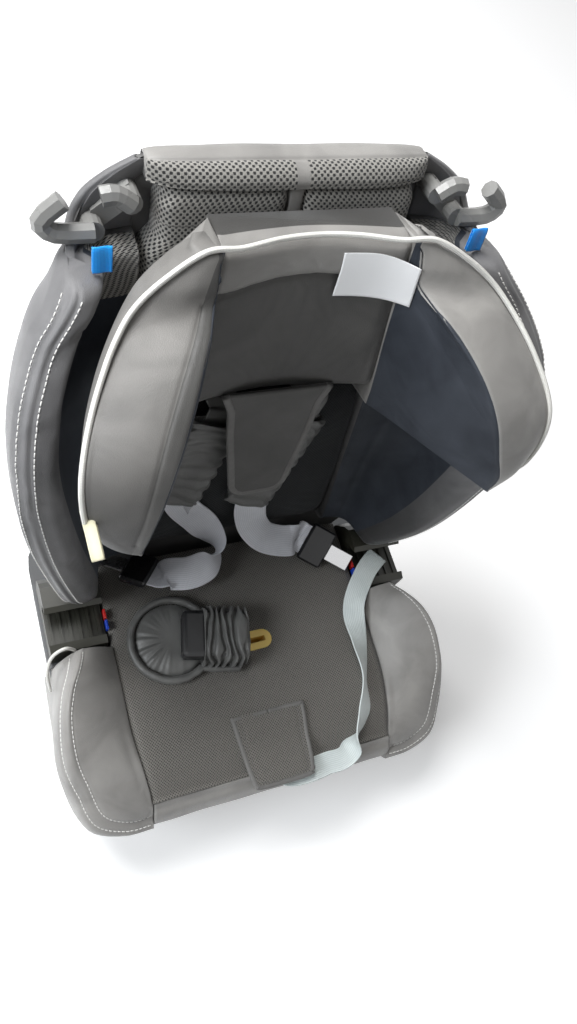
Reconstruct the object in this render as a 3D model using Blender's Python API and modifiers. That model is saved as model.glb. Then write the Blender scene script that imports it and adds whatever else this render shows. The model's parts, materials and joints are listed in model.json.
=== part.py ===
"""Child car seat: a booster base, a reclining backrest with wings, a sliding
headrest with its latch, and a five-point harness with its crotch buckle.

Metres, +Z up.  The origin is the middle of the base's underside, the front
of the seat faces -Y and +X is the seat's side that shows at the right when
it is seen from the front.  Pieces of the backrest and of the headrest are
drawn in the backrest's own frame, whose origin is on the recline axis."""
import math

import bmesh
import bpy
from mathutils import Matrix, Vector

# Clearances and cuts
CLEAR = 0.0003
SLIDE_CLEAR = 0.0006
OVERRUN = 0.004
MERGE = 0.00001

# Recline axis
RECLINE_ANGLE = math.radians(14.0)
HINGE_Y = 0.110
HINGE_Z = 0.100
HINGE_ROD_RADIUS = 0.005
HINGE_ROD_HALF = 0.142
KNUCKLE_RADIUS = 0.013
KNUCKLE_X = 0.104
KNUCKLE_WIDTH = 0.026
LUG_WIDTH = 0.012
LUG_GAP = 0.0008

# Base shell
BASE_HALF_WIDTH = 0.213
BASE_FRONT = 0.198
BASE_REAR = 0.168
BASE_CORNER = 0.055
FOOT_INSET = 0.011
DECK_HEIGHT = 0.128
DECK_EDGE = 0.004
REAR_STEP_Y = 0.073
REAR_STEP_Z = 0.076
BASE_WALL = 0.004
RIB_PITCH = 0.056
RIB_WALL = 0.003
RIB_COLUMNS = 3
RIB_ROWS = 6
RIB_FIRST_Y = -0.154

# Seat cover
SEAT_HALF_WIDTH = 0.221
SEAT_FRONT = 0.208
SEAT_TOP = DECK_HEIGHT + 0.077
SEAT_REAR = 0.068
SEAM_X = SEAT_HALF_WIDTH * 0.665
HEM_HEIGHT = DECK_HEIGHT - 0.033
SEAT_DISH = 0.006
BOLSTER_BULGE = 0.005

# Crotch strap slot
SLOT_Y = -0.052
SLOT_PLATE_LENGTH = 0.058
SLOT_PLATE_WIDTH = 0.022
SLOT_PLATE_THICKNESS = 0.004
SLOT_LENGTH = 0.042
SLOT_WIDTH = 0.006
ANCHOR_LENGTH = 0.048
ANCHOR_WIDTH = 0.014
ANCHOR_THICKNESS = 0.003

# Hip belt guides
GUIDE_INNER_X = SEAT_HALF_WIDTH * 0.679
GUIDE_WIDTH = 0.060
GUIDE_FRONT = 0.020
GUIDE_REAR = 0.066
GUIDE_TOP = DECK_HEIGHT + 0.062
GUIDE_CHANNEL = DECK_HEIGHT + 0.030
GUIDE_RIBS = 6
GUIDE_RIB = 0.003
MARK_LENGTH = 0.011
MARK_WIDTH = 0.003
MARK_HEIGHT = 0.009
MARK_Y = 0.004

# Harness adjuster and its flap
ADJUSTER_HALF_WIDTH = 0.025
ADJUSTER_REAR_Y = -0.150
ADJUSTER_FRONT_Y = -0.187
ADJUSTER_TOP = DECK_HEIGHT + 0.024
ADJUSTER_RECESS = 0.009
ADJUSTER_RIM = 0.004
LEVER_HALF_WIDTH = 0.014
LEVER_THICKNESS = 0.003
LEVER_TOP = ADJUSTER_TOP - 0.0005
LEVER_PIVOT = 0.0016
FLAP_THICKNESS = 0.005
FLAP_HALF_WIDTH = 0.042
FLAP_HINGE_Y = -0.130
PULL_WIDTH = 0.025
WEBBING = 0.0016

# Backrest shell and its covers
PANEL_REAR = 0.036
PANEL_WALL = 0.004
PANEL_BOTTOM = 0.018
PANEL_BOTTOM_HALF = 0.165
WING_BOTTOM = 0.075
WING_TOP = 0.476
WING_HALF_WIDTH = 0.230
WING_DEPTH = 0.186
WING_ROOT = 0.118
ROOT_MARGIN = 0.030
COVER_FRONT = 0.069
WING_PAD_TOP = 0.468
WING_PAD_THICKNESS = 0.022
WING_LIP = 0.008
WING_NOSE = 0.014
REAR_RIB_DEPTH = 0.030
REAR_RIB_WALL = 0.004
LOWER_PAD_BOTTOM = 0.074
STRAP_EXIT_BOTTOM = 0.296
STRAP_EXIT_TOP = 0.310
MESH_TOP = 0.510
MESH_SLOT_HALF = 0.040
MESH_BRIDGE = 0.497
MESH_SEAM_HALF = 0.0045
BAND_TOP = 0.541
BAND_HALF = 0.112
TAB_WIDTH = 0.014
TAB_THICKNESS = 0.003
TAB_HEIGHT = 0.020

# Shoulder belt guides
HORN_RADIUS = 0.0075
HORN_FRONT = 0.064
HORN_PLATE = 0.005
POST_RADIUS = 0.008

# Headrest
HEAD_TOP = 0.506
HEAD_HALF_WIDTH = 0.189
HEAD_DEPTH = 0.243
HEAD_PANEL = 0.075
HEAD_WALL = 0.0035
HEAD_ROOT = 0.068
HEAD_BOTTOM = 0.318
HEAD_SHELL_TOP = 0.497
HEAD_PAD_TOP = 0.500
CENTRE_PAD_BOTTOM = 0.340
CENTRE_PAD_FRONT = 0.103
CENTRE_PAD_HALF = 0.086
CENTRE_PAD_TOP_HALF = 0.075
CENTRE_PAD_BEND = 0.013
HEAD_LIP = 0.006
HEAD_STEPS = 11
PIPING_RADIUS = 0.0022
HEAD_FLAP_TOP = 0.346
HEAD_FLAP_BOTTOM = 0.209
HEAD_FLAP_HALF = 0.052
HEAD_FLAP_END_HALF = 0.030
HEAD_FLAP_THICKNESS = 0.005

# Headrest carriage, rack and latch
TRAVEL = 0.100
NOTCH_COUNT = 7
NOTCH_PITCH = TRAVEL / (NOTCH_COUNT - 1)
NECK_HALF = 0.030
NECK_BOTTOM = 0.342
NECK_TOP = 0.380
SLOT_HALF = 0.034
CARRIAGE_HALF = 0.054
CARRIAGE_BOTTOM = 0.332
CARRIAGE_TOP = 0.392
CARRIAGE_WALL = 0.005
LATCH_Z = 0.360
LATCH_Y = -0.020
LATCH_RADIUS = 0.0035
LATCH_HALF = 0.074
LATCH_STROKE = 0.008
HANDLE_STROKE = 0.010
LATCH_LUG_X = 0.047
LATCH_LUG_WIDTH = 0.010
BRIDGE_Y = -0.002
BRIDGE_WALL = 0.004
RACK_X = 0.066
RACK_WIDTH = 0.008
RACK_REAR_Y = -0.0165
RACK_NOTCH_DEPTH = 0.0078
RACK_NOTCH_WIDTH = 0.0082
SPRING_X = 0.0
SPRING_RADIUS = 0.0048
SPRING_WIRE = 0.0006
SPRING_TURNS = 5
TAIL_X = 0.020
TAIL_WIDTH = 0.008
HANDLE_FRONT_Y = -0.0284
HANDLE_WALL = 0.006
HANDLE_HALF = 0.042
HANDLE_BOTTOM = 0.396
HANDLE_TOP = 0.452
FINGER_HALF = 0.030
FINGER_HEIGHT = 0.022

# Harness
STRAP_WIDTH = 0.036
PAD_WIDTH = 0.056
PAD_THICKNESS = 0.015
PAD_GATHERS = 5
YOKE_Z = 0.200
YOKE_HALF = 0.034
YOKE_HEIGHT = 0.034
YOKE_WALL = 0.003
TONGUE_LENGTH = 0.030
TONGUE_WIDTH = 0.046
TONGUE_THICKNESS = 0.009
BLADE_LENGTH = 0.030
BLADE_WIDTH = 0.020
BLADE_THICKNESS = 0.0022

# Crotch pad and buckle
CROTCH_TURN = math.radians(167.0)
PAD_ROUND_X = 0.086
PAD_ROUND_RADIUS = 0.040
PAD_NECK_HALF = 0.027
CROTCH_PAD_THICKNESS = 0.011
CROTCH_PIPING = 0.0042
BUCKLE_REAR = 0.020
BUCKLE_LENGTH = 0.058
BUCKLE_WIDTH = 0.052
BUCKLE_THICKNESS = 0.021
BUCKLE_ROUND = 0.005
SLEEVE_WALL = 0.004
SLEEVE_GATHERS = 6
BUTTON_LENGTH = 0.018
BUTTON_WIDTH = 0.026
BUTTON_STROKE = 0.003
BUTTON_RECESS = 0.007

ELASTIC_RADIUS = 0.0018

# Outline of the backrest wing's padded edge: shares of height, half width and depth
WING_EDGE_SHARES = (
    (0.150, 0.790, 0.600), (0.334, 0.865, 0.860), (0.523, 0.952, 0.984), (0.664, 0.996, 1.000),
    (0.761, 1.000, 0.973), (0.830, 0.974, 0.884), (0.874, 0.935, 0.801), (0.914, 0.883, 0.710),
    (0.947, 0.822, 0.656), (0.977, 0.752, 0.602), (1.000, 0.683, 0.571))

# Outline of the backrest shell's edge in the same shares
SHELL_EDGE_SHARES = (
    (0.150, 0.765, 0.520), (0.334, 0.840, 0.785), (0.523, 0.927, 0.910), (0.664, 0.971, 0.925),
    (0.761, 0.975, 0.898), (0.830, 0.949, 0.810), (0.874, 0.911, 0.727), (0.914, 0.859, 0.636),
    (0.947, 0.800, 0.582), (0.977, 0.750, 0.450), (1.000, 0.730, 0.290), (1.045, 0.680, 0.240),
    (1.075, 0.600, 0.225), (1.100, 0.500, 0.220))

# Piping line of the headrest: shares of its height, half width and depth
PIPING_SHARES = (
    (0.625, 0.935, 0.880), (0.684, 0.985, 0.930), (0.781, 1.000, 0.897), (0.858, 0.915, 0.759),
    (0.925, 0.767, 0.609), (0.968, 0.603, 0.551), (0.990, 0.470, 0.525))
PIPING_TOP_SHARES = ((0.996, 0.330, 0.500), (0.999, 0.160, 0.465), (1.000, 0.000, 0.453))

# Inner seam of the headrest wing in the same shares
HEAD_SEAM_SHARES = (
    (0.625, 0.804, 0.965), (0.684, 0.788, 1.000), (0.725, 0.751, 0.988), (0.792, 0.693, 0.947),
    (0.844, 0.630, 0.885), (0.883, 0.561, 0.798), (0.909, 0.487, 0.683), (0.923, 0.430, 0.565),
    (0.958, 0.416, 0.543), (0.990, 0.408, 0.520))

# Stations along the seat bolster: seam (x, y, z), crest (x, y, z) and hem (x, y), as
# shares of the seat's half width, front and top
BOLSTER_SHARES = (
    ((0.665, -0.125, 0.800), (0.820, -0.125, 0.900), (0.984, -0.125)),
    ((0.665, -0.216, 0.800), (0.855, -0.226, 0.981), (0.990, -0.226)),
    ((0.665, -0.327, 0.800), (0.910, -0.337, 0.996), (0.995, -0.360)),
    ((0.665, -0.471, 0.795), (0.946, -0.471, 0.961), (1.000, -0.505)),
    ((0.658, -0.635, 0.780), (0.955, -0.635, 0.878), (1.000, -0.673)),
    ((0.643, -0.774, 0.751), (0.923, -0.769, 0.771), (0.968, -0.837)),
    ((0.633, -0.850, 0.715), (0.872, -0.908, 0.650), (0.903, -0.950)),
    ((0.629, -0.895, 0.685), (0.748, -0.972, 0.590), (0.775, -0.990)),
    ((0.627, -0.918, 0.668), (0.627, -0.975, 0.575), (0.627, -0.998)))


# Scene and materials
def empty_scene():
    for thing in list(bpy.data.objects):
        bpy.data.objects.remove(thing, do_unlink=True)


def new_collection(name):
    collection = bpy.data.collections.new(name)
    bpy.context.scene.collection.children.link(collection)
    return collection


def finish(name, colour, roughness, metallic=0.0):
    material = bpy.data.materials.new(name)
    material.use_nodes = True
    shader = material.node_tree.nodes["Principled BSDF"]
    shader.inputs["Base Color"].default_value = (*colour, 1.0)
    shader.inputs["Roughness"].default_value = roughness
    shader.inputs["Metallic"].default_value = metallic
    return material


empty_scene()
PARTS = new_collection("child_car_seat")
CUTTERS = new_collection("cutters")

LEATHER = finish("black_leatherette", (0.026, 0.026, 0.028), 0.48)
MESH = finish("spacer_mesh", (0.040, 0.038, 0.034), 0.85)
NAVY = finish("dark_smooth_fabric", (0.014, 0.015, 0.020), 0.60)
SHELL = finish("dark_grey_plastic", (0.065, 0.067, 0.070), 0.55)
OLIVE = finish("olive_black_plastic", (0.045, 0.045, 0.035), 0.50)
BLACK = finish("black_plastic", (0.012, 0.012, 0.013), 0.30)
WEB = finish("silver_webbing", (0.520, 0.530, 0.560), 0.45)
PULL = finish("grey_green_webbing", (0.420, 0.470, 0.460), 0.50)
STEEL = finish("bright_steel", (0.620, 0.620, 0.630), 0.28, 1.0)
PIPE = finish("off_white_piping", (0.720, 0.710, 0.680), 0.45)
YELLOW = finish("yellow_plastic", (0.750, 0.530, 0.120), 0.40)
BLUE = finish("bright_blue_fabric", (0.010, 0.190, 0.680), 0.40)
RED = finish("red_plastic", (0.560, 0.020, 0.015), 0.40)


# Frames
def frame(name, location, rotation=(0.0, 0.0, 0.0), parent=None):
    empty = bpy.data.objects.new(name, None)
    empty.location = location
    empty.rotation_euler = rotation
    empty.parent = parent
    PARTS.objects.link(empty)
    return empty


def to_backrest(x, y, z):
    """A point of the seat's frame in the backrest's frame."""
    ahead = y - HINGE_Y
    above = z - HINGE_Z
    c, s = math.cos(RECLINE_ANGLE), math.sin(RECLINE_ANGLE)
    return Vector((x, ahead * c - above * s, ahead * s + above * c))


def from_backrest(x, y, z):
    """A point of the backrest's frame in the seat's frame."""
    c, s = math.cos(RECLINE_ANGLE), math.sin(RECLINE_ANGLE)
    return Vector((x, HINGE_Y + y * c + z * s, HINGE_Z - y * s + z * c))


# Curves through a few shares
def hermite(rows, key):
    """Smooth value of rows (key, a, b, ...) at a key, held at both ends."""
    if key <= rows[0][0]:
        return rows[0][1:]
    if key >= rows[-1][0]:
        return rows[-1][1:]
    index = max(i for i in range(len(rows) - 1) if rows[i][0] <= key)
    span = rows[index + 1][0] - rows[index][0]
    t = (key - rows[index][0]) / span
    values = []
    for column in range(1, len(rows[0])):
        start, end = rows[index][column], rows[index + 1][column]
        slopes = []
        for knot in (index, index + 1):
            low, high = max(knot - 1, 0), min(knot + 1, len(rows) - 1)
            rise = rows[high][column] - rows[low][column]
            slopes.append(rise / (rows[high][0] - rows[low][0]))
        values.append(start * (2 * t ** 3 - 3 * t ** 2 + 1) + slopes[0] * span * (t ** 3 - 2 * t ** 2 + t)
                      + end * (3 * t ** 2 - 2 * t ** 3) + slopes[1] * span * (t ** 3 - t ** 2))
    return tuple(values)


def smooth_line(points, steps):
    """Catmull-Rom curve through hand-picked points."""
    points = [Vector(point) for point in points]
    line = []
    for index in range(len(points) - 1):
        before = points[max(index - 1, 0)]
        start, end = points[index], points[index + 1]
        after = points[min(index + 2, len(points) - 1)]
        for step in range(steps):
            t = step / steps
            line.append(0.5 * (2 * start + (end - before) * t
                               + (2 * before - 5 * start + 4 * end - after) * t ** 2
                               + (3 * start - before - 3 * end + after) * t ** 3))
    line.append(points[-1])
    return line


def bezier(start, control, end, steps):
    """Quadratic arc in a plane, as 2D points."""
    line = []
    for step in range(steps + 1):
        t = step / steps
        line.append(Vector(start) * (1 - t) ** 2 + Vector(control) * 2 * t * (1 - t) + Vector(end) * t ** 2)
    return line


def offset_line(line, distances):
    """A 2D line moved to its right-hand side by one distance a point."""
    moved = []
    for index, point in enumerate(line):
        ahead = line[min(index + 1, len(line) - 1)] - line[max(index - 1, 0)]
        ahead.normalize()
        moved.append(point + Vector((ahead.y, -ahead.x)) * distances[index])
    return moved


# Solids
def add_object(name, mesh, material, parent, collection=None):
    thing = bpy.data.objects.new(name, mesh)
    if material is not None:
        mesh.materials.append(material)
    thing.parent = parent
    (collection or PARTS).objects.link(thing)
    return thing


def add_solid(name, bm, material, parent, collection=None, sharp=35.0):
    bmesh.ops.remove_doubles(bm, verts=bm.verts, dist=MERGE)
    bmesh.ops.recalc_face_normals(bm, faces=bm.faces)
    mesh = bpy.data.meshes.new(name)
    bm.to_mesh(mesh)
    bm.free()
    mesh.shade_smooth()
    mesh.set_sharp_from_angle(angle=math.radians(sharp))
    return add_object(name, mesh, material, parent, collection)


def loft_mesh(rings, looped=False):
    bm = bmesh.new()
    rows = [[bm.verts.new(point) for point in ring] for ring in rings]
    count = len(rows[0])
    pairs = list(zip(rows[:-1], rows[1:]))
    if looped:
        pairs.append((rows[-1], rows[0]))
    for low, high in pairs:
        for index in range(count):
            after = (index + 1) % count
            bm.faces.new((low[index], low[after], high[after], high[index]))
    sides = list(bm.faces)
    if not looped:
        bm.faces.new(rows[0])
        bm.faces.new(rows[-1])
    bm.normal_update()
    bmesh.ops.triangulate(bm, faces=sides, quad_method="FIXED")
    bmesh.ops.triangulate(bm, faces=[face for face in bm.faces if len(face.verts) > 3])
    return bm


def loft(name, rings, material, parent=None):
    return add_solid(name, loft_mesh(rings), material, parent)


def box_mesh(low, high, bm=None):
    bm = bm or bmesh.new()
    low, high = Vector(low), Vector(high)
    size = high - low
    place = Matrix.Translation((low + high) / 2) @ Matrix.Diagonal((*size, 1.0))
    bmesh.ops.create_cube(bm, size=1.0, matrix=place)
    return bm


def bevelled_box(name, low, high, material, parent, bevel, segments=2):
    thing = add_solid(name, box_mesh(low, high), material, parent)
    add_bevel(thing, bevel, segments)
    return thing


def add_bevel(thing, width, segments=2):
    bevel = thing.modifiers.new("rounded_edges", "BEVEL")
    bevel.width = width
    bevel.segments = segments
    bevel.limit_method = "ANGLE"


def cylinder_mesh(radius, start, end, sides=20, bm=None):
    bm = bm or bmesh.new()
    start, end = Vector(start), Vector(end)
    axis = end - start
    turn = axis.to_track_quat("Z", "Y").to_matrix().to_4x4()
    bmesh.ops.create_cone(bm, cap_ends=True, segments=sides, radius1=radius, radius2=radius,
                          depth=axis.length, matrix=Matrix.Translation((start + end) / 2) @ turn)
    return bm


def outline_solid(name, corners, low, high, plane, material, parent, collection=None):
    """A flat outline, pushed between two places along the axis that its plane lacks."""
    rings = []
    for place in (low, high):
        if plane == "XZ":
            rings.append([Vector((a, place, b)) for a, b in corners])
        elif plane == "YZ":
            rings.append([Vector((place, a, b)) for a, b in corners])
        else:
            rings.append([Vector((a, b, place)) for a, b in corners])
    return add_solid(name, loft_mesh(rings), material, parent, collection)


def arc(centre, radius, start, end, steps):
    points = []
    for step in range(steps + 1):
        angle = math.radians(start + (end - start) * step / steps)
        points.append((centre[0] + radius * math.cos(angle), centre[1] + radius * math.sin(angle)))
    return points


def tube(name, points, radius, material, parent, resolution=2):
    curve = bpy.data.curves.new(name, "CURVE")
    curve.dimensions = "3D"
    curve.bevel_depth = radius
    curve.bevel_resolution = resolution
    curve.use_fill_caps = True
    spline = curve.splines.new("POLY")
    spline.points.add(len(points) - 1)
    for point, place in zip(spline.points, points):
        point.co = (*place, 1.0)
    curve.materials.append(material)
    guide = bpy.data.objects.new(name + "_line", curve)
    PARTS.objects.link(guide)
    bpy.context.view_layer.update()
    mesh = bpy.data.meshes.new_from_object(guide.evaluated_get(bpy.context.evaluated_depsgraph_get()))
    bpy.data.objects.remove(guide, do_unlink=True)
    bm = bmesh.new()
    bm.from_mesh(mesh)
    bpy.data.meshes.remove(mesh)
    return add_solid(name, bm, material, parent)


def webbing(name, stations, width, thickness, material, parent, steps=4):
    """Flat webbing through stations (centre, direction across it)."""
    centres = smooth_line([station[0] for station in stations], steps)
    across = smooth_line([station[1] for station in stations], steps)
    rings = []
    for index, centre in enumerate(centres):
        along = centres[min(index + 1, len(centres) - 1)] - centres[max(index - 1, 0)]
        side = across[index] - along * (across[index].dot(along) / along.length_squared)
        side = side.normalized() * width / 2
        up = along.cross(side).normalized() * thickness / 2
        rings.append([centre - side - up, centre + side - up, centre + side + up, centre - side + up])
    return loft(name, rings, material, parent)


def apply_cut(thing, cutter, operation="DIFFERENCE"):
    cutter.hide_render = True
    cutter.display_type = "WIRE"
    boolean = thing.modifiers.new(cutter.name, "BOOLEAN")
    boolean.operation = operation
    boolean.solver = "EXACT"
    boolean.use_self = True
    boolean.object = cutter


def cutter(name, bm, parent):
    return add_solid(name, bm, None, parent, CUTTERS)


def rounded_plan(half_width, front, rear, corner, z, steps=5):
    """Rounded rectangle seen from above, at height z."""
    points = []
    places = ((half_width, rear, 0), (-half_width, rear, 90), (-half_width, front, 180), (half_width, front, 270))
    for x, y, turn in places:
        centre = (x - math.copysign(corner, x), y - math.copysign(corner, y))
        points += arc(centre, corner, turn, turn + 90, steps)
    return [Vector((x, y, z)) for x, y in points]


# Base shell
def base_half_width(z):
    return BASE_HALF_WIDTH - FOOT_INSET * (1 - z / DECK_HEIGHT) ** 2


def base_rings(grow):
    """Sections of the base from its foot to its deck, grown for a cutter."""
    rings = []
    for z, inset in ((0.0, DECK_EDGE / 2), (DECK_EDGE / 2, 0.0), (DECK_HEIGHT / 3, 0.0), (2 * DECK_HEIGHT / 3, 0.0),
                     (DECK_HEIGHT - DECK_EDGE, 0.0), (DECK_HEIGHT - DECK_EDGE / 4, DECK_EDGE / 4),
                     (DECK_HEIGHT, DECK_EDGE)):
        narrower = BASE_HALF_WIDTH - base_half_width(z) + inset - grow
        level = z + grow if z > DECK_HEIGHT / 2 else z - grow
        rings.append(rounded_plan(BASE_HALF_WIDTH - narrower, -(BASE_FRONT - narrower),
                                  BASE_REAR - narrower, BASE_CORNER - inset + grow, level))
    return rings


def make_base_shell():
    shell = loft("base_shell", base_rings(0.0), SHELL)
    cutter("base_room", loft_mesh(base_rings(CLEAR)), None)

    step = box_mesh((-BASE_HALF_WIDTH - OVERRUN, REAR_STEP_Y, REAR_STEP_Z),
                    (BASE_HALF_WIDTH + OVERRUN, BASE_REAR + OVERRUN, DECK_HEIGHT + OVERRUN))
    apply_cut(shell, cutter("rear_step", step, None))

    lugs = bmesh.new()
    bores = bmesh.new()
    for side in (-1, 1):
        for end in (-1, 1):
            middle = side * KNUCKLE_X + end * (KNUCKLE_WIDTH / 2 + LUG_GAP + LUG_WIDTH / 2)
            low, high = middle - LUG_WIDTH / 2, middle + LUG_WIDTH / 2
            outline = arc((HINGE_Y, HINGE_Z), KNUCKLE_RADIUS, 25, 155, 8)
            outline += [(HINGE_Y - 2.1 * KNUCKLE_RADIUS, REAR_STEP_Z - OVERRUN),
                        (HINGE_Y + 2.1 * KNUCKLE_RADIUS, REAR_STEP_Z - OVERRUN)]
            piece = loft_mesh([[Vector((x, y, z)) for y, z in outline] for x in (low, high)])
            join_mesh(lugs, piece)
            join_mesh(bores, cylinder_mesh(HINGE_ROD_RADIUS + CLEAR, (low - OVERRUN / 2, HINGE_Y, HINGE_Z),
                                           (high + OVERRUN / 2, HINGE_Y, HINGE_Z)))
    apply_cut(shell, cutter("hinge_lugs", lugs, None), "UNION")
    apply_cut(shell, cutter("hinge_bores", bores, None))

    pockets = bmesh.new()
    half = (RIB_PITCH - RIB_WALL) / 2
    for column in range(-RIB_COLUMNS, RIB_COLUMNS + 1):
        for row in range(RIB_ROWS):
            x, y = column * RIB_PITCH, RIB_FIRST_Y + row * RIB_PITCH
            corner_pocket = abs(column) == RIB_COLUMNS and row in (0, RIB_ROWS - 1)
            mount_boss = abs(x) < half and abs(y) < half
            if corner_pocket or mount_boss:
                continue
            top = DECK_HEIGHT if y + half < REAR_STEP_Y else REAR_STEP_Z
            box_mesh((x - half, y - half, -OVERRUN), (x + half, y + half, top - BASE_WALL), pockets)
    apply_cut(shell, cutter("rib_pockets", pockets, None))

    slot = box_mesh((-SLOT_LENGTH / 2, SLOT_Y - SLOT_WIDTH / 2, DECK_HEIGHT - BASE_WALL - OVERRUN),
                    (SLOT_LENGTH / 2, SLOT_Y + SLOT_WIDTH / 2, DECK_HEIGHT + OVERRUN))
    apply_cut(shell, cutter("deck_strap_slot", slot, None))
    return shell


def join_mesh(bm, piece):
    mesh = bpy.data.meshes.new("joined")
    piece.to_mesh(mesh)
    piece.free()
    bm.from_mesh(mesh)
    bpy.data.meshes.remove(mesh)


def make_hinge_rod():
    bm = cylinder_mesh(HINGE_ROD_RADIUS, (-HINGE_ROD_HALF, HINGE_Y, HINGE_Z), (HINGE_ROD_HALF, HINGE_Y, HINGE_Z))
    add_solid("hinge_rod", bm, STEEL, None)


# Seat cover
def seam_at(y):
    """Half width and height of the seam beside the centre panel."""
    rows = []
    for seam, crest, hem in reversed(BOLSTER_SHARES[:-1]):
        rows.append((seam[1] * SEAT_FRONT, seam[0] * SEAT_HALF_WIDTH, seam[2] * SEAT_TOP))
    return hermite(rows, y)


def seat_height(x, y):
    """Top of the centre panel."""
    half, seam_z = seam_at(y)
    rise = -SEAT_DISH + SEAT_DISH * 1.6 * max(0.0, (SLOT_Y - y) / (SLOT_Y + SEAT_FRONT)) ** 1.5
    return seam_z + rise * (1 - (x / half) ** 2)


def make_centre_pad():
    floor = DECK_HEIGHT + CLEAR
    front = -BOLSTER_SHARES[-1][0][1] * SEAT_FRONT
    rings = []
    count = 12
    for step in range(count + 1):
        y = SEAT_REAR - (SEAT_REAR + front) * step / count
        half = seam_at(y)[0] - CLEAR
        ring = [Vector((-half, y, floor))]
        for across in range(9):
            x = half * (across / 4 - 1)
            ring.append(Vector((x, y, seat_height(x, y))))
        ring.append(Vector((half, y, floor)))
        rings.append(ring)
    pad = loft("seat_centre_pad", rings, MESH)

    window = box_mesh((-ADJUSTER_HALF_WIDTH - CLEAR, ADJUSTER_FRONT_Y - CLEAR, DECK_HEIGHT - OVERRUN),
                      (ADJUSTER_HALF_WIDTH + CLEAR, ADJUSTER_REAR_Y + CLEAR, SEAT_TOP))
    apply_cut(pad, cutter("adjuster_window", window, None))
    recess = slot_plate_mesh(CLEAR, DECK_HEIGHT - OVERRUN, SEAT_TOP)
    apply_cut(pad, cutter("slot_plate_recess", recess, None))


def slot_plate_mesh(grow, low, high):
    outline = []
    half = (SLOT_PLATE_LENGTH - SLOT_PLATE_WIDTH) / 2
    radius = SLOT_PLATE_WIDTH / 2 + grow
    outline += arc((half, SLOT_Y), radius, -90, 90, 8)
    outline += arc((-half, SLOT_Y), radius, 90, 270, 8)
    return loft_mesh([[Vector((x, y, z)) for x, y in outline] for z in (low, high)])


def make_slot_plate():
    """Yellow collar that lines the crotch strap's slot from the deck to the cover."""
    top = seat_height(0.0, SLOT_Y) + SLOT_PLATE_THICKNESS / 2
    plate = add_solid("crotch_slot_plate", slot_plate_mesh(0.0, DECK_HEIGHT + CLEAR, top), YELLOW, None)
    slot = box_mesh((-SLOT_LENGTH / 2, SLOT_Y - SLOT_WIDTH / 2, DECK_HEIGHT - OVERRUN),
                    (SLOT_LENGTH / 2, SLOT_Y + SLOT_WIDTH / 2, SEAT_TOP))
    apply_cut(plate, cutter("plate_strap_slot", slot, None))
    add_bevel(plate, SLOT_PLATE_THICKNESS / 3, 1)
    top_z = DECK_HEIGHT - BASE_WALL - CLEAR
    bevelled_box("crotch_anchor_bar", (-ANCHOR_LENGTH / 2, SLOT_Y - ANCHOR_WIDTH / 2, top_z - ANCHOR_THICKNESS),
                 (ANCHOR_LENGTH / 2, SLOT_Y + ANCHOR_WIDTH / 2, top_z), STEEL, None, ANCHOR_THICKNESS / 4, 1)


def shell_corner(x, y):
    """Nearest point just inside the base shell's outline, for a hem at (x, y)."""
    centre = Vector((BASE_HALF_WIDTH - BASE_CORNER, -(BASE_FRONT - BASE_CORNER)))
    if y > centre.y:
        return Vector((BASE_HALF_WIDTH - DECK_EDGE, y))
    if x < centre.x:
        return Vector((x, -BASE_FRONT + DECK_EDGE))
    out = (Vector((x, y)) - centre).normalized()
    return centre + out * (BASE_CORNER - DECK_EDGE)


def make_bolster(side, name):
    floor = DECK_HEIGHT - DECK_EDGE
    rings = []
    size = Vector((SEAT_HALF_WIDTH, SEAT_FRONT, SEAT_TOP))
    rows = []
    for index, (seam, crest, hem) in enumerate(BOLSTER_SHARES):
        rows.append((float(index), *[a * b for a, b in zip(seam, size)], *[a * b for a, b in zip(crest, size)],
                     *[a * b for a, b in zip(hem, size)]))
    count = 2 * (len(rows) - 1)
    for step in range(count + 1):
        values = hermite(rows, step * (len(rows) - 1) / count)
        seam, crest, hem = Vector(values[:3]), Vector(values[3:6]), Vector((*values[6:8], HEM_HEIGHT))
        seam.x += CLEAR
        if step == count:
            crest.x = hem.x = seam.x
        edge = shell_corner(hem.x, hem.y)
        if step == count:
            edge.x = seam.x
        ring = [Vector((seam.x, seam.y, floor)), seam]
        for share in (0.3, 0.6, 0.85):
            bulge = BOLSTER_BULGE * math.sin(math.pi * share)
            ring.append(seam.lerp(crest, share) + Vector((0, 0, bulge)))
        ring.append(crest)
        out = Vector((hem.x - edge.x, hem.y - edge.y, 0)).normalized()
        for share in (0.15, 0.4, 0.7):
            drop = crest.lerp(hem, share)
            swell = out * (BOLSTER_BULGE * 1.6 * math.sin(math.pi * share ** 0.7))
            ring.append(drop + swell)
        ring += [hem, Vector((edge.x, edge.y, HEM_HEIGHT)), Vector((edge.x, edge.y, floor))]
        rings.append([Vector((side * point.x, point.y, point.z)) for point in ring])
    bolster = loft(name, rings, LEATHER)
    apply_cut(bolster, bpy.data.objects["base_room"])


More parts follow.
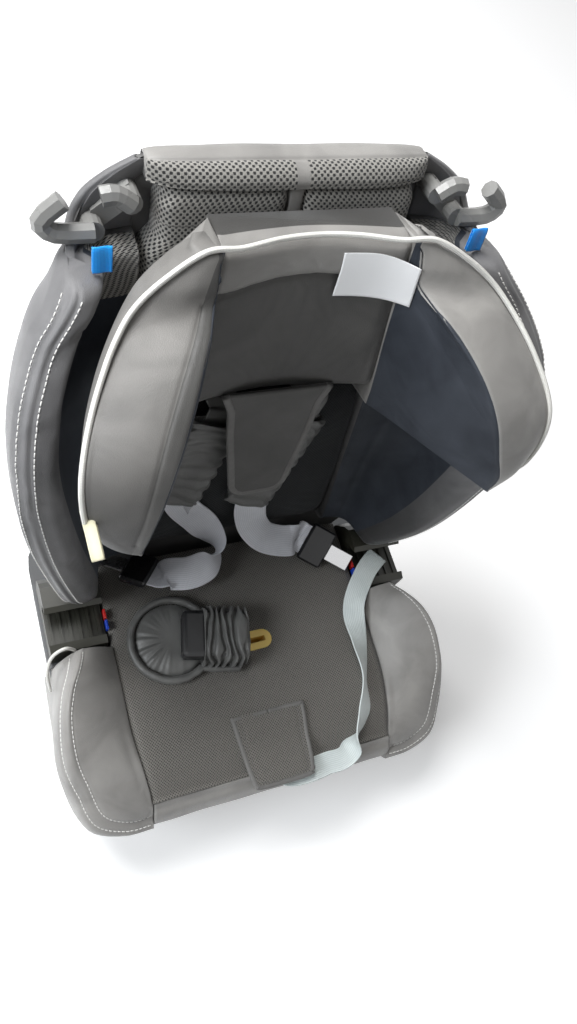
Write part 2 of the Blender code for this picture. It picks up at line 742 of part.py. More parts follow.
def make_front_roll():
    """Leatherette over the front edge, between the two bolsters."""
    seam, crest, hem = BOLSTER_SHARES[-1]
    seam_y = seam[1] * SEAT_FRONT - CLEAR
    half = seam[0] * SEAT_HALF_WIDTH - CLEAR
    back_y = -BASE_FRONT + DECK_EDGE
    floor = DECK_HEIGHT - DECK_EDGE
    rings = []
    for step in range(9):
        x = half * (step / 4 - 1)
        top = seat_height(x * (1 - CLEAR), -SEAT_FRONT * 0.918)
        crest_y, crest_z = crest[1] * SEAT_FRONT, crest[2] * SEAT_TOP
        hem_y = hem[1] * SEAT_FRONT
        ring = [(seam_y, floor), (seam_y, top), (seam_y * 0.6 + crest_y * 0.4, top * 0.7 + crest_z * 0.3),
                (crest_y, (top + crest_z) / 2), (hem_y, crest_z), (hem_y, HEM_HEIGHT), (back_y, HEM_HEIGHT),
                (back_y, floor)]
        rings.append([Vector((x, y, z)) for y, z in ring])
    roll = loft("seat_front_roll", rings, LEATHER)
    apply_cut(roll, bpy.data.objects["base_room"])


# Hip belt guides
def make_hip_guide(side, word):
    floor = DECK_HEIGHT + CLEAR
    lip = GUIDE_CHANNEL + (GUIDE_TOP - GUIDE_CHANNEL) / 3
    wall = (GUIDE_FRONT + GUIDE_REAR) / 10
    channel_rear = GUIDE_REAR - 4 * wall
    outline = [(-GUIDE_FRONT, floor), (GUIDE_REAR, floor), (GUIDE_REAR, GUIDE_CHANNEL)]
    outline += [(channel_rear + 2.6 * wall, GUIDE_TOP - wall), (channel_rear + 1.6 * wall, GUIDE_TOP),
                (channel_rear - wall, GUIDE_TOP), (channel_rear - 1.6 * wall, GUIDE_TOP - wall / 2),
                (channel_rear - wall, GUIDE_TOP - wall), (channel_rear, GUIDE_TOP - 1.6 * wall),
                (channel_rear, GUIDE_CHANNEL), (-GUIDE_FRONT + wall, GUIDE_CHANNEL),
                (-GUIDE_FRONT + wall, lip), (-GUIDE_FRONT, lip - wall / 3)]
    low, high = side * GUIDE_INNER_X, side * (GUIDE_INNER_X + GUIDE_WIDTH)
    guide = outline_solid("hip_belt_guide_" + word, outline, low, high, "YZ", OLIVE, None)
    ribs = bmesh.new()
    pitch = GUIDE_WIDTH / GUIDE_RIBS
    for index in range(GUIDE_RIBS):
        middle = side * (GUIDE_INNER_X + pitch * (index + 0.5))
        box_mesh((middle - GUIDE_RIB / 2, -GUIDE_FRONT + wall / 2, GUIDE_CHANNEL - GUIDE_RIB),
                 (middle + GUIDE_RIB / 2, channel_rear + wall / 2, GUIDE_CHANNEL + GUIDE_RIB * 0.7), ribs)
    apply_cut(guide, cutter("hip_guide_ribs_" + word, ribs, None), "UNION")

    inner = side * (GUIDE_INNER_X - CLEAR)
    for colour, material, centre_y in (("red", RED, MARK_Y + MARK_LENGTH * 0.55),
                                       ("blue", BLUE, MARK_Y - MARK_LENGTH * 0.55)):
        x_values = sorted((inner, inner - side * MARK_WIDTH))
        top = GUIDE_CHANNEL + CLEAR * 50
        bevelled_box("belt_mark_" + colour + "_" + word,
                     (x_values[0], centre_y - MARK_LENGTH / 2, top - MARK_HEIGHT),
                     (x_values[1], centre_y + MARK_LENGTH / 2, top), material, None, MARK_WIDTH / 5, 1)


# Harness adjuster at the front
def make_adjuster():
    housing = bevelled_box("adjuster_housing", (-ADJUSTER_HALF_WIDTH, ADJUSTER_FRONT_Y, DECK_HEIGHT + CLEAR),
                           (ADJUSTER_HALF_WIDTH, ADJUSTER_REAR_Y, ADJUSTER_TOP), BLACK, None, ADJUSTER_RIM / 4, 2)
    cut = box_mesh((-LEVER_HALF_WIDTH - SLIDE_CLEAR, ADJUSTER_FRONT_Y + ADJUSTER_RIM, ADJUSTER_TOP - ADJUSTER_RECESS),
                   (LEVER_HALF_WIDTH + SLIDE_CLEAR, ADJUSTER_REAR_Y - ADJUSTER_RIM / 2, ADJUSTER_TOP + OVERRUN))
    box_mesh((-PULL_WIDTH / 2 - SLIDE_CLEAR, ADJUSTER_FRONT_Y - OVERRUN, ADJUSTER_TOP - ADJUSTER_RECESS + RIB_WALL / 3),
             (PULL_WIDTH / 2 + SLIDE_CLEAR, ADJUSTER_FRONT_Y + ADJUSTER_RIM + OVERRUN / 4,
              ADJUSTER_TOP - ADJUSTER_RECESS + RIB_WALL / 3 + 2 * WEBBING), cut)
    apply_cut(housing, cutter("adjuster_cavity", cut, None))

    pivot_y = ADJUSTER_REAR_Y - ADJUSTER_RIM
    pivot = frame("adjuster_axis", (0.0, pivot_y, LEVER_TOP - LEVER_PIVOT))
    length = pivot_y - (ADJUSTER_FRONT_Y + ADJUSTER_RIM + SLIDE_CLEAR)
    outline = arc((0.0, 0.0), LEVER_PIVOT, 90, -90, 6)
    outline += [(-length * 0.5, -LEVER_PIVOT), (-length, -LEVER_PIVOT * 0.6), (-length, LEVER_PIVOT * 1.2),
                (-length * 0.5, LEVER_PIVOT)]
    outline_solid("adjuster_lever", outline, -LEVER_HALF_WIDTH, LEVER_HALF_WIDTH, "YZ", STEEL, pivot)


FLAP_LINE_SHARES = ((0.00, 1.00), (0.25, 0.97), (0.50, 0.92), (0.70, 0.89), (0.86, 0.84), (0.94, 0.76), (1.00, 0.34))


def flap_line():
    """Underside of the front flap from its seam to its tip, as (y, z)."""
    reach = SEAT_FRONT + FLAP_HINGE_Y
    points = []
    for share in (0.0, 0.2, 0.45):
        y = FLAP_HINGE_Y - reach * share
        points.append((y, seat_height(FLAP_HALF_WIDTH, y) + 3 * CLEAR * (1 + share)))
    points += [(ADJUSTER_FRONT_Y, ADJUSTER_TOP + 5 * CLEAR),
               (-SEAT_FRONT - FLAP_THICKNESS * 1.3, ADJUSTER_TOP - FLAP_THICKNESS * 0.2),
               (-SEAT_FRONT - FLAP_THICKNESS * 2.6, ADJUSTER_TOP - reach * 0.28),
               (-SEAT_FRONT - FLAP_THICKNESS * 2.9, ADJUSTER_TOP - reach * 0.56)]
    return points


def make_front_flap():
    hinge = frame("front_flap_axis", (0.0, FLAP_HINGE_Y, seat_height(FLAP_HALF_WIDTH, FLAP_HINGE_Y) + 3 * CLEAR))
    under = smooth_line([(y, z, 0.0) for y, z in flap_line()], 2)
    under = [Vector((point.x, point.y)) for point in under]
    over = offset_line(under, [FLAP_THICKNESS] * len(under))
    rings = []
    for index, (low, high) in enumerate(zip(under, over)):
        share = index / (len(under) - 1)
        half = FLAP_HALF_WIDTH * hermite(FLAP_LINE_SHARES, share)[0]
        ring = []
        for x, swell in ((-1.0, 0.25), (-0.9, 0.0), (0.9, 0.0), (1.0, 0.25)):
            point = low.lerp(high, swell)
            ring.append(Vector((x * half, point.x, point.y)) - hinge.location)
        for x, swell in ((1.0, 0.75), (0.9, 1.0), (-0.9, 1.0), (-1.0, 0.75)):
            point = low.lerp(high, swell)
            ring.append(Vector((x * half, point.x, point.y)) - hinge.location)
        rings.append(ring)
    loft("front_flap", rings, MESH, hinge)


def make_pull_strap():
    """Loose end of the adjuster's strap, over the seat to the right hip."""
    start_z = ADJUSTER_TOP - ADJUSTER_RECESS + RIB_WALL / 3 + WEBBING
    top = seat_height(SEAM_X, -SEAT_FRONT / 2)
    right, front = SEAT_HALF_WIDTH, SEAT_FRONT
    stations = [
        ((0.0, ADJUSTER_FRONT_Y + WEBBING, start_z), (1.0, 0.0, 0.0)),
        ((0.000 * right, -0.914 * front, start_z), (1.0, 0.0, 0.0)),
        ((0.009 * right, -0.944 * front, start_z), (0.92, 0.40, 0.0)),
        ((0.038 * right, -0.966 * front, start_z), (0.62, 0.78, 0.0)),
        ((0.085 * right, -0.976 * front, start_z), (0.20, 0.98, 0.0)),
        ((0.150 * right, -0.977 * front, start_z), (0.02, 1.00, 0.05)),
        ((0.240 * right, -0.968 * front, start_z), (0.0, 0.95, 0.30)),
        ((0.360 * right, -0.950 * front, 0.740 * SEAT_TOP), (0.35, 0.80, 0.35)),
        ((0.470 * right, -0.780 * front, 0.835 * SEAT_TOP), (0.60, 0.50, -0.15)),
        ((0.530 * right, -0.600 * front, top + 4 * PULL_WIDTH / 9), (0.50, 0.20, -0.80)),
        ((0.570 * right, -0.400 * front, top + PULL_WIDTH / 3), (0.90, 0.00, -0.45)),
        ((0.600 * right, -0.200 * front, top + PULL_WIDTH * 0.42), (0.93, -0.25, 0.38)),
        ((0.720 * right, -0.030 * front, top + PULL_WIDTH * 0.55), (0.85, -0.45, 0.0)),
        ((0.830 * right, 0.060 * front, top + PULL_WIDTH * 0.50), (0.70, -0.70, 0.0)),
    ]
    webbing("harness_pull_strap", stations, PULL_WIDTH, WEBBING, PULL, None, 2)


# Backrest
def edge_at(shares, z):
    x, y = hermite(shares, z / WING_TOP)
    return Vector((x * WING_HALF_WIDTH, -y * WING_DEPTH))


def wing_line(z, steps=8):
    """Outer face of the shell at one height, from the flat panel to its edge."""
    end = edge_at(SHELL_EDGE_SHARES, z)
    root = min(WING_ROOT, end.x - ROOT_MARGIN)
    return bezier((root, -PANEL_REAR), (end.x * 0.985, -PANEL_REAR - PANEL_WALL), end, steps)


def band_ring(line, wall, z):
    """Closed section of a wall that runs from one edge round the back to the other."""
    inner = offset_line(line, [wall] * len(line))
    inner[0] = Vector((line[0].x, line[0].y - wall))
    outside = [Vector((-point.x, point.y, z)) for point in reversed(line)]
    outside += [Vector((point.x, point.y, z)) for point in line]
    inside = [Vector((point.x, point.y, z)) for point in reversed(inner)]
    inside += [Vector((-point.x, point.y, z)) for point in inner]
    return outside + inside


def room_ring(line, wall, z):
    """The same section grown by the clearance on all sides, for covers to be trimmed with."""
    ahead = (line[-1] - line[-2]).normalized() * 3 * CLEAR
    longer = offset_line(line, [-CLEAR] * len(line))
    longer[-1] += ahead
    return band_ring(longer, wall + 2 * CLEAR, z)


def make_backrest_shell(parent):
    heights = [WING_BOTTOM + (WING_TOP - WING_BOTTOM) * share for share in (0, 0.2, 0.4, 0.55, 0.68, 0.78, 0.86, 0.93, 1)]
    heights += [WING_TOP * share for share in (1.045, 1.075, 1.1)]
    shell = loft("backrest_shell", [band_ring(wing_line(z), PANEL_WALL, z) for z in heights], SHELL, parent)
    room = [room_ring(wing_line(z), PANEL_WALL, z) for z in heights]
    room.insert(0, [point - Vector((0, 0, OVERRUN)) for point in room[0]])
    room.append([point + Vector((0, 0, CLEAR)) for point in room[-1]])
    cutter("backrest_room", loft_mesh(room), parent)

    extra = bmesh.new()
    panel = [(-PANEL_BOTTOM_HALF, WING_BOTTOM + OVERRUN), (-PANEL_BOTTOM_HALF, WING_BOTTOM / 2),
             (-PANEL_BOTTOM_HALF * 0.9, PANEL_BOTTOM), (PANEL_BOTTOM_HALF * 0.9, PANEL_BOTTOM),
             (PANEL_BOTTOM_HALF, WING_BOTTOM / 2), (PANEL_BOTTOM_HALF, WING_BOTTOM + OVERRUN)]
    join_mesh(extra, loft_mesh([[Vector((x, y, z)) for x, z in panel] for y in (-PANEL_REAR - PANEL_WALL, -PANEL_REAR)]))
    apply_cut(shell, cutter("panel_foot", extra, parent), "UNION")

    ribs = bmesh.new()
    rear_y = -PANEL_REAR + REAR_RIB_DEPTH
    start = -PANEL_REAR - PANEL_WALL / 2
    for side in (-1, 1):
        for x, top in ((WING_ROOT * 0.78, STRAP_EXIT_TOP * 1.55), (WING_ROOT * 1.12, WING_TOP * 0.92)):
            middle = side * x
            box_mesh((middle - REAR_RIB_WALL / 2, start, PANEL_BOTTOM + OVERRUN),
                     (middle + REAR_RIB_WALL / 2, rear_y, top), ribs)
    for z in (WING_BOTTOM * 0.75, WING_BOTTOM * 2.0):
        box_mesh((-WING_ROOT * 1.12, start, z - REAR_RIB_WALL / 2), (WING_ROOT * 1.12, rear_y - REAR_RIB_WALL, z + REAR_RIB_WALL / 2),
                 ribs)
    ribs_cutter = cutter("rear_ribs", ribs, parent)
    apply_cut(shell, ribs_cutter, "UNION")

    knuckles = bmesh.new()
    bores = bmesh.new()
    for side in (-1, 1):
        low = side * KNUCKLE_X - KNUCKLE_WIDTH / 2
        high = side * KNUCKLE_X + KNUCKLE_WIDTH / 2
        outline = arc((0.0, 0.0), KNUCKLE_RADIUS, -120, 90, 10)
        outline += [(-PANEL_REAR - PANEL_WALL / 2, WING_BOTTOM * 0.6), (-PANEL_REAR - PANEL_WALL / 2, PANEL_BOTTOM + OVERRUN)]
        join_mesh(knuckles, loft_mesh([[Vector((x, y, z)) for y, z in outline] for x in (low, high)]))
        join_mesh(bores, cylinder_mesh(HINGE_ROD_RADIUS + CLEAR, (low - OVERRUN, 0, 0), (high + OVERRUN, 0, 0)))
    apply_cut(shell, cutter("knuckles", knuckles, parent), "UNION")
    apply_cut(shell, cutter("knuckle_bores", bores, parent))

    slots = box_mesh((-SLOT_HALF, -PANEL_REAR - PANEL_WALL - OVERRUN, CARRIAGE_BOTTOM),
                     (SLOT_HALF, -PANEL_REAR + OVERRUN, NECK_TOP + TRAVEL + OVERRUN))
    for side in (-1, 1):
        x_values = sorted((side * STRAP_WIDTH * 0.5, side * STRAP_WIDTH * 1.85))
        box_mesh((x_values[0], -PANEL_REAR - PANEL_WALL - OVERRUN, STRAP_EXIT_BOTTOM),
                 (x_values[1], -PANEL_REAR + OVERRUN, STRAP_EXIT_TOP), slots)
    apply_cut(shell, cutter("panel_slots", slots, parent))


def make_lower_pad(parent):
    half = WING_ROOT - 2 * CLEAR
    back = -PANEL_REAR - PANEL_WALL - CLEAR
    rings = []
    for step in range(7):
        share = step / 6
        z = LOWER_PAD_BOTTOM + (STRAP_EXIT_BOTTOM - LOWER_PAD_BOTTOM) * share
        soft = 1 - 0.34 * (2 * share - 1) ** 4
        ring = [Vector((half, back, z)), Vector((-half, back, z))]
        for across in range(7):
            x = half * (across / 3 - 1)
            front = -COVER_FRONT * soft if abs(x) < half else -COVER_FRONT * 0.93 * soft
            ring.append(Vector((x, front, z)))
        rings.append(ring)
    loft("back_lower_pad", rings, NAVY, parent)


def make_mesh_pad(parent, side, word):
    root = WING_ROOT - 5 * CLEAR
    outline = [(MESH_SEAM_HALF, MESH_TOP), (root * 0.86, MESH_TOP), (root * 0.90, MESH_BRIDGE),
               (root * 0.90, MESH_BRIDGE * 0.95), (root, MESH_BRIDGE * 0.92), (root, STRAP_EXIT_TOP),
               (MESH_SLOT_HALF, STRAP_EXIT_TOP),
               (MESH_SLOT_HALF, MESH_BRIDGE), (MESH_SEAM_HALF, MESH_BRIDGE)]
    outline = [(side * x, z) for x, z in outline]
    outline_solid("top_mesh_" + word, outline, -COVER_FRONT, -PANEL_REAR - PANEL_WALL - CLEAR, "XZ", MESH, parent)


def make_top_band(parent):
    """Leatherette hem that hooks over the shell's top edge."""
    top = WING_TOP * 1.1
    bottom = MESH_TOP + CLEAR
    slot_front = -PANEL_REAR - PANEL_WALL * 3
    slot_rear = -PANEL_REAR + CLEAR
    rings = []
    for share in (-1.0, -0.94, -0.8, -0.4, 0.0, 0.4, 0.8, 0.94, 1.0):
        squeeze = 1.0 if abs(share) < 0.9 else (0.75 if abs(share) < 1.0 else 0.45)
        high = top + 3 * CLEAR + (BAND_TOP - top - 3 * CLEAR) * squeeze
        front = slot_front - (COVER_FRONT + slot_front) * squeeze
        rear = slot_rear + PANEL_WALL * 1.6 * squeeze
        ring = [(slot_front, bottom), (front, bottom), (front - PANEL_WALL / 2 * squeeze, (bottom + high) / 2),
                (front * 0.9 + slot_front * 0.1, high * 0.8 + bottom * 0.2), (front * 0.65 + rear * 0.35, high),
                (front * 0.25 + rear * 0.75, high), (rear, high * 0.7 + bottom * 0.3), (rear, bottom), (slot_rear, bottom),
                (slot_rear, top + CLEAR), (slot_front, top + CLEAR)]
        rings.append([Vector((share * BAND_HALF, y, z)) for y, z in ring])
    band = loft("top_band", rings, LEATHER, parent)
    apply_cut(band, bpy.data.objects["backrest_room"])


def wing_pad_ring(side, z):
    """Section of a wing's cover: padding inside, a nose, and a lip round the shell's edge."""
    line = wing_line(z)
    last = len(line) - 1
    ahead = (line[-1] - line[-2]).normalized()
    inward = Vector((ahead.y, -ahead.x))
    depth = []
    for index in range(len(line)):
        share = index / last
        root_depth = COVER_FRONT - PANEL_REAR
        depth.append(root_depth + (PANEL_WALL + WING_PAD_THICKNESS - root_depth) * min(1.0, 1.6 * share))
    inner = offset_line(line, depth)
    inner[0] = Vector((line[0].x, -COVER_FRONT))
    nose_point = edge_at(WING_EDGE_SHARES, z)
    reach = max((nose_point - line[-1]).dot(ahead), WING_NOSE / 2)
    edge = line[-1]
    nose = [edge + ahead * reach * 0.55 + inward * (PANEL_WALL + WING_PAD_THICKNESS * 0.82),
            edge + ahead * reach * 0.95 + inward * WING_PAD_THICKNESS * 0.5,
            edge + ahead * reach + inward * PANEL_WALL * 0.5,
            edge + ahead * reach * 0.6 - inward * WING_LIP * 0.75]
    lip_line = offset_line(line, [-WING_LIP] * len(line))
    core = offset_line(line, [PANEL_WALL / 2] * len(line))
    ring = inner + nose + [lip_line[last], lip_line[last - 1], lip_line[last - 2]]
    ring += list(reversed(core[:last - 1]))
    return [Vector((side * point.x, point.y, z)) for point in ring]


def make_wing_pad(parent, side, word):
    bottom = WING_BOTTOM + CLEAR
    count = 15
    heights = [bottom + (WING_PAD_TOP - bottom) * math.sin(math.pi / 2 * step / count) ** 0.8 for step in range(count + 1)]
    pad = loft("back_wing_pad_" + word, [wing_pad_ring(side, z) for z in heights], NAVY, parent)
    apply_cut(pad, bpy.data.objects["backrest_room"])


def make_blue_tab(parent, side, word):
    edge = edge_at(WING_EDGE_SHARES, WING_PAD_TOP)
    x = side * (edge.x - TAB_WIDTH * 0.75)
    y = edge.y + TAB_WIDTH
    low = WING_PAD_TOP + CLEAR
    bevelled_box("blue_tab_" + word, (x - TAB_WIDTH / 2, y - TAB_THICKNESS / 2, low),
                 (x + TAB_WIDTH / 2, y + TAB_THICKNESS / 2, low + TAB_HEIGHT), BLUE, parent, TAB_THICKNESS / 3, 1)


HORN_SHARES = (
    ((0.985, 0.540), (1.000, 0.590), (0.998, 0.635)),
    ((0.994, 0.748), (0.966, 0.813), (0.946, 0.774), (0.944, 0.655)))


def make_shoulder_guide(parent, side, word):
    """Two horns with a gap between their tips, on a plate behind the cover's cut-out."""
    front_of_panel = -PANEL_REAR - PANEL_WALL - CLEAR
    top = WING_TOP * 1.065
    pieces = []
    for index, shares in enumerate(HORN_SHARES):
        points = [(side * x * WING_HALF_WIDTH, -HORN_FRONT, z * top) for z, x in shares]
        pieces.append(smooth_line(points, 3))
    root = pieces[0][0]
    foot = pieces[1][-1]
    guide = tube("shoulder_belt_guide_" + word, pieces[0], HORN_RADIUS, SHELL, parent)
    extra = bmesh.new()
    other = tube("horn_" + word, pieces[1], HORN_RADIUS, SHELL, parent)
    bm = bmesh.new()
    bm.from_mesh(other.data)
    join_mesh(extra, bm)
    bpy.data.objects.remove(other, do_unlink=True)
    apply_cut(guide, cutter("outer_horn_" + word, extra, parent), "UNION")
    plate_rear = front_of_panel - HORN_PLATE * 1.45
    posts = bmesh.new()
    for place, rear in ((root, front_of_panel + PANEL_WALL / 2), (foot, front_of_panel - PANEL_WALL * 1.55)):
        join_mesh(posts, cylinder_mesh(POST_RADIUS, place, (place.x, rear, place.z), 14))
    apply_cut(guide, cutter("horn_posts_" + word, posts, parent), "UNION")
    reach = POST_RADIUS * 1.2
    corners = [(root.x, root.z + reach), (root.x, root.z - reach), (foot.x, foot.z - reach),
               (foot.x, foot.z + reach)]
    plate = loft_mesh([[Vector((x, y, z)) for x, z in corners] for y in (plate_rear - HORN_PLATE, plate_rear)])
    apply_cut(guide, cutter("horn_plate_" + word, plate, parent), "UNION")
    apply_cut(guide, bpy.data.objects["backrest_room"])


# Headrest
def head_point(shares, z):
    x, y = hermite(shares, z / HEAD_TOP)
    return Vector((x * HEAD_HALF_WIDTH, -y * HEAD_DEPTH))


def head_line(z, steps=7):
    """Outer face of the headrest shell at one height."""
    edge = head_point(PIPING_SHARES, z)
    end = Vector((edge.x - HEAD_LIP * 1.2, edge.y + HEAD_LIP * 2))
    root = min(HEAD_ROOT, end.x * 0.8)
    return bezier((root, -HEAD_PANEL), (end.x * 0.86, -HEAD_PANEL - HEAD_WALL), end, steps)


def head_heights(low, high, count):
    return [low + (high - low) * step / count for step in range(count + 1)]


def make_headrest_shell(parent):
    heights = head_heights(HEAD_BOTTOM + HEAD_LIP, HEAD_SHELL_TOP, HEAD_STEPS)
    loft("headrest_shell", [band_ring(head_line(z), HEAD_WALL, z) for z in heights], SHELL, parent)
    room = [room_ring(head_line(z), HEAD_WALL, z) for z in heights]
    room.insert(0, [point - Vector((0, 0, CLEAR)) for point in room[0]])
    room.append([point + Vector((0, 0, CLEAR)) for point in room[-1]])
    cutter("headrest_room", loft_mesh(room), parent)


def centre_half(z):
    share = (z - CENTRE_PAD_BOTTOM) / (HEAD_PAD_TOP - CENTRE_PAD_BOTTOM)
    return CENTRE_PAD_HALF + (CENTRE_PAD_TOP_HALF - CENTRE_PAD_HALF) * min(1.0, max(0.0, share))


def centre_front(x, z):
    """Front of the headrest's centre panel."""
    share = min(1.0, max(0.0, (z - CENTRE_PAD_BOTTOM) / (HEAD_PAD_TOP - CENTRE_PAD_BOTTOM)))
    top = 0.453 * HEAD_DEPTH
    return -(CENTRE_PAD_FRONT + (top - CENTRE_PAD_FRONT) * share ** 2 + CENTRE_PAD_BEND * (x / centre_half(z)) ** 2)


def make_head_centre_pad(parent):
    back = -HEAD_PANEL - HEAD_WALL - CLEAR
    rings = []
    for z in head_heights(CENTRE_PAD_BOTTOM, HEAD_PAD_TOP, 6):
        half = centre_half(z) - CLEAR
        soft = 0.88 if z in (CENTRE_PAD_BOTTOM,) else 1.0
        ring = [Vector((half, back, z)), Vector((-half, back, z))]
        for across in range(9):
            x = half * (across / 4 - 1)
            ring.append(Vector((x, back + (centre_front(x, z) - back) * soft, z)))
        rings.append(ring)
    pad = loft("headrest_centre_pad", rings, LEATHER, parent)
    apply_cut(pad, bpy.data.objects["headrest_room"])


def line_beyond(line, x, count):
    """The part of a line past a given x, as count + 1 points."""
    first = max(index for index in range(len(line) - 1) if line[index].x <= x or index == 0)
    start, after = line[first], line[first + 1]
    begin = first + min(0.95, max(0.0, (x - start.x) / (after.x - start.x)))
    points = []
    for step in range(count + 1):
        place = begin + (len(line) - 1 - begin) * step / count
        low = min(int(place), len(line) - 2)
        points.append(line[low].lerp(line[low + 1], place - low))
    return points


def head_wing_ring(side, z):
    """Section of a headrest wing's cover: inner side, front face, piping edge and outer lip."""
    line = head_line(z)
    last = len(line) - 1
    half = centre_half(z)
    corner = Vector((half, centre_front(half, z)))
    seam = head_point(HEAD_SEAM_SHARES, z)
    pipe = head_point(PIPING_SHARES, z)
    swell = (pipe - seam).length * 0.10
    front = Vector((pipe.y - seam.y, seam.x - pipe.x)).normalized()
    if front.y > 0:
        front = -front
    inner = [corner.lerp(seam, share) + Vector((0.35, -0.15)) * swell for share in (0.33, 0.7)]
    face = [seam.lerp(pipe, share) + front * swell * math.sin(math.pi * share) for share in (0.0, 0.2, 0.5, 0.8, 1.0)]
    lip_line = offset_line(line, [-HEAD_LIP] * len(line))
    core = offset_line(line, [HEAD_WALL / 2] * len(line))
    returned = line_beyond(core[:last - 1], half, last - 2)
    ring = [returned[0], corner] + inner + face + [lip_line[last], lip_line[last - 1], lip_line[last - 2]]
    ring += list(reversed(returned[1:]))
    return [Vector((side * point.x, point.y, z)) for point in ring]


def make_head_wing_pad(parent, side, word):
    heights = [HEAD_BOTTOM] + head_heights(HEAD_BOTTOM + HEAD_LIP, HEAD_SHELL_TOP, HEAD_STEPS) + [HEAD_PAD_TOP]
    rings = [head_wing_ring(side, z) for z in heights]
    pad = loft("headrest_wing_pad_" + word, rings, LEATHER, parent)
    apply_cut(pad, bpy.data.objects["headrest_room"])


def piping_points(side):
    """Centres of the piping outside the edge of a wing's face."""
    edges = []
    for z in head_heights(HEAD_BOTTOM + HEAD_LIP, 0.990 * HEAD_TOP, 12):
        edge = head_point(PIPING_SHARES, z)
        edges.append(Vector((edge.x, edge.y, z)))
    points = []
    for index, edge in enumerate(edges):
        along = edges[min(index + 1, len(edges) - 1)] - edges[max(index - 1, 0)]
        out = edge - Vector((0.0, edge.y + HEAD_DEPTH * 0.3, HEAD_TOP * 0.70))
        out -= along * (out.dot(along) / along.length_squared)
        place = edge + out.normalized() * (PIPING_RADIUS + 3 * CLEAR)
        points.append(Vector((side * place.x, place.y, place.z)))
    return points


def make_piping(parent):
    line = piping_points(-1)
    top = []
    for z_share, x_share, y_share in PIPING_TOP_SHARES:
        top.append(Vector((-x_share * HEAD_HALF_WIDTH, -y_share * HEAD_DEPTH - PIPING_RADIUS - 6 * CLEAR,
                           HEAD_PAD_TOP + PIPING_RADIUS + 2 * CLEAR)))
    line += top
    line += [Vector((-point.x, point.y, point.z)) for point in reversed(line[:-1])]
    tube("headrest_piping", smooth_line(line, 2), PIPING_RADIUS, PIPE, parent, 1)


def make_head_flap(parent):
    """Bound flap that hangs below the centre panel, in front of the shoulder pads."""
    outline = []
    radius = HEAD_FLAP_END_HALF * 0.6
    outline += [(-HEAD_FLAP_HALF, HEAD_FLAP_TOP), (-HEAD_FLAP_HALF * 0.84, HEAD_FLAP_TOP * 0.94),
                (-HEAD_FLAP_HALF * 0.78, HEAD_FLAP_TOP * 0.85)]
    outline += arc((-HEAD_FLAP_END_HALF + radius, HEAD_FLAP_BOTTOM + radius), radius, 180, 270, 4)
    outline += [(-x, z) for x, z in reversed(outline)]
    back = centre_front(HEAD_FLAP_HALF * 0.84, HEAD_FLAP_TOP) + 4 * CLEAR
    front = back - HEAD_FLAP_THICKNESS
    flap = outline_solid("headrest_flap", outline, front, back, "XZ", LEATHER, parent)
    add_bevel(flap, HEAD_FLAP_THICKNESS / 3, 2)


# Headrest carriage and latch
def make_carriage(parent):
    rear = -PANEL_REAR + SLIDE_CLEAR
    plate_rear = rear + CARRIAGE_WALL
    neck = add_solid("headrest_carriage", box_mesh((-NECK_HALF, -HEAD_PANEL + CLEAR, NECK_BOTTOM),
                                                   (NECK_HALF, plate_rear - CARRIAGE_WALL / 2, NECK_TOP)), BLACK, parent)
    plate = box_mesh((-CARRIAGE_HALF, rear, CARRIAGE_BOTTOM), (CARRIAGE_HALF, plate_rear, CARRIAGE_TOP))
    apply_cut(neck, cutter("carriage_plate", plate, parent), "UNION")
    lugs = bmesh.new()
    holes = bmesh.new()
    for side in (-1, 1):
        low = side * LATCH_LUG_X - LATCH_LUG_WIDTH / 2
        high = side * LATCH_LUG_X + LATCH_LUG_WIDTH / 2
        box_mesh((low, plate_rear - CARRIAGE_WALL / 2, LATCH_Z - 3 * LATCH_RADIUS),
                 (high, BRIDGE_Y + BRIDGE_WALL / 2, LATCH_Z + 3 * LATCH_RADIUS), lugs)
        box_mesh((low - OVERRUN / 2, LATCH_Y - LATCH_RADIUS - SLIDE_CLEAR, LATCH_Z - LATCH_RADIUS - SLIDE_CLEAR),
                 (high + OVERRUN / 2, LATCH_Y + LATCH_RADIUS + LATCH_STROKE + SLIDE_CLEAR,
                  LATCH_Z + LATCH_RADIUS + SLIDE_CLEAR), holes)
    apply_cut(neck, cutter("latch_lugs", lugs, parent), "UNION")
    bridge = box_mesh((-LATCH_LUG_X - LATCH_LUG_WIDTH / 2, BRIDGE_Y, LATCH_Z - 3 * LATCH_RADIUS),
                      (LATCH_LUG_X + LATCH_LUG_WIDTH / 2, BRIDGE_Y + BRIDGE_WALL, LATCH_Z + 3 * LATCH_RADIUS))
    apply_cut(neck, cutter("latch_bridge", bridge, parent), "UNION")
    apply_cut(neck, cutter("latch_holes", holes, parent))


def make_racks(parent):
    """Notched rails that the latch bar drops into, one notch for each height."""
    front = -PANEL_REAR + CLEAR
    low = LATCH_Z - NOTCH_PITCH
    high = LATCH_Z + NOTCH_COUNT * NOTCH_PITCH
    outline = [(front, low), (RACK_REAR_Y, low)]
    for notch in range(NOTCH_COUNT):
        z = LATCH_Z + notch * NOTCH_PITCH
        half = RACK_NOTCH_WIDTH / 2
        deep = RACK_REAR_Y - RACK_NOTCH_DEPTH
        outline += [(RACK_REAR_Y, z - half * 1.3), (deep + half / 2, z - half), (deep, z - half / 2),
                    (deep, z + half / 2), (deep + half / 2, z + half), (RACK_REAR_Y, z + half * 1.3)]
    outline += [(RACK_REAR_Y, high), (front, high)]
    for side, word in ((-1, "left"), (1, "right")):
        middle = side * RACK_X
        outline_solid("height_rack_" + word, outline, middle - RACK_WIDTH / 2, middle + RACK_WIDTH / 2, "YZ", BLACK, parent)


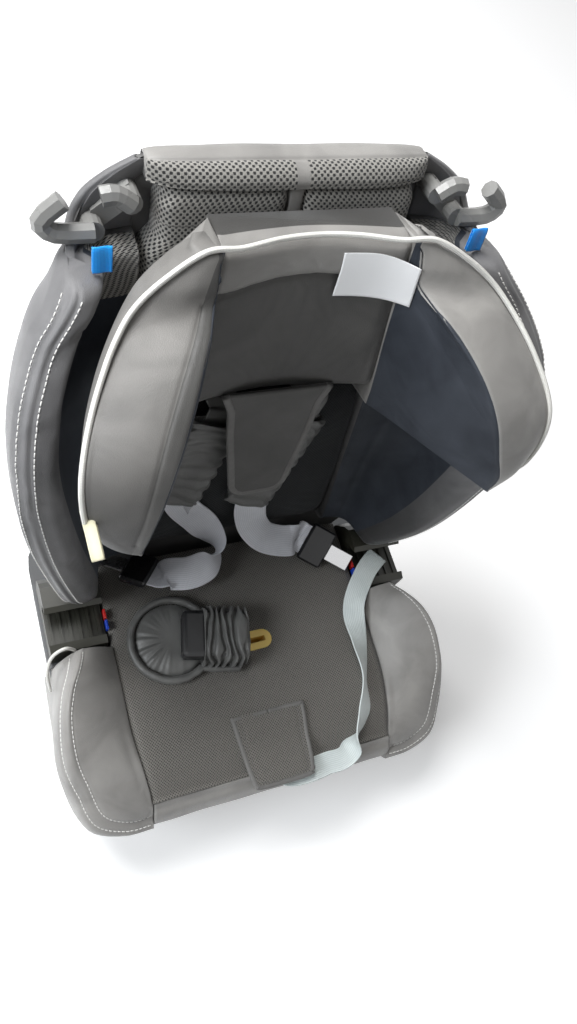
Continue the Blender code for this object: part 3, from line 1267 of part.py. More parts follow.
def make_latch(parent):
    bar_frame = frame("latch_slide", (0.0, LATCH_Y, LATCH_Z), parent=parent)
    add_solid("latch_bar", cylinder_mesh(LATCH_RADIUS, (-LATCH_HALF, 0, 0), (LATCH_HALF, 0, 0), 16), STEEL, bar_frame)

    start = LATCH_Y + LATCH_RADIUS + CLEAR + SPRING_WIRE
    end = BRIDGE_Y - CLEAR - SPRING_WIRE
    points = []
    steps = 10
    for index in range(SPRING_TURNS * steps + 1):
        turn = index / steps
        angle = 2 * math.pi * turn
        points.append(Vector((SPRING_X + SPRING_RADIUS * math.cos(angle), start + (end - start) * turn / SPRING_TURNS,
                              LATCH_Z + SPRING_RADIUS * math.sin(angle))))
    tube("latch_spring", points, SPRING_WIRE, STEEL, parent, 1)
    gap = (end - start) / SPRING_TURNS - 2 * SPRING_WIRE
    print("latch spring: least gap between its turns", round(gap * 1000, 2), "mm")


def make_release_handle(parent):
    """Finger loop with two tails whose ramps push the latch bar rearward."""
    slide = frame("release_slide", (0.0, 0.0, HANDLE_BOTTOM), parent=parent)
    rear_y = HANDLE_FRONT_Y + HANDLE_WALL
    radius = HANDLE_WALL
    outline = arc((HANDLE_HALF - radius, HANDLE_TOP - HANDLE_BOTTOM - radius), radius, 0, 90, 3)
    outline += arc((-HANDLE_HALF + radius, HANDLE_TOP - HANDLE_BOTTOM - radius), radius, 90, 180, 3)
    outline += [(-HANDLE_HALF, 0.0), (HANDLE_HALF, 0.0)]
    handle = outline_solid("release_handle", outline, HANDLE_FRONT_Y, rear_y, "XZ", BLACK, slide)
    middle = (HANDLE_TOP - HANDLE_BOTTOM) * 0.58
    loop = box_mesh((-FINGER_HALF, HANDLE_FRONT_Y - OVERRUN, middle - FINGER_HEIGHT / 2),
                    (FINGER_HALF, rear_y + OVERRUN, middle + FINGER_HEIGHT / 2))
    apply_cut(handle, cutter("finger_hole", loop, slide))

    ratio = LATCH_STROKE / HANDLE_STROKE
    tail_rear = HANDLE_FRONT_Y + HANDLE_WALL / 2
    normal = Vector((1.0, ratio)).normalized()
    contact = Vector((LATCH_Y, LATCH_Z)) - normal * (LATCH_RADIUS + 2 * CLEAR)
    ramp_top = contact.y + (contact.x - tail_rear) / ratio
    toe_y = LATCH_Y + LATCH_RADIUS + SLIDE_CLEAR
    ramp_bottom = contact.y - (toe_y - contact.x) / ratio
    toe_z = ramp_bottom - HANDLE_WALL
    outline = [(HANDLE_FRONT_Y, HANDLE_BOTTOM + OVERRUN), (HANDLE_FRONT_Y, toe_z), (toe_y, toe_z),
               (toe_y, ramp_bottom), (tail_rear, ramp_top), (tail_rear, HANDLE_BOTTOM + OVERRUN)]
    tails = bmesh.new()
    for side in (-1, 1):
        rings = [[Vector((x, y, z - HANDLE_BOTTOM)) for y, z in outline]
                 for x in (side * TAIL_X - TAIL_WIDTH / 2, side * TAIL_X + TAIL_WIDTH / 2)]
        join_mesh(tails, loft_mesh(rings))
    apply_cut(handle, cutter("handle_tails", tails, slide), "UNION")


# Harness
def pad_ring(centre, along, across, width, thickness, lift):
    """Flattened round section of a gathered pad."""
    up = along.cross(across).normalized()
    side = up.cross(along).normalized()
    ring = []
    for step in range(12):
        angle = 2 * math.pi * step / 12
        x = math.copysign(abs(math.cos(angle)) ** 0.6, math.cos(angle))
        y = math.copysign(abs(math.sin(angle)) ** 0.8, math.sin(angle))
        ring.append(centre + side * x * width / 2 * lift + up * y * thickness / 2 * lift)
    return ring


# Stations of the shoulder pads: shares of the wings' half width, the cover's front and the wings' top
SHOULDER_PAD_SHARES = {
    "left": ((-0.170, -1.145, 0.595), (-0.240, -1.174, 0.500), (-0.330, -1.217, 0.385)),
    "right": ((0.210, -1.145, 0.585), (0.120, -1.174, 0.470), (0.020, -1.217, 0.340)),
}


def shoulder_pad_line(word):
    """Centre line of a shoulder pad from its top to its lower end."""
    rows = SHOULDER_PAD_SHARES[word]
    return [Vector((x * WING_HALF_WIDTH, y * COVER_FRONT, z * WING_TOP)) for x, y, z in rows]


def make_shoulder_pad(parent, word):
    steps = 2 * PAD_GATHERS
    line = smooth_line(shoulder_pad_line(word), steps // 2)
    rings = []
    for index, centre in enumerate(line):
        along = (line[min(index + 1, len(line) - 1)] - line[max(index - 1, 0)]).normalized()
        lift = 1.0 if index % 2 else 0.93
        if index in (0, len(line) - 1):
            lift = 0.80
        rings.append(pad_ring(centre, along, Vector((1, 0, 0)), PAD_WIDTH, PAD_THICKNESS, lift))
    loft("shoulder_pad_" + word, rings, LEATHER, parent)


# Centre of each tongue as shares of the seat's half width, front and top, with its directions
# along the blade and across it
TONGUE_SHARES = {
    "left": ((-0.4683, 0.2308, 0.8951), (-0.8, 0.55, -0.2), (-0.45, -0.72, 0.38)),
    "right": ((0.4819, 0.1731, 0.8976), (0.78, -0.6, -0.15), (0.6, 0.62, 0.5)),
}

# Where each strap passes between its pad and its tongue, and its direction across there
STRAP_LOOP_SHARES = {
    "left": (
        ((-0.371, 0.2692, 1.3073), (0.97, 0.03, 0.22)),
        ((-0.2986, 0.1923, 1.1707), (0.78, 0.02, 0.62)),
        ((-0.1946, 0.1538, 1.0439), (0.62, -0.12, 0.77)),
        ((-0.1086, 0.1298, 0.9659), (0.46, -0.26, 0.84)),
        ((-0.1312, 0.0625, 0.9293), (0.02, -0.12, 0.99)),
        ((-0.2127, 0.0793, 0.9244), (-0.1, -0.14, 0.98)),
        ((-0.2896, 0.1178, 0.922), (-0.26, -0.4, 0.88))),
    "right": (
        ((0.0045, 0.2212, 1.2), (0.99, 0.06, 0.13)),
        ((0.0452, 0.1635, 1.0927), (0.82, 0.06, 0.57)),
        ((0.1357, 0.1538, 1.0049), (0.51, 0.02, 0.86)),
        ((0.2534, 0.2212, 0.9561), (0.28, 0.1, 0.95)),
        ((0.3258, 0.2548, 0.9366), (0.38, 0.28, 0.88))),
}


def seat_point(shares):
    """A point of the seat's frame from shares of its half width, front and top."""
    return Vector((shares[0] * SEAT_HALF_WIDTH, shares[1] * SEAT_FRONT, shares[2] * SEAT_TOP))


def tongue_frame(word):
    shares, along, across = TONGUE_SHARES[word]
    centre = seat_point(shares)
    along = Vector(along).normalized()
    across = Vector(across)
    across = (across - along * across.dot(along)).normalized()
    return centre, along, across, along.cross(across).normalized()


def oriented_box(name, centre, axes, sizes, material, parent, bevel):
    bm = bmesh.new()
    turn = Matrix([list(axis) for axis in axes]).transposed().to_4x4()
    bmesh.ops.create_cube(bm, size=1.0, matrix=Matrix.Translation(centre) @ turn @ Matrix.Diagonal((*sizes, 1.0)))
    thing = add_solid(name, bm, material, parent)
    add_bevel(thing, bevel, 1)
    return thing


def backrest_axes(*axes):
    c, s = math.cos(RECLINE_ANGLE), math.sin(RECLINE_ANGLE)
    turn = Matrix(((1, 0, 0), (0, c, -s), (0, s, c)))
    return [turn @ axis for axis in axes]


def make_tongue(parent, word):
    centre, along, across, up = tongue_frame(word)
    place = to_backrest(*centre)
    along, across, up = backrest_axes(along, across, up)
    oriented_box("tongue_body_" + word, place, (along, across, up), (TONGUE_LENGTH, TONGUE_WIDTH, TONGUE_THICKNESS),
                 BLACK, parent, TONGUE_THICKNESS / 4)
    blade_place = place + along * (TONGUE_LENGTH / 2 + BLADE_LENGTH / 2 + CLEAR)
    oriented_box("tongue_blade_" + word, blade_place, (along, across, up), (BLADE_LENGTH, BLADE_WIDTH, BLADE_THICKNESS),
                 STEEL, parent, BLADE_THICKNESS / 4)


def pad_side(word, end):
    """Directions out of a shoulder pad's end (0 its top, -1 its lower end) and across it."""
    line = smooth_line(shoulder_pad_line(word), PAD_GATHERS)
    out = (line[0] - line[1]) if end == 0 else (line[-1] - line[-2])
    out.normalize()
    up = out.cross(Vector((1, 0, 0)))
    return out, up.cross(out).normalized()


def make_harness_strap(parent, word):
    """Webbing from a shoulder pad's lower end to the rear face of its tongue."""
    centre, along, across, up = tongue_frame(word)
    place = to_backrest(*centre)
    along, across, up = backrest_axes(along, across, up)
    line = shoulder_pad_line(word)
    leave, plain = pad_side(word, -1)
    begin = line[-1] + leave * 2 * CLEAR
    finish_at = place - along * (TONGUE_LENGTH / 2 + CLEAR + WEBBING / 4)
    stations = [(begin + leave * STRAP_WIDTH * share, plain) for share in (0.0, 0.2, 0.42)]
    for shares, turned in STRAP_LOOP_SHARES[word]:
        stations.append((to_backrest(*seat_point(shares)), backrest_axes(Vector(turned))[0]))
    stations += [(finish_at - along * STRAP_WIDTH * share, across) for share in (0.36, 0.18, 0.0)]
    webbing("harness_strap_" + word, stations, STRAP_WIDTH, WEBBING, WEB, parent, 2)


def make_rear_straps(parent):
    """Upper ends of the shoulder straps, through the panel's slots to the yoke."""
    half = YOKE_HALF
    yoke_y = -PANEL_REAR + CLEAR + YOKE_WALL
    outline = [(-half, YOKE_Z + YOKE_HEIGHT / 2), (-half, YOKE_Z), (-half * 0.4, YOKE_Z - YOKE_HEIGHT / 2),
               (half * 0.4, YOKE_Z - YOKE_HEIGHT / 2), (half, YOKE_Z), (half, YOKE_Z + YOKE_HEIGHT / 2)]
    yoke = outline_solid("harness_yoke", outline, yoke_y - YOKE_WALL, yoke_y, "XZ", STEEL, parent)
    add_bevel(yoke, YOKE_WALL / 4, 1)
    level = (STRAP_EXIT_BOTTOM + STRAP_EXIT_TOP) / 2
    for side, word in ((-1, "left"), (1, "right")):
        top = shoulder_pad_line(word)[0]
        narrow = YOKE_HALF * 0.52
        slot_x = side * STRAP_WIDTH * 1.15
        across = Vector((1, 0, 0))
        out, pad_across = pad_side(word, 0)
        pad_x = top.x + out.x * (level - 2 * WEBBING - top.z) / out.z
        stations = [(top + out * 2 * CLEAR, pad_across),
                    (top + out * 5 * WEBBING, pad_across),
                    ((pad_x, -COVER_FRONT - 3 * WEBBING, level - 2 * WEBBING), across),
                    ((pad_x * 0.5 + slot_x * 0.5, -(COVER_FRONT + PANEL_REAR) / 2, level + WEBBING), across),
                    ((slot_x, -PANEL_REAR, level), across),
                    ((slot_x * 0.9, yoke_y + WEBBING * 2, level - STRAP_WIDTH * 0.3), across),
                    ((side * narrow, yoke_y + WEBBING, YOKE_Z + YOKE_HEIGHT), across),
                    ((side * narrow, yoke_y + WEBBING / 2 + CLEAR, YOKE_Z), across)]
        webbing("harness_rear_strap_" + word, stations, YOKE_HALF * 0.9, WEBBING, WEB, parent, 3)


# Crotch pad and buckle, drawn lying along +X of their own frame
def crotch_floor():
    """Height of the crotch frame, with the pad's round end resting on the seat."""
    reach = PAD_ROUND_X + PAD_ROUND_RADIUS
    x, y = reach * math.cos(CROTCH_TURN), SLOT_Y + reach * math.sin(CROTCH_TURN)
    return seat_height(x, y) - CLEAR


def make_crotch(parent):
    base = CLEAR * 2
    pad_top = base + CROTCH_PAD_THICKNESS
    outline = arc((PAD_ROUND_X, 0.0), PAD_ROUND_RADIUS, -140, 140, 20)
    neck_x = BUCKLE_REAR * 0.3
    outline += [(neck_x, PAD_NECK_HALF * 0.9), (neck_x, -PAD_NECK_HALF * 0.9)]
    bm = loft_mesh([[Vector((x, y, z)) for x, y in outline] for z in (base, pad_top)])
    pad = add_solid("crotch_pad", bm, LEATHER, parent)
    add_bevel(pad, CROTCH_PAD_THICKNESS / 4, 2)

    rim = arc((PAD_ROUND_X, 0.0), PAD_ROUND_RADIUS + CROTCH_PIPING + 2 * CLEAR, -136, 136, 26)
    neck = PAD_NECK_HALF + CROTCH_PIPING
    ends = [(PAD_ROUND_X - PAD_ROUND_RADIUS * 1.05, neck * 1.02), (neck_x + CROTCH_PIPING, neck)]
    rim = [(x, -y) for x, y in reversed(ends)] + rim + ends
    line = [Vector((x, y, (base + pad_top) / 2)) for x, y in rim]
    tube("crotch_pad_piping", line, CROTCH_PIPING, LEATHER, parent, 2)

    low = Vector((BUCKLE_REAR, -BUCKLE_WIDTH / 2, pad_top + CLEAR))
    high = Vector((BUCKLE_REAR + BUCKLE_LENGTH, BUCKLE_WIDTH / 2, pad_top + CLEAR + BUCKLE_THICKNESS))
    buckle = bevelled_box("buckle_housing", low, high, BLACK, parent, BUCKLE_ROUND, 3)
    middle_x = BUCKLE_REAR + BUCKLE_LENGTH * 0.42
    recess_low = Vector((middle_x - BUTTON_LENGTH / 2 - SLIDE_CLEAR, -BUTTON_WIDTH / 2 - SLIDE_CLEAR, high.z - BUTTON_RECESS))
    recess_high = Vector((middle_x + BUTTON_LENGTH / 2 + SLIDE_CLEAR, BUTTON_WIDTH / 2 + SLIDE_CLEAR, high.z + OVERRUN))
    cut = box_mesh(recess_low, recess_high)
    mouth_low = Vector((high.x - BUCKLE_LENGTH * 0.3, -BUCKLE_WIDTH * 0.36, (low.z + high.z) / 2 - BLADE_THICKNESS))
    mouth_high = Vector((high.x + OVERRUN, BUCKLE_WIDTH * 0.36, (low.z + high.z) / 2 + BLADE_THICKNESS))
    box_mesh(mouth_low, mouth_high, cut)
    apply_cut(buckle, cutter("buckle_cavities", cut, parent))

    slide = frame("button_slide", (middle_x, 0.0, high.z), parent=parent)
    button_top = -SLIDE_CLEAR
    bevelled_box("buckle_button", (-BUTTON_LENGTH / 2, -BUTTON_WIDTH / 2, -BUTTON_RECESS + BUTTON_STROKE + SLIDE_CLEAR),
                 (BUTTON_LENGTH / 2, BUTTON_WIDTH / 2, button_top), RED, slide, BUTTON_RECESS / 7, 2)

    sleeve_start = BUCKLE_REAR * 0.25
    sleeve_end = BUCKLE_REAR + BUCKLE_LENGTH * 0.72
    rings = []
    steps = 2 * SLEEVE_GATHERS
    for index in range(steps + 1):
        x = sleeve_start + (sleeve_end - sleeve_start) * index / steps
        lift = 1.0 if index % 2 else 0.955
        shrink = 0.80 if index == 0 else 1.0
        half = (BUCKLE_WIDTH / 2 + SLEEVE_WALL) * lift * shrink
        top = pad_top + CLEAR * 2 + (BUCKLE_THICKNESS + SLEEVE_WALL) * lift * shrink
        low_z = pad_top + CLEAR
        ring = [(-half, low_z), (half, low_z), (half, low_z + (top - low_z) * 0.7),
                (half * 0.82, low_z + (top - low_z) * 0.94), (half * 0.4, top), (-half * 0.4, top),
                (-half * 0.82, low_z + (top - low_z) * 0.94), (-half, low_z + (top - low_z) * 0.7)]
        rings.append([Vector((x, y, z)) for y, z in ring])
    sleeve = loft("buckle_sleeve", rings, LEATHER, parent)
    hollow = box_mesh((low.x - CLEAR, low.y - CLEAR, pad_top - OVERRUN), (sleeve_end + OVERRUN, high.y + CLEAR, high.z + CLEAR))
    strap_top = pad_top + CLEAR + 4 * WEBBING
    box_mesh((sleeve_start - OVERRUN, -STRAP_WIDTH / 2 - CLEAR, pad_top - OVERRUN),
             (low.x + OVERRUN / 4, STRAP_WIDTH / 2 + CLEAR, strap_top + CLEAR), hollow)
    apply_cut(sleeve, cutter("sleeve_hollow", hollow, parent))

    middle_z = pad_top + 2.5 * WEBBING
    across = Vector((0, 1, 0))
    stations = [((WEBBING * 0.6, 0.0, -CROTCH_PAD_THICKNESS * 0.15), across), ((WEBBING * 1.2, 0.0, base + CROTCH_PAD_THICKNESS * 0.5), across),
                ((WEBBING * 2.2, 0.0, middle_z - WEBBING * 0.5), across), ((BUCKLE_REAR * 0.6, 0.0, middle_z), across),
                ((BUCKLE_REAR - WEBBING, 0.0, middle_z), across)]
    webbing("crotch_strap", stations, STRAP_WIDTH, WEBBING, WEB, parent, 3)


def make_elastic():
    """Cover's elastic cord at the left hip."""
    left = -SEAT_HALF_WIDTH
    end_cap = BOLSTER_SHARES[0][1][1] * SEAT_FRONT + ELASTIC_RADIUS + CLEAR
    points = [(left * 0.84, end_cap, GUIDE_TOP - 8 * ELASTIC_RADIUS),
              (left * 0.89, end_cap, GUIDE_TOP + ELASTIC_RADIUS),
              (left * 0.955, end_cap * 1.2, GUIDE_TOP - 2 * ELASTIC_RADIUS),
              (left * 0.985, end_cap * 1.7, GUIDE_TOP - 10 * ELASTIC_RADIUS),
              (left * 0.980, end_cap * 2.3, GUIDE_TOP - 21 * ELASTIC_RADIUS)]
    tube("cover_elastic_left", smooth_line(points, 3), ELASTIC_RADIUS, PIPE, None)


def build():
    make_base_shell()
    make_hinge_rod()
    make_centre_pad()
    make_slot_plate()
    make_front_roll()
    for side, word in ((-1, "left"), (1, "right")):
        make_bolster(side, "seat_bolster_" + word)
        make_hip_guide(side, word)
    make_adjuster()
    make_front_flap()
    make_pull_strap()
    make_elastic()

    backrest = frame("backrest_axis", (0.0, HINGE_Y, HINGE_Z), (-RECLINE_ANGLE, 0.0, 0.0))
    make_backrest_shell(backrest)
    make_lower_pad(backrest)
    make_top_band(backrest)
    make_racks(backrest)
    make_rear_straps(backrest)
    for side, word in ((-1, "left"), (1, "right")):
        make_mesh_pad(backrest, side, word)
        make_wing_pad(backrest, side, word)
        make_blue_tab(backrest, side, word)
        make_shoulder_guide(backrest, side, word)
        make_shoulder_pad(backrest, word)
        make_tongue(backrest, word)
        make_harness_strap(backrest, word)

    headrest = frame("headrest_slide", (0.0, 0.0, 0.0), parent=backrest)
    make_headrest_shell(headrest)
    make_head_centre_pad(headrest)
    for side, word in ((-1, "left"), (1, "right")):
        make_head_wing_pad(headrest, side, word)
    make_piping(headrest)
    make_head_flap(headrest)
    make_carriage(headrest)
    make_latch(headrest)
    make_release_handle(headrest)

    crotch = frame("crotch_axis", (0.0, SLOT_Y, crotch_floor()), (0.0, 0.0, CROTCH_TURN))
    make_crotch(crotch)


build()
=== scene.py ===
# %% [markdown]
# # A child car seat
# The seat has a moulded base and backrest, soft covers sewn over both, a headrest that
# slides on the backrest, and a harness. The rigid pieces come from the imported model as
# they are. This notebook dresses them: it makes the covers, the webbing and the thread,
# gives every surface a finish, and sets up a plain studio.

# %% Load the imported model
import json
import math

import bmesh
import bpy
import numpy as np
from mathutils import Matrix, Vector, noise
from mathutils.bvhtree import BVHTree

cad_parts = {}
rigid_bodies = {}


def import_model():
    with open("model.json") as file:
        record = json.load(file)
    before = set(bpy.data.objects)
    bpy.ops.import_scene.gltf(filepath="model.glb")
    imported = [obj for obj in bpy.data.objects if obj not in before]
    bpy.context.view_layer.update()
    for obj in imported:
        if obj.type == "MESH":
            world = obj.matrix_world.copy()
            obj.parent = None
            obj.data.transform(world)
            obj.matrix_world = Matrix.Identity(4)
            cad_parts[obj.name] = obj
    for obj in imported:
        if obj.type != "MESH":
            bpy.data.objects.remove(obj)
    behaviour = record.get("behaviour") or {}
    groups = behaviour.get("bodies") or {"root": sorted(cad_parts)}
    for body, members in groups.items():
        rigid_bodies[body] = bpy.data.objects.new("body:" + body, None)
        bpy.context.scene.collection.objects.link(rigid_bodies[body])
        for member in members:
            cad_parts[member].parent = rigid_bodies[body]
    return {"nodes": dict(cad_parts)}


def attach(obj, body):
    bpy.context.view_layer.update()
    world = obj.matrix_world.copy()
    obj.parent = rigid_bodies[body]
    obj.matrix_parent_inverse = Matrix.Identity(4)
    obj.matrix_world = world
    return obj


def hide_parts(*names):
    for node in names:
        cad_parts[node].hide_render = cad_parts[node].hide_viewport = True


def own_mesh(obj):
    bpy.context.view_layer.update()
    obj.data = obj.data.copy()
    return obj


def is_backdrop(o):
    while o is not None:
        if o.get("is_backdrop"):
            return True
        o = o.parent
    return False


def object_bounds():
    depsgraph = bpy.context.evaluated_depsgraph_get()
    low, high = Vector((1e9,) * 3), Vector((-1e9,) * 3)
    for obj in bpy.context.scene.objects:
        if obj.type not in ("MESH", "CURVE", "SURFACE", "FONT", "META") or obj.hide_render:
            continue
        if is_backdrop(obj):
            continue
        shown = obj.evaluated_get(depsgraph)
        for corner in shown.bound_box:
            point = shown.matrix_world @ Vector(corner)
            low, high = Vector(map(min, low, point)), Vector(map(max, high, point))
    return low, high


for leftover in list(bpy.data.objects):
    bpy.data.objects.remove(leftover, do_unlink=True)
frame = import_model()
packed_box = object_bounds()
print("rigid and stand-in pieces:", len(frame["nodes"]))

# %% [markdown]
# ## Camera
# The photograph looks down on the seat from its front left, with the camera rolled by
# about a third of a right angle. The direction towards the camera is written with an
# azimuth and an elevation, and the roll turns the two directions across the picture.

# %% Camera
AZIMUTH, ELEVATION, ROLL = (math.radians(angle) for angle in (-46.103, 60.629, 32.213))
CAMERA_PLACE = Vector((-0.26172, -0.25029, 1.04093))
FOCAL_PIXELS = 825.05
PICTURE_HEIGHT = 1024

towards = Vector((math.sin(AZIMUTH) * math.cos(ELEVATION), -math.cos(AZIMUTH) * math.cos(ELEVATION),
                  math.sin(ELEVATION)))
level = Vector((0, 0, 1)).cross(towards).normalized()
upright = towards.cross(level)
picture_right = math.cos(ROLL) * level + math.sin(ROLL) * upright
picture_up = -math.sin(ROLL) * level + math.cos(ROLL) * upright

camera = bpy.data.objects.new("camera", bpy.data.cameras.new("camera"))
bpy.context.scene.collection.objects.link(camera)
camera.data.lens = FOCAL_PIXELS * camera.data.sensor_width / PICTURE_HEIGHT
axes = Matrix((picture_right, picture_up, towards)).transposed().to_4x4()
camera.matrix_world = Matrix.Translation(CAMERA_PLACE) @ axes
camera.data.clip_start = 0.01
bpy.context.scene.camera = camera
print("lens", round(camera.data.lens, 2), "mm")

# %% [markdown]
# ## The backrest's own frame
# Most of the covers sit on the backrest, which leans back by 14 degrees about its hinge.
# Their shapes are easier to write upright, so they are drawn in the backrest's frame and
# turned into place as arrays of points.

# %% Backrest frame
LEAN = math.radians(14.0)
HINGE_Y, HINGE_Z = 0.110, 0.100
SIDES = ((-1, "left"), (1, "right"))


def leaned(points):
    """Points of the backrest's frame as points of the seat."""
    points = np.asarray(points, float)
    x, y, z = points[..., 0], points[..., 1], points[..., 2]
    return np.stack((x, HINGE_Y + y * math.cos(LEAN) + z * math.sin(LEAN),
                     HINGE_Z - y * math.sin(LEAN) + z * math.cos(LEAN)), axis=-1)


def leaned_way(direction):
    """A direction of the backrest's frame as a direction of the seat."""
    return leaned(direction) - leaned((0.0, 0.0, 0.0))


def mirrored(points, side):
    """Points of the right half for side 1, and their mirror images for side -1."""
    points = np.array(points, float)
    points[..., 0] *= side
    return points


# %% [markdown]
# ## Smooth curves
# Every cover follows a few listed stations. A Catmull-Rom spline passes through all
# of its points, so the stations can be read off a drawing and still give a smooth line.

# %% Curves
def along(rows, places):
    """Catmull-Rom value of rows at fractional places along the first axis."""
    rows = np.asarray(rows, float)
    places = np.clip(np.asarray(places, float), 0, len(rows) - 1)
    index = np.minimum(places.astype(int), len(rows) - 2)
    t = (places - index).reshape((-1,) + (1,) * (rows.ndim - 1))
    before, start, end, after = (rows[np.clip(index + step, 0, len(rows) - 1)] for step in (-1, 0, 1, 2))
    return 0.5 * (2 * start + (end - before) * t + (2 * before - 5 * start + 4 * end - after) * t ** 2
                  + (3 * start - before - 3 * end + after) * t ** 3)


def refine(rows, steps):
    return along(rows, np.linspace(0, len(rows) - 1, (len(rows) - 1) * steps + 1))


def table_at(rows, key):
    """Smooth value of rows (key, a, b, ...) at a key."""
    rows = np.asarray(rows, float)
    place = np.interp(key, rows[:, 0], np.arange(len(rows)))
    low = min(int(place), len(rows) - 2)
    span = rows[low + 1, 0] - rows[low, 0]
    t = (min(max(key, rows[0, 0]), rows[-1, 0]) - rows[low, 0]) / span
    ends = []
    for knot in (low, low + 1):
        a, b = max(knot - 1, 0), min(knot + 1, len(rows) - 1)
        ends.append((rows[b, 1:] - rows[a, 1:]) / (rows[b, 0] - rows[a, 0]) * span)
    return (rows[low, 1:] * (2 * t ** 3 - 3 * t ** 2 + 1) + ends[0] * (t ** 3 - 2 * t ** 2 + t)
            + rows[low + 1, 1:] * (3 * t ** 2 - 2 * t ** 3) + ends[1] * (t ** 3 - t ** 2))


def unit(values):
    """A direction, or rows of them, at length one."""
    values = np.asarray(values, float)
    return values / np.maximum(np.linalg.norm(values, axis=-1, keepdims=True), 1e-9)


def directions(line):
    """Unit directions along a line of points."""
    return unit(np.gradient(line, axis=0))


def squared(values, power):
    """Sines or cosines with a power below one, which makes a round section squarer."""
    return np.sign(values) * np.abs(values) ** power


def offset(line, distances):
    """A flat line moved to its right-hand side."""
    ahead = directions(line)
    return line + np.stack((ahead[:, 1], -ahead[:, 0]), axis=1) * np.reshape(distances, (-1, 1))


def resampled(line, spacing):
    """The same line with evenly spaced points."""
    line = np.asarray(line, float)
    lengths = np.concatenate(([0.0], np.cumsum(np.linalg.norm(np.diff(line, axis=0), axis=1))))
    count = max(int(round(lengths[-1] / spacing)), 2)
    places = np.linspace(0, lengths[-1], count + 1)
    return np.stack([np.interp(places, lengths, line[:, axis]) for axis in range(3)], axis=1)


# %% [markdown]
# ## Finishes
# A finish is a small graph of shader nodes. Grain, weave and dust are patterns computed
# from the surface's own coordinates, so no picture is needed. Two helpers keep the graphs
# short: one starts a material, the other adds a node and joins it up.

# %% Material helpers
def finish(name, colour, roughness, **values):
    material = bpy.data.materials.new(name)
    material.use_nodes = True
    shader = material.node_tree.nodes["Principled BSDF"]
    shader.inputs["Base Color"].default_value = (*colour, 1.0)
    shader.inputs["Roughness"].default_value = roughness
    for key, value in values.items():
        shader.inputs[key.replace("_", " ")].default_value = value
    return material


def add(material, kind, inputs=(), **settings):
    node = material.node_tree.nodes.new("ShaderNode" + kind)
    for key, value in settings.items():
        setattr(node, key, value)
    for key, value in dict(inputs).items():
        socket = node.inputs[key]
        if isinstance(value, bpy.types.NodeSocket):
            material.node_tree.links.new(value, socket)
        else:
            socket.default_value = value
    return node


def maths(material, operation, first, second=0.0):
    return add(material, "Math", {0: first, 1: second}, operation=operation).outputs[0]


def into(material, **sockets):
    shader = material.node_tree.nodes["Principled BSDF"]
    for key, value in sockets.items():
        material.node_tree.links.new(value, shader.inputs[key.replace("_", " ")])


def coordinates(material):
    return add(material, "TexCoord").outputs["Object"]


def cloudy(material, scale, detail=3.0, distortion=0.0):
    inputs = {"Vector": coordinates(material), "Scale": scale, "Detail": detail, "Distortion": distortion}
    return add(material, "TexNoise", inputs).outputs["Fac"]


def between(material, factor, low, high, low_colour, high_colour):
    ramp = add(material, "ValToRGB", {"Fac": factor})
    ramp.color_ramp.elements[0].position = low
    ramp.color_ramp.elements[1].position = high
    ramp.color_ramp.elements[0].color = (*low_colour, 1.0)
    ramp.color_ramp.elements[1].color = (*high_colour, 1.0)
    return ramp.outputs["Color"]


def spread(material, factor, low, high):
    return add(material, "MapRange", {"Value": factor, "To Min": low, "To Max": high}).outputs["Result"]


def raised(material, height, distance, strength=1.0, under=None):
    inputs = {"Height": height, "Distance": distance, "Strength": strength}
    if under is not None:
        inputs["Normal"] = under
    return add(material, "Bump", inputs).outputs["Normal"]


# %% [markdown]
# ## Leatherette
# The covers' edges and the headrest are a coated fabric embossed with a fine pebble grain.
# A Voronoi pattern's distance to its cell edges gives the pebbles, slow noise shifts the
# colour a little where hands and sun have polished it, and the roughness follows. Some
# copies are also darkened towards the bottom of the cover, which is painted shade.

# %% Leatherette and smooth knit
def leatherette(name, dark, light, roughness=0.46, painted_shade=None):
    """The last argument gives two heights and the share of its colour that the cover keeps below the lower one:
    painted shade, which darkens the cover towards its bottom.
    """
    material = finish(name, light, roughness, Specular_IOR_Level=0.42, Sheen_Weight=0.12, Sheen_Roughness=0.45)
    place = coordinates(material)
    pebbles = add(material, "TexVoronoi", {"Vector": place, "Scale": 760.0, "Randomness": 0.9},
                  feature="DISTANCE_TO_EDGE").outputs["Distance"]
    wear = cloudy(material, 22.0, 4.0, 0.6)
    fine = cloudy(material, 900.0, 2.0)
    colour = between(material, wear, 0.34, 0.68, dark, light)
    # Painted shade: below the given heights the colour is darkened, in place of the shade on a cover's lower parts.
    if painted_shade:
        height = add(material, "SeparateXYZ", {"Vector": place}).outputs["Z"]
        low, high, least = painted_shade
        level = add(material, "MapRange", {"Value": height, "From Min": low, "From Max": high, "To Min": least},
                    interpolation_type="SMOOTHSTEP").outputs["Result"]
        colour = add(material, "HueSaturation", {"Value": level, "Color": colour}).outputs["Color"]
    into(material, Base_Color=colour, Roughness=spread(material, wear, roughness + 0.07, roughness - 0.06))
    grain = raised(material, maths(material, "MINIMUM", pebbles, 0.16), 0.0011, 0.42)
    into(material, Normal=raised(material, fine, 0.0004, 0.20, grain))
    return material


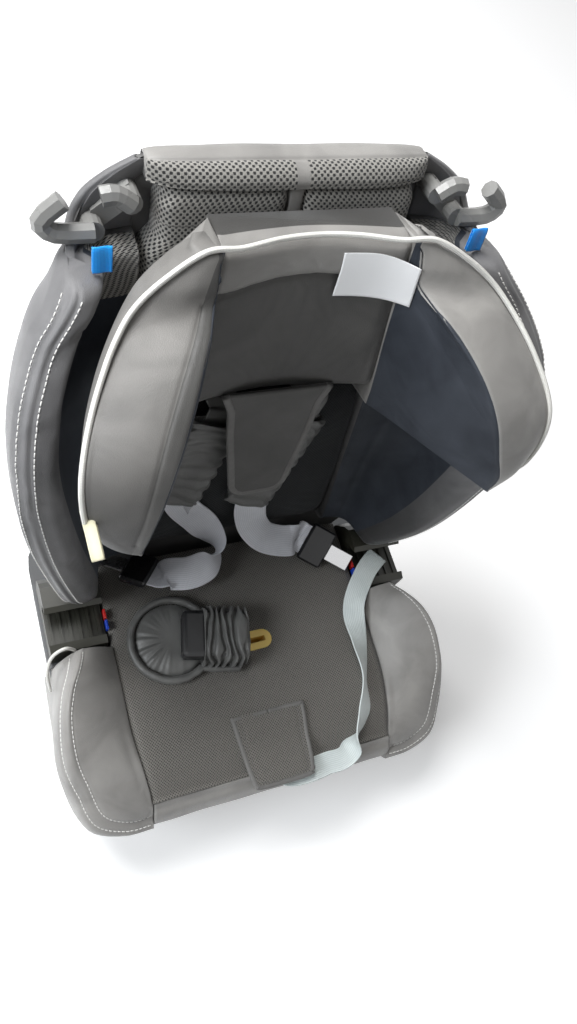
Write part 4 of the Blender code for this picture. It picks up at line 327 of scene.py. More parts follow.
LEATHERETTE = leatherette("charcoal_leatherette", (0.205, 0.198, 0.188), (0.290, 0.280, 0.265), 0.42)
# Painted shade: a darker copy of the leatherette for the left headrest wing, darker still towards its bottom.
SHADED_LEATHERETTE = leatherette("shaded_leatherette", (0.150, 0.145, 0.137), (0.215, 0.207, 0.196),
                                 painted_shade=(0.47, 0.59, 0.04))
DIM_LEATHERETTE = leatherette("dim_leatherette", (0.050, 0.049, 0.046), (0.080, 0.078, 0.074))
# Painted shade: the backrest wings' leatherette darkens towards their bottom.
WING_LEATHERETTE = leatherette("wing_leatherette", (0.110, 0.109, 0.112), (0.165, 0.163, 0.166),
                               painted_shade=(0.22, 0.46, 0.16))
PANEL_LEATHERETTE = leatherette("panel_leatherette", (0.030, 0.029, 0.027), (0.050, 0.048, 0.045), 0.52)
NAVY_FABRIC = leatherette("navy_smooth_fabric", (0.022, 0.026, 0.034), (0.042, 0.048, 0.060), 0.50)
GATHERED = leatherette("gathered_leatherette", (0.080, 0.080, 0.077), (0.130, 0.130, 0.124), 0.34)
BINDING = leatherette("binding_tape", (0.110, 0.107, 0.102), (0.150, 0.146, 0.140), 0.60)
print("leatherette finishes ready")

# %% [markdown]
# ## Spacer mesh
# The seat's middle is a knitted spacer fabric whose holes lie on a staggered grid. The
# product of two cosine waves has its peaks exactly on such a grid, so one number gives the
# holes for the colour and for the height of the yarn. It reads the surface's own flat
# coordinates, which the covers store in metres.

# %% Spacer mesh
def spacer_mesh(name, pitch, tall, yarn, hole, depth, open_share):
    material = finish(name, yarn, 0.82, Sheen_Weight=0.25, Sheen_Roughness=0.5)
    flat = add(material, "UVMap", uv_map="metres").outputs["UV"]
    parts = add(material, "SeparateXYZ", {"Vector": flat})
    wobble = maths(material, "MULTIPLY", cloudy(material, 60.0), 0.0012)
    waves = []
    for axis, length in (("X", pitch), ("Y", tall)):
        place = maths(material, "ADD", parts.outputs[axis], wobble)
        waves.append(maths(material, "COSINE", maths(material, "MULTIPLY", place, 2 * math.pi / length)))
    grid = maths(material, "MULTIPLY", waves[0], waves[1])
    limits = {"Value": grid, "From Min": open_share - 0.22, "From Max": open_share + 0.22}
    opening = add(material, "MapRange", limits, interpolation_type="SMOOTHSTEP").outputs["Result"]
    fuzz = cloudy(material, 1400.0, 2.0)
    yarn_colour = between(material, fuzz, 0.3, 0.7, tuple(value * 0.62 for value in yarn), yarn)
    mix = add(material, "Mix", {"Factor": opening}, data_type="RGBA")
    material.node_tree.links.new(yarn_colour, mix.inputs["A"])
    mix.inputs["B"].default_value = (*hole, 1.0)
    into(material, Base_Color=mix.outputs["Result"])
    height = maths(material, "SUBTRACT", maths(material, "MULTIPLY", fuzz, 0.25), opening)
    into(material, Normal=raised(material, height, depth, 0.9))
    return material


COARSE_MESH = spacer_mesh("coarse_spacer_mesh", 0.0048, 0.0050, (0.345, 0.332, 0.305), (0.006, 0.006, 0.006),
                          0.0012, 0.22)
FINE_MESH = spacer_mesh("fine_spacer_mesh", 0.0031, 0.0034, (0.210, 0.198, 0.178), (0.022, 0.021, 0.018),
                        0.0008, 0.30)
# Painted shade: a darker copy of the fine mesh for the lower backrest pad, which lies in the shadow between the
# wings.
SHADED_FINE_MESH = spacer_mesh("shaded_spacer_mesh", 0.0031, 0.0034, (0.034, 0.036, 0.038), (0.008, 0.009, 0.010),
                        0.0008, 0.30)
for deep in (SHADED_FINE_MESH, NAVY_FABRIC):
    shader = deep.node_tree.nodes["Principled BSDF"]
    shader.inputs["Sheen Weight"].default_value = 0.04
    shader.inputs["Specular IOR Level"].default_value = 0.20
print("mesh finishes ready")

# %% [markdown]
# ## Webbing, piping and thread
# Harness webbing is woven across its width in fine ribs. Its flat coordinates run along
# the strap, so a sine of the length gives the ribs, and a slower one the warp bundles.

# %% Webbing, piping and thread
def woven(name, colour, shade, rib, bundle, roughness, depth=0.00025):
    material = finish(name, colour, roughness, Sheen_Weight=0.35, Sheen_Roughness=0.35, Specular_IOR_Level=0.55)
    parts = add(material, "SeparateXYZ", {"Vector": add(material, "UVMap", uv_map="metres").outputs["UV"]})
    ribs = maths(material, "SINE", maths(material, "MULTIPLY", parts.outputs["Y"], 2 * math.pi / rib))
    bundles = maths(material, "MULTIPLY", parts.outputs["X"], 2 * math.pi / bundle)
    warp = maths(material, "SINE", maths(material, "ADD", bundles, maths(material, "MULTIPLY", ribs, 0.6)))
    weave = maths(material, "MULTIPLY", maths(material, "ADD", ribs, warp), 0.5)
    relief = maths(material, "MULTIPLY", weave, 0.5)
    level = spread(material, maths(material, "ADD", relief, cloudy(material, 35.0)), 0.0, 1.0)
    into(material, Base_Color=between(material, level, 0.25, 0.75, shade, colour),
         Normal=raised(material, weave, depth, 0.8))
    return material


WEBBING = woven("silver_webbing", (0.90, 0.91, 0.96), (0.72, 0.73, 0.78), 0.0012, 0.0021, 0.42)
PULL_WEBBING = woven("grey_green_webbing", (0.74, 0.80, 0.79), (0.56, 0.62, 0.61), 0.0012, 0.0021, 0.45)
PIPING = woven("off_white_piping", (0.80, 0.79, 0.75), (0.62, 0.61, 0.57), 0.0011, 0.0017, 0.50, 0.00015)
THREAD = woven("pale_thread", (0.80, 0.79, 0.76), (0.60, 0.59, 0.57), 0.0009, 0.0009, 0.55, 0.0001)
BLUE_RIBBON = woven("bright_blue_ribbon", (0.002, 0.400, 1.000), (0.001, 0.230, 0.860), 0.0010, 0.0010, 0.32, 0.0001)
print("woven finishes ready")

# %% [markdown]
# ## Plastics and steel
# Moulded parts have a spark-eroded texture: fine noise in the normal and a roughness that
# wanders slowly. Steel is brushed, so its noise is stretched along one axis.

# %% Plastics and steel
def moulded(name, colour, worn, roughness, texture, depth, scale=1500.0):
    material = finish(name, colour, roughness, Specular_IOR_Level=0.45)
    dust = cloudy(material, 14.0, 5.0, 0.4)
    into(material, Base_Color=between(material, dust, 0.40, 0.74, colour, worn),
         Roughness=spread(material, dust, roughness - 0.05, roughness + 0.08),
         Normal=raised(material, cloudy(material, scale, texture), depth, 0.35))
    return material


SHELL_PLASTIC = moulded("dark_grey_plastic", (0.052, 0.054, 0.057), (0.075, 0.076, 0.078), 0.52, 3.0, 0.0006)
BACK_PLASTIC = moulded("mid_grey_plastic", (0.090, 0.088, 0.087), (0.120, 0.118, 0.115), 0.50, 3.0, 0.0006)
GUIDE_PLASTIC = moulded("satin_grey_plastic", (0.215, 0.214, 0.206), (0.275, 0.272, 0.262), 0.26, 2.0, 0.0003)
OLIVE_PLASTIC = moulded("olive_black_plastic", (0.016, 0.016, 0.011), (0.030, 0.029, 0.021), 0.44, 2.0, 0.0003)
BLACK_PLASTIC = moulded("black_plastic", (0.010, 0.010, 0.011), (0.024, 0.024, 0.025), 0.27, 2.0, 0.0002)
YELLOW_PLASTIC = moulded("yellow_plastic", (1.000, 0.740, 0.230), (0.930, 0.660, 0.190), 0.38, 2.0, 0.0002)
RED_PLASTIC = moulded("red_plastic", (0.560, 0.020, 0.018), (0.440, 0.016, 0.014), 0.33, 2.0, 0.0001)
BLUE_PLASTIC = moulded("blue_plastic", (0.010, 0.060, 0.520), (0.008, 0.046, 0.400), 0.33, 2.0, 0.0001)
CARD = moulded("white_card", (0.950, 0.955, 0.960), (0.900, 0.905, 0.910), 0.60, 2.0, 0.0001)
CREAM = moulded("cream_ribbon", (0.760, 0.720, 0.520), (0.690, 0.650, 0.460), 0.62, 2.0, 0.0002)


def brushed(name, colour, roughness):
    material = finish(name, colour, roughness, Metallic=1.0)
    stretch = add(material, "Mapping", {"Vector": coordinates(material), "Scale": (60.0, 900.0, 900.0)})
    noise_of = add(material, "TexNoise", {"Vector": stretch.outputs["Vector"], "Scale": 1.0, "Detail": 3.0})
    lines = noise_of.outputs["Fac"]
    into(material, Roughness=spread(material, lines, roughness - 0.06, roughness + 0.12),
         Normal=raised(material, lines, 0.0002, 0.15))
    return material


STEEL = brushed("brushed_steel", (0.620, 0.620, 0.630), 0.26)
print("rigid finishes ready")

# %% [markdown]
# ## From a grid of points to a skin
# Sewn covers are surfaces over a grid: rows of stations along the piece, columns across
# it. One helper turns such a grid into a mesh, closes it unless it is a single leaf, and
# stores flat coordinates in metres, so that a weave keeps its true scale on every piece.

# %% Skins
def link(name, mesh, finish_of, smooth=True):
    piece = bpy.data.objects.new(name, mesh)
    bpy.context.scene.collection.objects.link(piece)
    mesh.materials.append(finish_of)
    if smooth:
        mesh.shade_smooth()
    return piece


def outward(mesh):
    """Turns a closed mesh's faces outward."""
    bm = bmesh.new()
    bm.from_mesh(mesh)
    bmesh.ops.recalc_face_normals(bm, faces=bm.faces)
    bm.to_mesh(mesh)
    bm.free()


def corners_of(grid):
    """The four corners of each cell of a grid, in order round the cell."""
    return np.stack((grid[:-1, :-1], grid[:-1, 1:], grid[1:, 1:], grid[1:, :-1]), axis=2)


def skin(name, rows, finish_of, facing=None):
    """A closed mesh over rings of points, or with facing an open one that looks that way."""
    rows = np.asarray(rows, float)
    count, width = rows.shape[:2]
    index = np.arange(count * width).reshape(count, width)
    closed = rows
    if facing is None:
        index, closed = (np.concatenate((grid, grid[:, :1]), axis=1) for grid in (index, rows))
    faces = corners_of(index).reshape(-1, 4).tolist()
    across = np.cumsum(np.linalg.norm(np.diff(closed, axis=1, prepend=closed[:, :1]), axis=2), axis=1)
    down = np.cumsum(np.linalg.norm(np.diff(closed, axis=0, prepend=closed[:1]), axis=2), axis=0)
    down = np.broadcast_to(down.mean(axis=1, keepdims=True), across.shape)
    corners = corners_of(np.stack((across - across[:, -1:] / 2, down), axis=-1)).reshape(-1, 2)
    if facing is None:
        faces += [index[0, :width].tolist()[::-1], index[-1, :width].tolist()]
        corners = np.concatenate((corners, rows[0, :, :2], rows[-1, :, :2]))
    mesh = bpy.data.meshes.new(name)
    mesh.from_pydata(rows.reshape(-1, 3).tolist(), [], faces)
    mesh.uv_layers.new(name="metres").data.foreach_set("uv", corners.ravel())
    mesh.validate()
    if facing is None:
        outward(mesh)
    elif sum(face.normal @ Vector(facing) for face in mesh.polygons) < 0:
        mesh.flip_normals()
    return link(name, mesh, finish_of)


def grid_places(rows):
    """Row and column number of each point of a grid, in the order of the mesh's vertices."""
    return np.divmod(np.arange(rows.shape[0] * rows.shape[1]), rows.shape[1])


def patch(piece, rows, finish_of, chosen):
    """Gives another finish to the faces of a grid that chosen(row, column) names."""
    piece.data.materials.append(finish_of)
    width = rows.shape[1]
    for index, face in enumerate(piece.data.polygons):
        if len(face.vertices) == 4 and chosen(*divmod(index, width)):
            face.material_index = len(piece.data.materials) - 1


def ripple(points, scale, height, seed):
    """Smooth noise values for an array of points, the same in every run."""
    flat = np.asarray(points, float).reshape(-1, 3)
    shift = Vector((seed * 7.13, seed * 3.71, seed * 1.37))
    values = [noise.noise(Vector(point) * scale + shift) for point in flat]
    return np.array(values).reshape(np.asarray(points).shape[:-1]) * height


# %% [markdown]
# ## Webbing, tubes and stitches
# A strap keeps its width, its selvedges are a little thicker than its middle, and it
# turns as the direction across it turns. Piping is a round tube. A stitch is a short
# bead of thread that stands a fraction of a millimetre proud of the cover.

# %% Straps, tubes and stitches
def strap(name, stations, width, thick, finish_of, steps=10, curl=0.0):
    """A strap through stations of (centre, direction across). curl arches its section."""
    centres, sides = (refine(values, steps) for values in zip(*stations))
    ahead = directions(centres)
    sides = unit(sides - ahead * (sides * ahead).sum(axis=1, keepdims=True))
    lifts = np.cross(ahead, sides)[:, None]
    shares = np.array((-1.0, -0.985, -0.93, -0.86, -0.6, -0.2, 0.2, 0.6, 0.86, 0.93, 0.985, 1.0))[:, None]
    heights = np.array((0.25, 0.95, 1.15, 0.92, 0.86, 0.84, 0.84, 0.86, 0.92, 1.15, 0.95, 0.25))[:, None] * thick / 2
    bend = curl * (shares ** 2 - 0.4)
    middle = centres[:, None] + sides[:, None] * shares * width / 2
    top, low = middle + lifts * (bend + heights), middle + lifts * (bend - heights)
    return skin(name, np.concatenate((top, low[:, ::-1]), axis=1), finish_of)


def across_line(line):
    """Two steady directions across a line, at each of its points."""
    ahead = directions(line)
    sides = [unit(np.cross(ahead[0], (0.3, 0.2, 0.93)))]
    for direction in ahead[1:]:
        sides.append(unit(sides[-1] - direction * (sides[-1] @ direction)))
    return np.array(sides), np.cross(ahead, sides)


def round_tube(name, line, radius, finish_of, sides=12, spacing=0.002):
    line = resampled(line, spacing)
    across, up = (values[:, None] for values in across_line(line))
    angles = np.linspace(0, 2 * math.pi, sides, endpoint=False)[:, None]
    radii = np.full(len(line), radius)
    radii[[0, -1]] *= 0.55
    radii[[1, -2]] *= 0.92
    rings = line[:, None] + (across * np.cos(angles) + up * np.sin(angles)) * radii[:, None, None]
    return skin(name, rings, finish_of)


def tree_of(*covers):
    """One search tree over the faces of some covers."""
    vertices, faces = [], []
    for cover in covers:
        start = len(vertices)
        vertices += [vertex.co.copy() for vertex in cover.data.vertices]
        faces += [[start + index for index in face.vertices] for face in cover.data.polygons]
    return BVHTree.FromPolygons(vertices, faces)


STITCH, STITCH_PITCH = 0.0039, 0.0046
STITCH_RINGS = ((0.0, 0.45, -0.5), (0.18, 1.0, 0.35), (0.82, 1.0, 0.35), (1.0, 0.45, -0.5))


def stitch_row(name, lines, tree, body, radius=0.00055, finish_of=THREAD):
    """Rows of thread along lines, all in one mesh that rides on a body. Each stitch is a
    bead with six sides, and its four rings give a share of its length, a width and a height."""
    vertices, faces = [], []
    for line in lines:
        found = [tree.find_nearest(Vector(point)) for point in resampled(line, STITCH_PITCH / 4)]
        for number in range(0, len(found) - 4, 4):
            start, normal = np.array(found[number][0]), np.array(found[number + 2][1])
            run = np.array(found[number + 4][0]) - start
            if np.linalg.norm(run) < STITCH_PITCH / 3:
                continue
            run = unit(run)
            side = unit(np.cross(normal, run))
            first = len(vertices)
            for share, wide, high in STITCH_RINGS:
                middle = start + run * STITCH * share + normal * radius * high
                for angle in np.arange(6) * math.pi / 3:
                    vertices.append(middle + (side * math.cos(angle) + normal * math.sin(angle)) * radius * wide)
            for low in range(first, first + 18, 6):
                for corner in range(6):
                    after = (corner + 1) % 6
                    faces.append((low + corner, low + after, low + 6 + after, low + 6 + corner))
            faces += [tuple(range(first + 5, first - 1, -1)), tuple(range(first + 18, first + 24))]
    mesh = bpy.data.meshes.new(name)
    mesh.from_pydata([tuple(vertex) for vertex in vertices], [], faces)
    corners = np.array([mesh.vertices[loop.vertex_index].co[:2] for loop in mesh.loops])
    mesh.uv_layers.new(name="metres").data.foreach_set("uv", corners.ravel())
    outward(mesh)
    piece = link(name, mesh, finish_of)
    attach(piece, body)


def settle(piece, body, slot, *nodes, fill=None):
    """What every cover gets: it rides on its body, and the nodes it stands for are hidden. Its slot and its filling
    are not used.
    """
    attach(piece, body)
    if nodes:
        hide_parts(*nodes)
    print(piece.name, len(piece.data.polygons), "faces")


# %% [markdown]
# ## Plumping with cloth
# Padding pushes its cover out until the seams stop it. Blender's cloth solver does the
# same: the seam points are pinned, pressure pushes from inside with gravity off, and
# after a few frames each point keeps at most a capped share of its move. The result is
# written into the mesh, so no simulation is left on the piece.

# %% Cloth pressure
CLOTH_FRAMES = 16


def surface(piece):
    """The points of a cover and its normals there."""
    return (np.array([getattr(vertex, key)[:] for vertex in piece.data.vertices]) for key in ("co", "normal"))


def move_to(piece, points):
    piece.data.vertices.foreach_set("co", points.ravel())
    piece.data.update()


def plump(piece, pinned, pressure, cap):
    """Swells a cover between its pinned points. pinned is one truth value a vertex."""
    before, _ = surface(piece)
    group = piece.vertex_groups.new(name="seams")
    group.add([int(number) for number in np.flatnonzero(pinned)], 1.0, "REPLACE")
    cloth = piece.modifiers.new("padding", "CLOTH")
    values = cloth.settings
    values.quality = 6
    values.mass = 0.15
    values.tension_stiffness = values.compression_stiffness = 14.0
    values.shear_stiffness = 5.0
    values.bending_stiffness = 0.6
    values.use_pressure = True
    values.uniform_pressure_force = pressure
    values.vertex_group_mass = "seams"
    values.effector_weights.gravity = 0.0
    cloth.collision_settings.use_collision = False
    scene = bpy.context.scene
    for number in range(1, CLOTH_FRAMES + 1):
        scene.frame_set(number)
    after = np.empty(len(before) * 3)
    solved = piece.evaluated_get(bpy.context.evaluated_depsgraph_get())
    solved.data.vertices.foreach_get("co", after)
    piece.modifiers.remove(cloth)
    piece.vertex_groups.remove(group)
    scene.frame_set(1)
    moves = after.reshape(-1, 3) - before
    sizes = np.linalg.norm(moves, axis=1, keepdims=True)
    moves = moves / np.maximum(sizes, 1e-9) * cap * np.tanh(sizes / cap)
    move_to(piece, before + moves)
    print(piece.name, "swelled by at most", round(float(np.linalg.norm(moves, axis=1).max()) * 1000, 1), "mm")


def dent(piece, lines, depth, width):
    """Presses a cover in along lines of thread, as tight stitching does."""
    points, normals = surface(piece)
    near = np.full(len(points), np.inf)
    for line in lines:
        line = resampled(line, width / 2)
        for start in range(0, len(line), 48):
            gaps = np.linalg.norm(points[:, None] - line[None, start:start + 48], axis=2).min(axis=1)
            near = np.minimum(near, gaps)
    move_to(piece, points - normals * (depth * np.exp(-(near / width) ** 2))[:, None])


def crease(piece, height, scale, seed, above=-1.0):
    """Adds soft wrinkles along the cover's normals, at the points above a height."""
    points, normals = surface(piece)
    swell = ripple(points * np.asarray(scale), 1.0, height, seed) * (points[:, 2] > above)
    move_to(piece, points + normals * swell[:, None])


# %% [markdown]
# ## Seat cover
# The seat's middle is a mesh panel, and two bolsters of leatherette run beside it, round
# the front corners and down to a hem. Their stations are shares of the seat's half width,
# front and top: the seam beside the mesh, the crest of the padding and the hem.

# %% Seat sizes and stations
SEAT_HALF, SEAT_FRONT, SEAT_TOP, SEAT_REAR = 0.221, 0.208, 0.205, 0.068
DECK, HEM = 0.128, 0.095
BASE_HALF, BASE_FRONT, BASE_CORNER = 0.213, 0.198, 0.055
SLOT_Y = -0.052
CLOTH_GAP = 0.0006      # between the base and the cover that is drawn over it
DECK_GAP = 0.0005       # between the deck and the padding that lies on it
BOLSTER_STATIONS = np.array((
    (0.665, -0.125, 0.800, 0.820, -0.125, 0.900, 0.984, -0.125),
    (0.665, -0.216, 0.800, 0.855, -0.226, 0.981, 0.990, -0.226),
    (0.665, -0.327, 0.800, 0.910, -0.337, 0.996, 0.995, -0.360),
    (0.665, -0.471, 0.795, 0.946, -0.471, 0.961, 1.000, -0.505),
    (0.658, -0.635, 0.780, 0.955, -0.635, 0.878, 1.000, -0.673),
    (0.643, -0.774, 0.751, 0.923, -0.769, 0.771, 0.968, -0.837),
    (0.633, -0.850, 0.715, 0.872, -0.908, 0.650, 0.903, -0.950),
    (0.629, -0.895, 0.685, 0.748, -0.972, 0.590, 0.775, -0.990),
    (0.627, -0.918, 0.668, 0.627, -0.975, 0.575, 0.627, -0.998)))
BOLSTER_SIZES = np.array((SEAT_HALF, SEAT_FRONT, SEAT_TOP, SEAT_HALF, SEAT_FRONT, SEAT_TOP, SEAT_HALF, SEAT_FRONT))
BOLSTER_ROWS = BOLSTER_STATIONS * BOLSTER_SIZES
FRONT_SEAM_Y = BOLSTER_ROWS[-1][1]
SEAM_ROWS = BOLSTER_ROWS[:-1][::-1][:, (1, 0, 2)]


def seat_height(x, y):
    half, seam_z = table_at(SEAM_ROWS, y)
    dish = -0.006 + 0.0096 * max(0.0, (SLOT_Y - y) / (SLOT_Y + SEAT_FRONT)) ** 1.5
    return seam_z + dish * (1 - (x / half) ** 2)


def hem_corner(x, y):
    """Nearest point just inside the base's outline, under a hem."""
    centre_x, centre_y = BASE_HALF - BASE_CORNER, -(BASE_FRONT - BASE_CORNER)
    if y > centre_y:
        return BASE_HALF + CLOTH_GAP, y
    if x < centre_x:
        return x, -BASE_FRONT - CLOTH_GAP
    out = unit((x - centre_x, y - centre_y)) * (BASE_CORNER + CLOTH_GAP)
    return centre_x + out[0], centre_y + out[1]


# %% Seat bolsters
def bolster_section(values, closing):
    """One section of a bolster: down the seam, over the crest, down to the hem and back."""
    seam, crest, hem = values[:3].copy(), values[3:6].copy(), np.array((values[6], values[7], HEM))
    seam[0] += 0.0004
    if closing:
        crest[0] = hem[0] = seam[0]
    edge = hem_corner(hem[0], hem[1])
    if closing:
        edge = (seam[0], edge[1])
    top = [seam - (0, 0, 0.0022), seam + (0.0002, 0, 0.0002)]
    for share in (0.12, 0.3, 0.6, 0.85):
        top.append(seam + (crest - seam) * share + (0, 0, 0.005 * math.sin(math.pi * share)))
    top.append(crest)
    out = unit((hem[0] - edge[0], hem[1] - edge[1], 0.0))
    for share in (0.15, 0.4, 0.7, 0.93):
        top.append(crest + (hem - crest) * share + out * 0.008 * math.sin(math.pi * share ** 0.7))
    top.append(hem)
    over = refine(top, 5)
    shoulder = (min(edge[0], BASE_HALF) - 0.004, max(edge[1], -BASE_FRONT) + (0.004 if edge[1] < -0.14 else 0.0))
    under = [(*(hem - out * 0.001)[:2], HEM - 0.0016), (*edge, HEM - 0.001), (*edge, DECK - 0.004),
             (*shoulder, DECK + DECK_GAP), (*seam[:2], DECK + DECK_GAP)]
    return np.concatenate((over, under))


BOLSTER_SECTIONS = 168
BOLSTER_SEAMS = (27, 35)


def make_bolster(side, word):
    last = len(BOLSTER_ROWS) - 1
    numbered = np.column_stack((np.arange(last + 1), BOLSTER_ROWS))
    rows = mirrored([bolster_section(table_at(numbered, place), place > last - 0.001)
                     for place in np.linspace(0, last, BOLSTER_SECTIONS)], side)
    bolster = skin("seat_bolster_cover_" + word, rows, LEATHERETTE)
    row, column = grid_places(rows)
    plump(bolster, (column < 7) | (column > 48) | (row < 2) | (row > BOLSTER_SECTIONS - 5), pressure=3.0, cap=0.0035)
    ridge = [rows[4:-2, column] for column in BOLSTER_SEAMS]
    dent(bolster, ridge, 0.0011, 0.0022)
    crease(bolster, 0.0010, (14.0, 26.0, 18.0), 3 if side < 0 else 5)
    settle(bolster, "base", "leatherette", "seat_bolster_" + word, fill=0.8)
    stitch_row("bolster_stitching_" + word, ridge, tree_of(bolster), "base")


for side, word in SIDES:
    make_bolster(side, word)

# %% [markdown]
# The mesh panel is a thin pad: its top dishes a little towards the middle and its edges
# tuck down into the seam. Two openings go through it, for the crotch strap's yellow plate
# and for the adjuster, and a boolean cuts both with the same clearances as the real cover.

# %% Seat panel
ADJUSTER_CUT = ((-0.0254, -0.1874), (0.0254, -0.1874), (0.0254, -0.1496), (-0.0254, -0.1496))
SLOT_CUT_HALF, SLOT_CUT_RADIUS = 0.018, 0.0114
PANEL_LINES, PANEL_POINTS = 120, 111


def cut_through(piece, outline):
    """Cuts a prism with an outline seen from above through a cover."""
    rows = [[(x, y, z) for x, y in outline] for z in (DECK - 0.01, 0.24)]
    knife = skin("knife", rows, FINE_MESH)
    cut = piece.modifiers.new("opening", "BOOLEAN")
    cut.operation, cut.solver, cut.object = "DIFFERENCE", "EXACT", knife
    cut.use_self = True
    solved = bpy.data.meshes.new_from_object(piece.evaluated_get(bpy.context.evaluated_depsgraph_get()))
    piece.modifiers.clear()
    piece.data = solved
    bpy.data.objects.remove(knife, do_unlink=True)


def round_slot(half, radius, steps=12):
    right = np.linspace(-math.pi / 2, math.pi / 2, steps)
    left = right + math.pi
    return ([(half + radius * math.cos(a), SLOT_Y + radius * math.sin(a)) for a in right]
            + [(-half + radius * math.cos(a), SLOT_Y + radius * math.sin(a)) for a in left])


def seat_panel_rows():
    """Lines of points across the panel, a little closer together at its sides."""
    shares = np.linspace(-1, 1, PANEL_POINTS)
    shares = 0.65 * shares + 0.35 * np.sin(math.pi / 2 * shares)
    rows = []
    for y in np.linspace(SEAT_REAR, FRONT_SEAM_Y, PANEL_LINES):
        half = table_at(SEAM_ROWS, y)[0] - 0.0004
        tops = []
        for x in half * shares:
            tuck = 0.0030 * math.exp(-((half - abs(x)) / 0.0035) ** 2)
            soft = 0.0012 * math.sin(math.pi * min(1.0, (half - abs(x)) / 0.02) / 2)
            tops.append((x, y, seat_height(x, y) - tuck + soft))
        rows.append([(-half, y, DECK + DECK_GAP), *tops, (half, y, DECK + DECK_GAP)])
    return rows


seat_panel = skin("seat_panel_cover", seat_panel_rows(), FINE_MESH)
crease(seat_panel, 0.0011, (16.0, 20.0, 10.0), 9, above=0.14)
cut_through(seat_panel, round_slot(SLOT_CUT_HALF, SLOT_CUT_RADIUS))
cut_through(seat_panel, ADJUSTER_CUT)
settle(seat_panel, "base", "spacer_mesh", "seat_centre_pad", fill=0.5)

# %% Front roll
def front_roll_rows():
    """Sections of the roll, from the seam over its crest to the hem and back under it."""
    seam_x, crest_y, crest_z, hem_y = BOLSTER_ROWS[-1][[0, 4, 5, 7]]
    half, back, wall = seam_x - CLOTH_GAP, FRONT_SEAM_Y - 0.0005, -BASE_FRONT - CLOTH_GAP
    rows = []
    for x in np.linspace(-half, half, 90):
        top = seat_height(x * 0.9997, FRONT_SEAM_Y)
        face = refine([(back, top - 0.002), (back - 0.0004, top),
                       (back * 0.6 + crest_y * 0.4, top * 0.7 + crest_z * 0.3 + 0.001),
                       (crest_y, (top + crest_z) / 2), (hem_y - 0.0006, crest_z - 0.002),
                       (hem_y - 0.0008, (crest_z + HEM) / 2), (hem_y, HEM)], 5)
        under = [(hem_y + 0.001, HEM - 0.0015), (wall, HEM - 0.001), (wall, DECK - 0.004),
                 (-BASE_FRONT + 0.004, DECK + DECK_GAP), (back, DECK + DECK_GAP)]
        rows.append([(x, y, z) for y, z in list(face) + under])
    return rows


front_roll = skin("seat_front_roll_cover", front_roll_rows(), LEATHERETTE)
crease(front_roll, 0.0009, (30.0, 14.0, 22.0), 12)
settle(front_roll, "base", "leatherette", "seat_front_roll", fill=0.7)

# %% [markdown]
# ## Front flap
# A five-sided flap of mesh covers the adjuster. A folded tape binds its edge, and one row
# of thread holds it. The flap bends over the seat's front edge, so its grid follows the
# curve of its underside, and its points stand off by shares of the flap's thickness.

# %% Front flap
FLAP_HALF, FLAP_HINGE_Y, FLAP_THICK = 0.042, -0.130, 0.005
FLAP_SHARES = np.array(((0.00, 1.00), (0.25, 0.97), (0.50, 0.92), (0.70, 0.89), (0.86, 0.84), (0.94, 0.76),
                        (1.00, 0.34)))
ADJUSTER_FRONT_Y, ADJUSTER_TOP = -0.187, 0.152


def flap_under():
    """The underside's middle line: over the seat cover, then over the adjuster and down."""
    reach = SEAT_FRONT + FLAP_HINGE_Y
    points = []
    for share in (0.0, 0.2, 0.45):
        y = FLAP_HINGE_Y - reach * share
        points.append((0, y, seat_height(FLAP_HALF, y) + 0.0009 * (1 + share)))
    points += [(0, ADJUSTER_FRONT_Y, ADJUSTER_TOP + 0.0015),
               (0, -SEAT_FRONT - FLAP_THICK * 0.2, ADJUSTER_TOP + 0.0005)]
    return refine(points, 12)


flap_low = flap_under()
flap_out = np.cross(directions(flap_low), (1.0, 0.0, 0.0))
flap_out *= np.sign(flap_out[0, 2])


def flap_point(share, across, height):
    """A point of the flap: share along it, across from -1 to 1, height in its thickness."""
    place = share * (len(flap_low) - 1)
    middle, out = along(flap_low, [place])[0], along(flap_out, [place])[0]
    half = FLAP_HALF * table_at(FLAP_SHARES, share)[0]
    return middle + out * (FLAP_THICK * height) + np.array((across * half, 0, 0))


def make_flap():
    rows = []
    for share in np.linspace(0.0, 1.0, 72):
        ring = []
        end = 1 - 0.5 * max(0.0, (share - 0.97) / 0.03) ** 2
        for across in np.linspace(-1, 1, 37):
            edge = 1 - 0.34 * abs(across) ** 10
            ring.append(flap_point(share, across, 0.5 + 0.46 * edge * end))
        for across in np.linspace(1, -1, 19):
            ring.append(flap_point(share, across, 0.5 - 0.46 * end))
        rows.append(ring)
    flap = skin("front_flap_cover", rows, FINE_MESH)
    seam = [(share, -0.80) for share in np.linspace(0.03, 0.90, 40)]
    seam += [(0.90 + 0.035 * math.sin(math.pi * turn), -0.80 + 1.6 * turn) for turn in np.linspace(0.04, 0.96, 20)]
    seam += [(share, 0.80) for share in np.linspace(0.90, 0.03, 40)]
    seam = [flap_point(share, across, 1.0) for share, across in seam]
    dent(flap, [seam], 0.0008, 0.0016)
    crease(flap, 0.0009, (22.0, 22.0, 22.0), 17)
    settle(flap, "front_flap", "spacer_mesh", "front_flap", fill=0.4)
    stitch_row("front_flap_stitching", [seam], tree_of(flap), "front_flap", radius=0.00038, finish_of=BINDING)


make_flap()

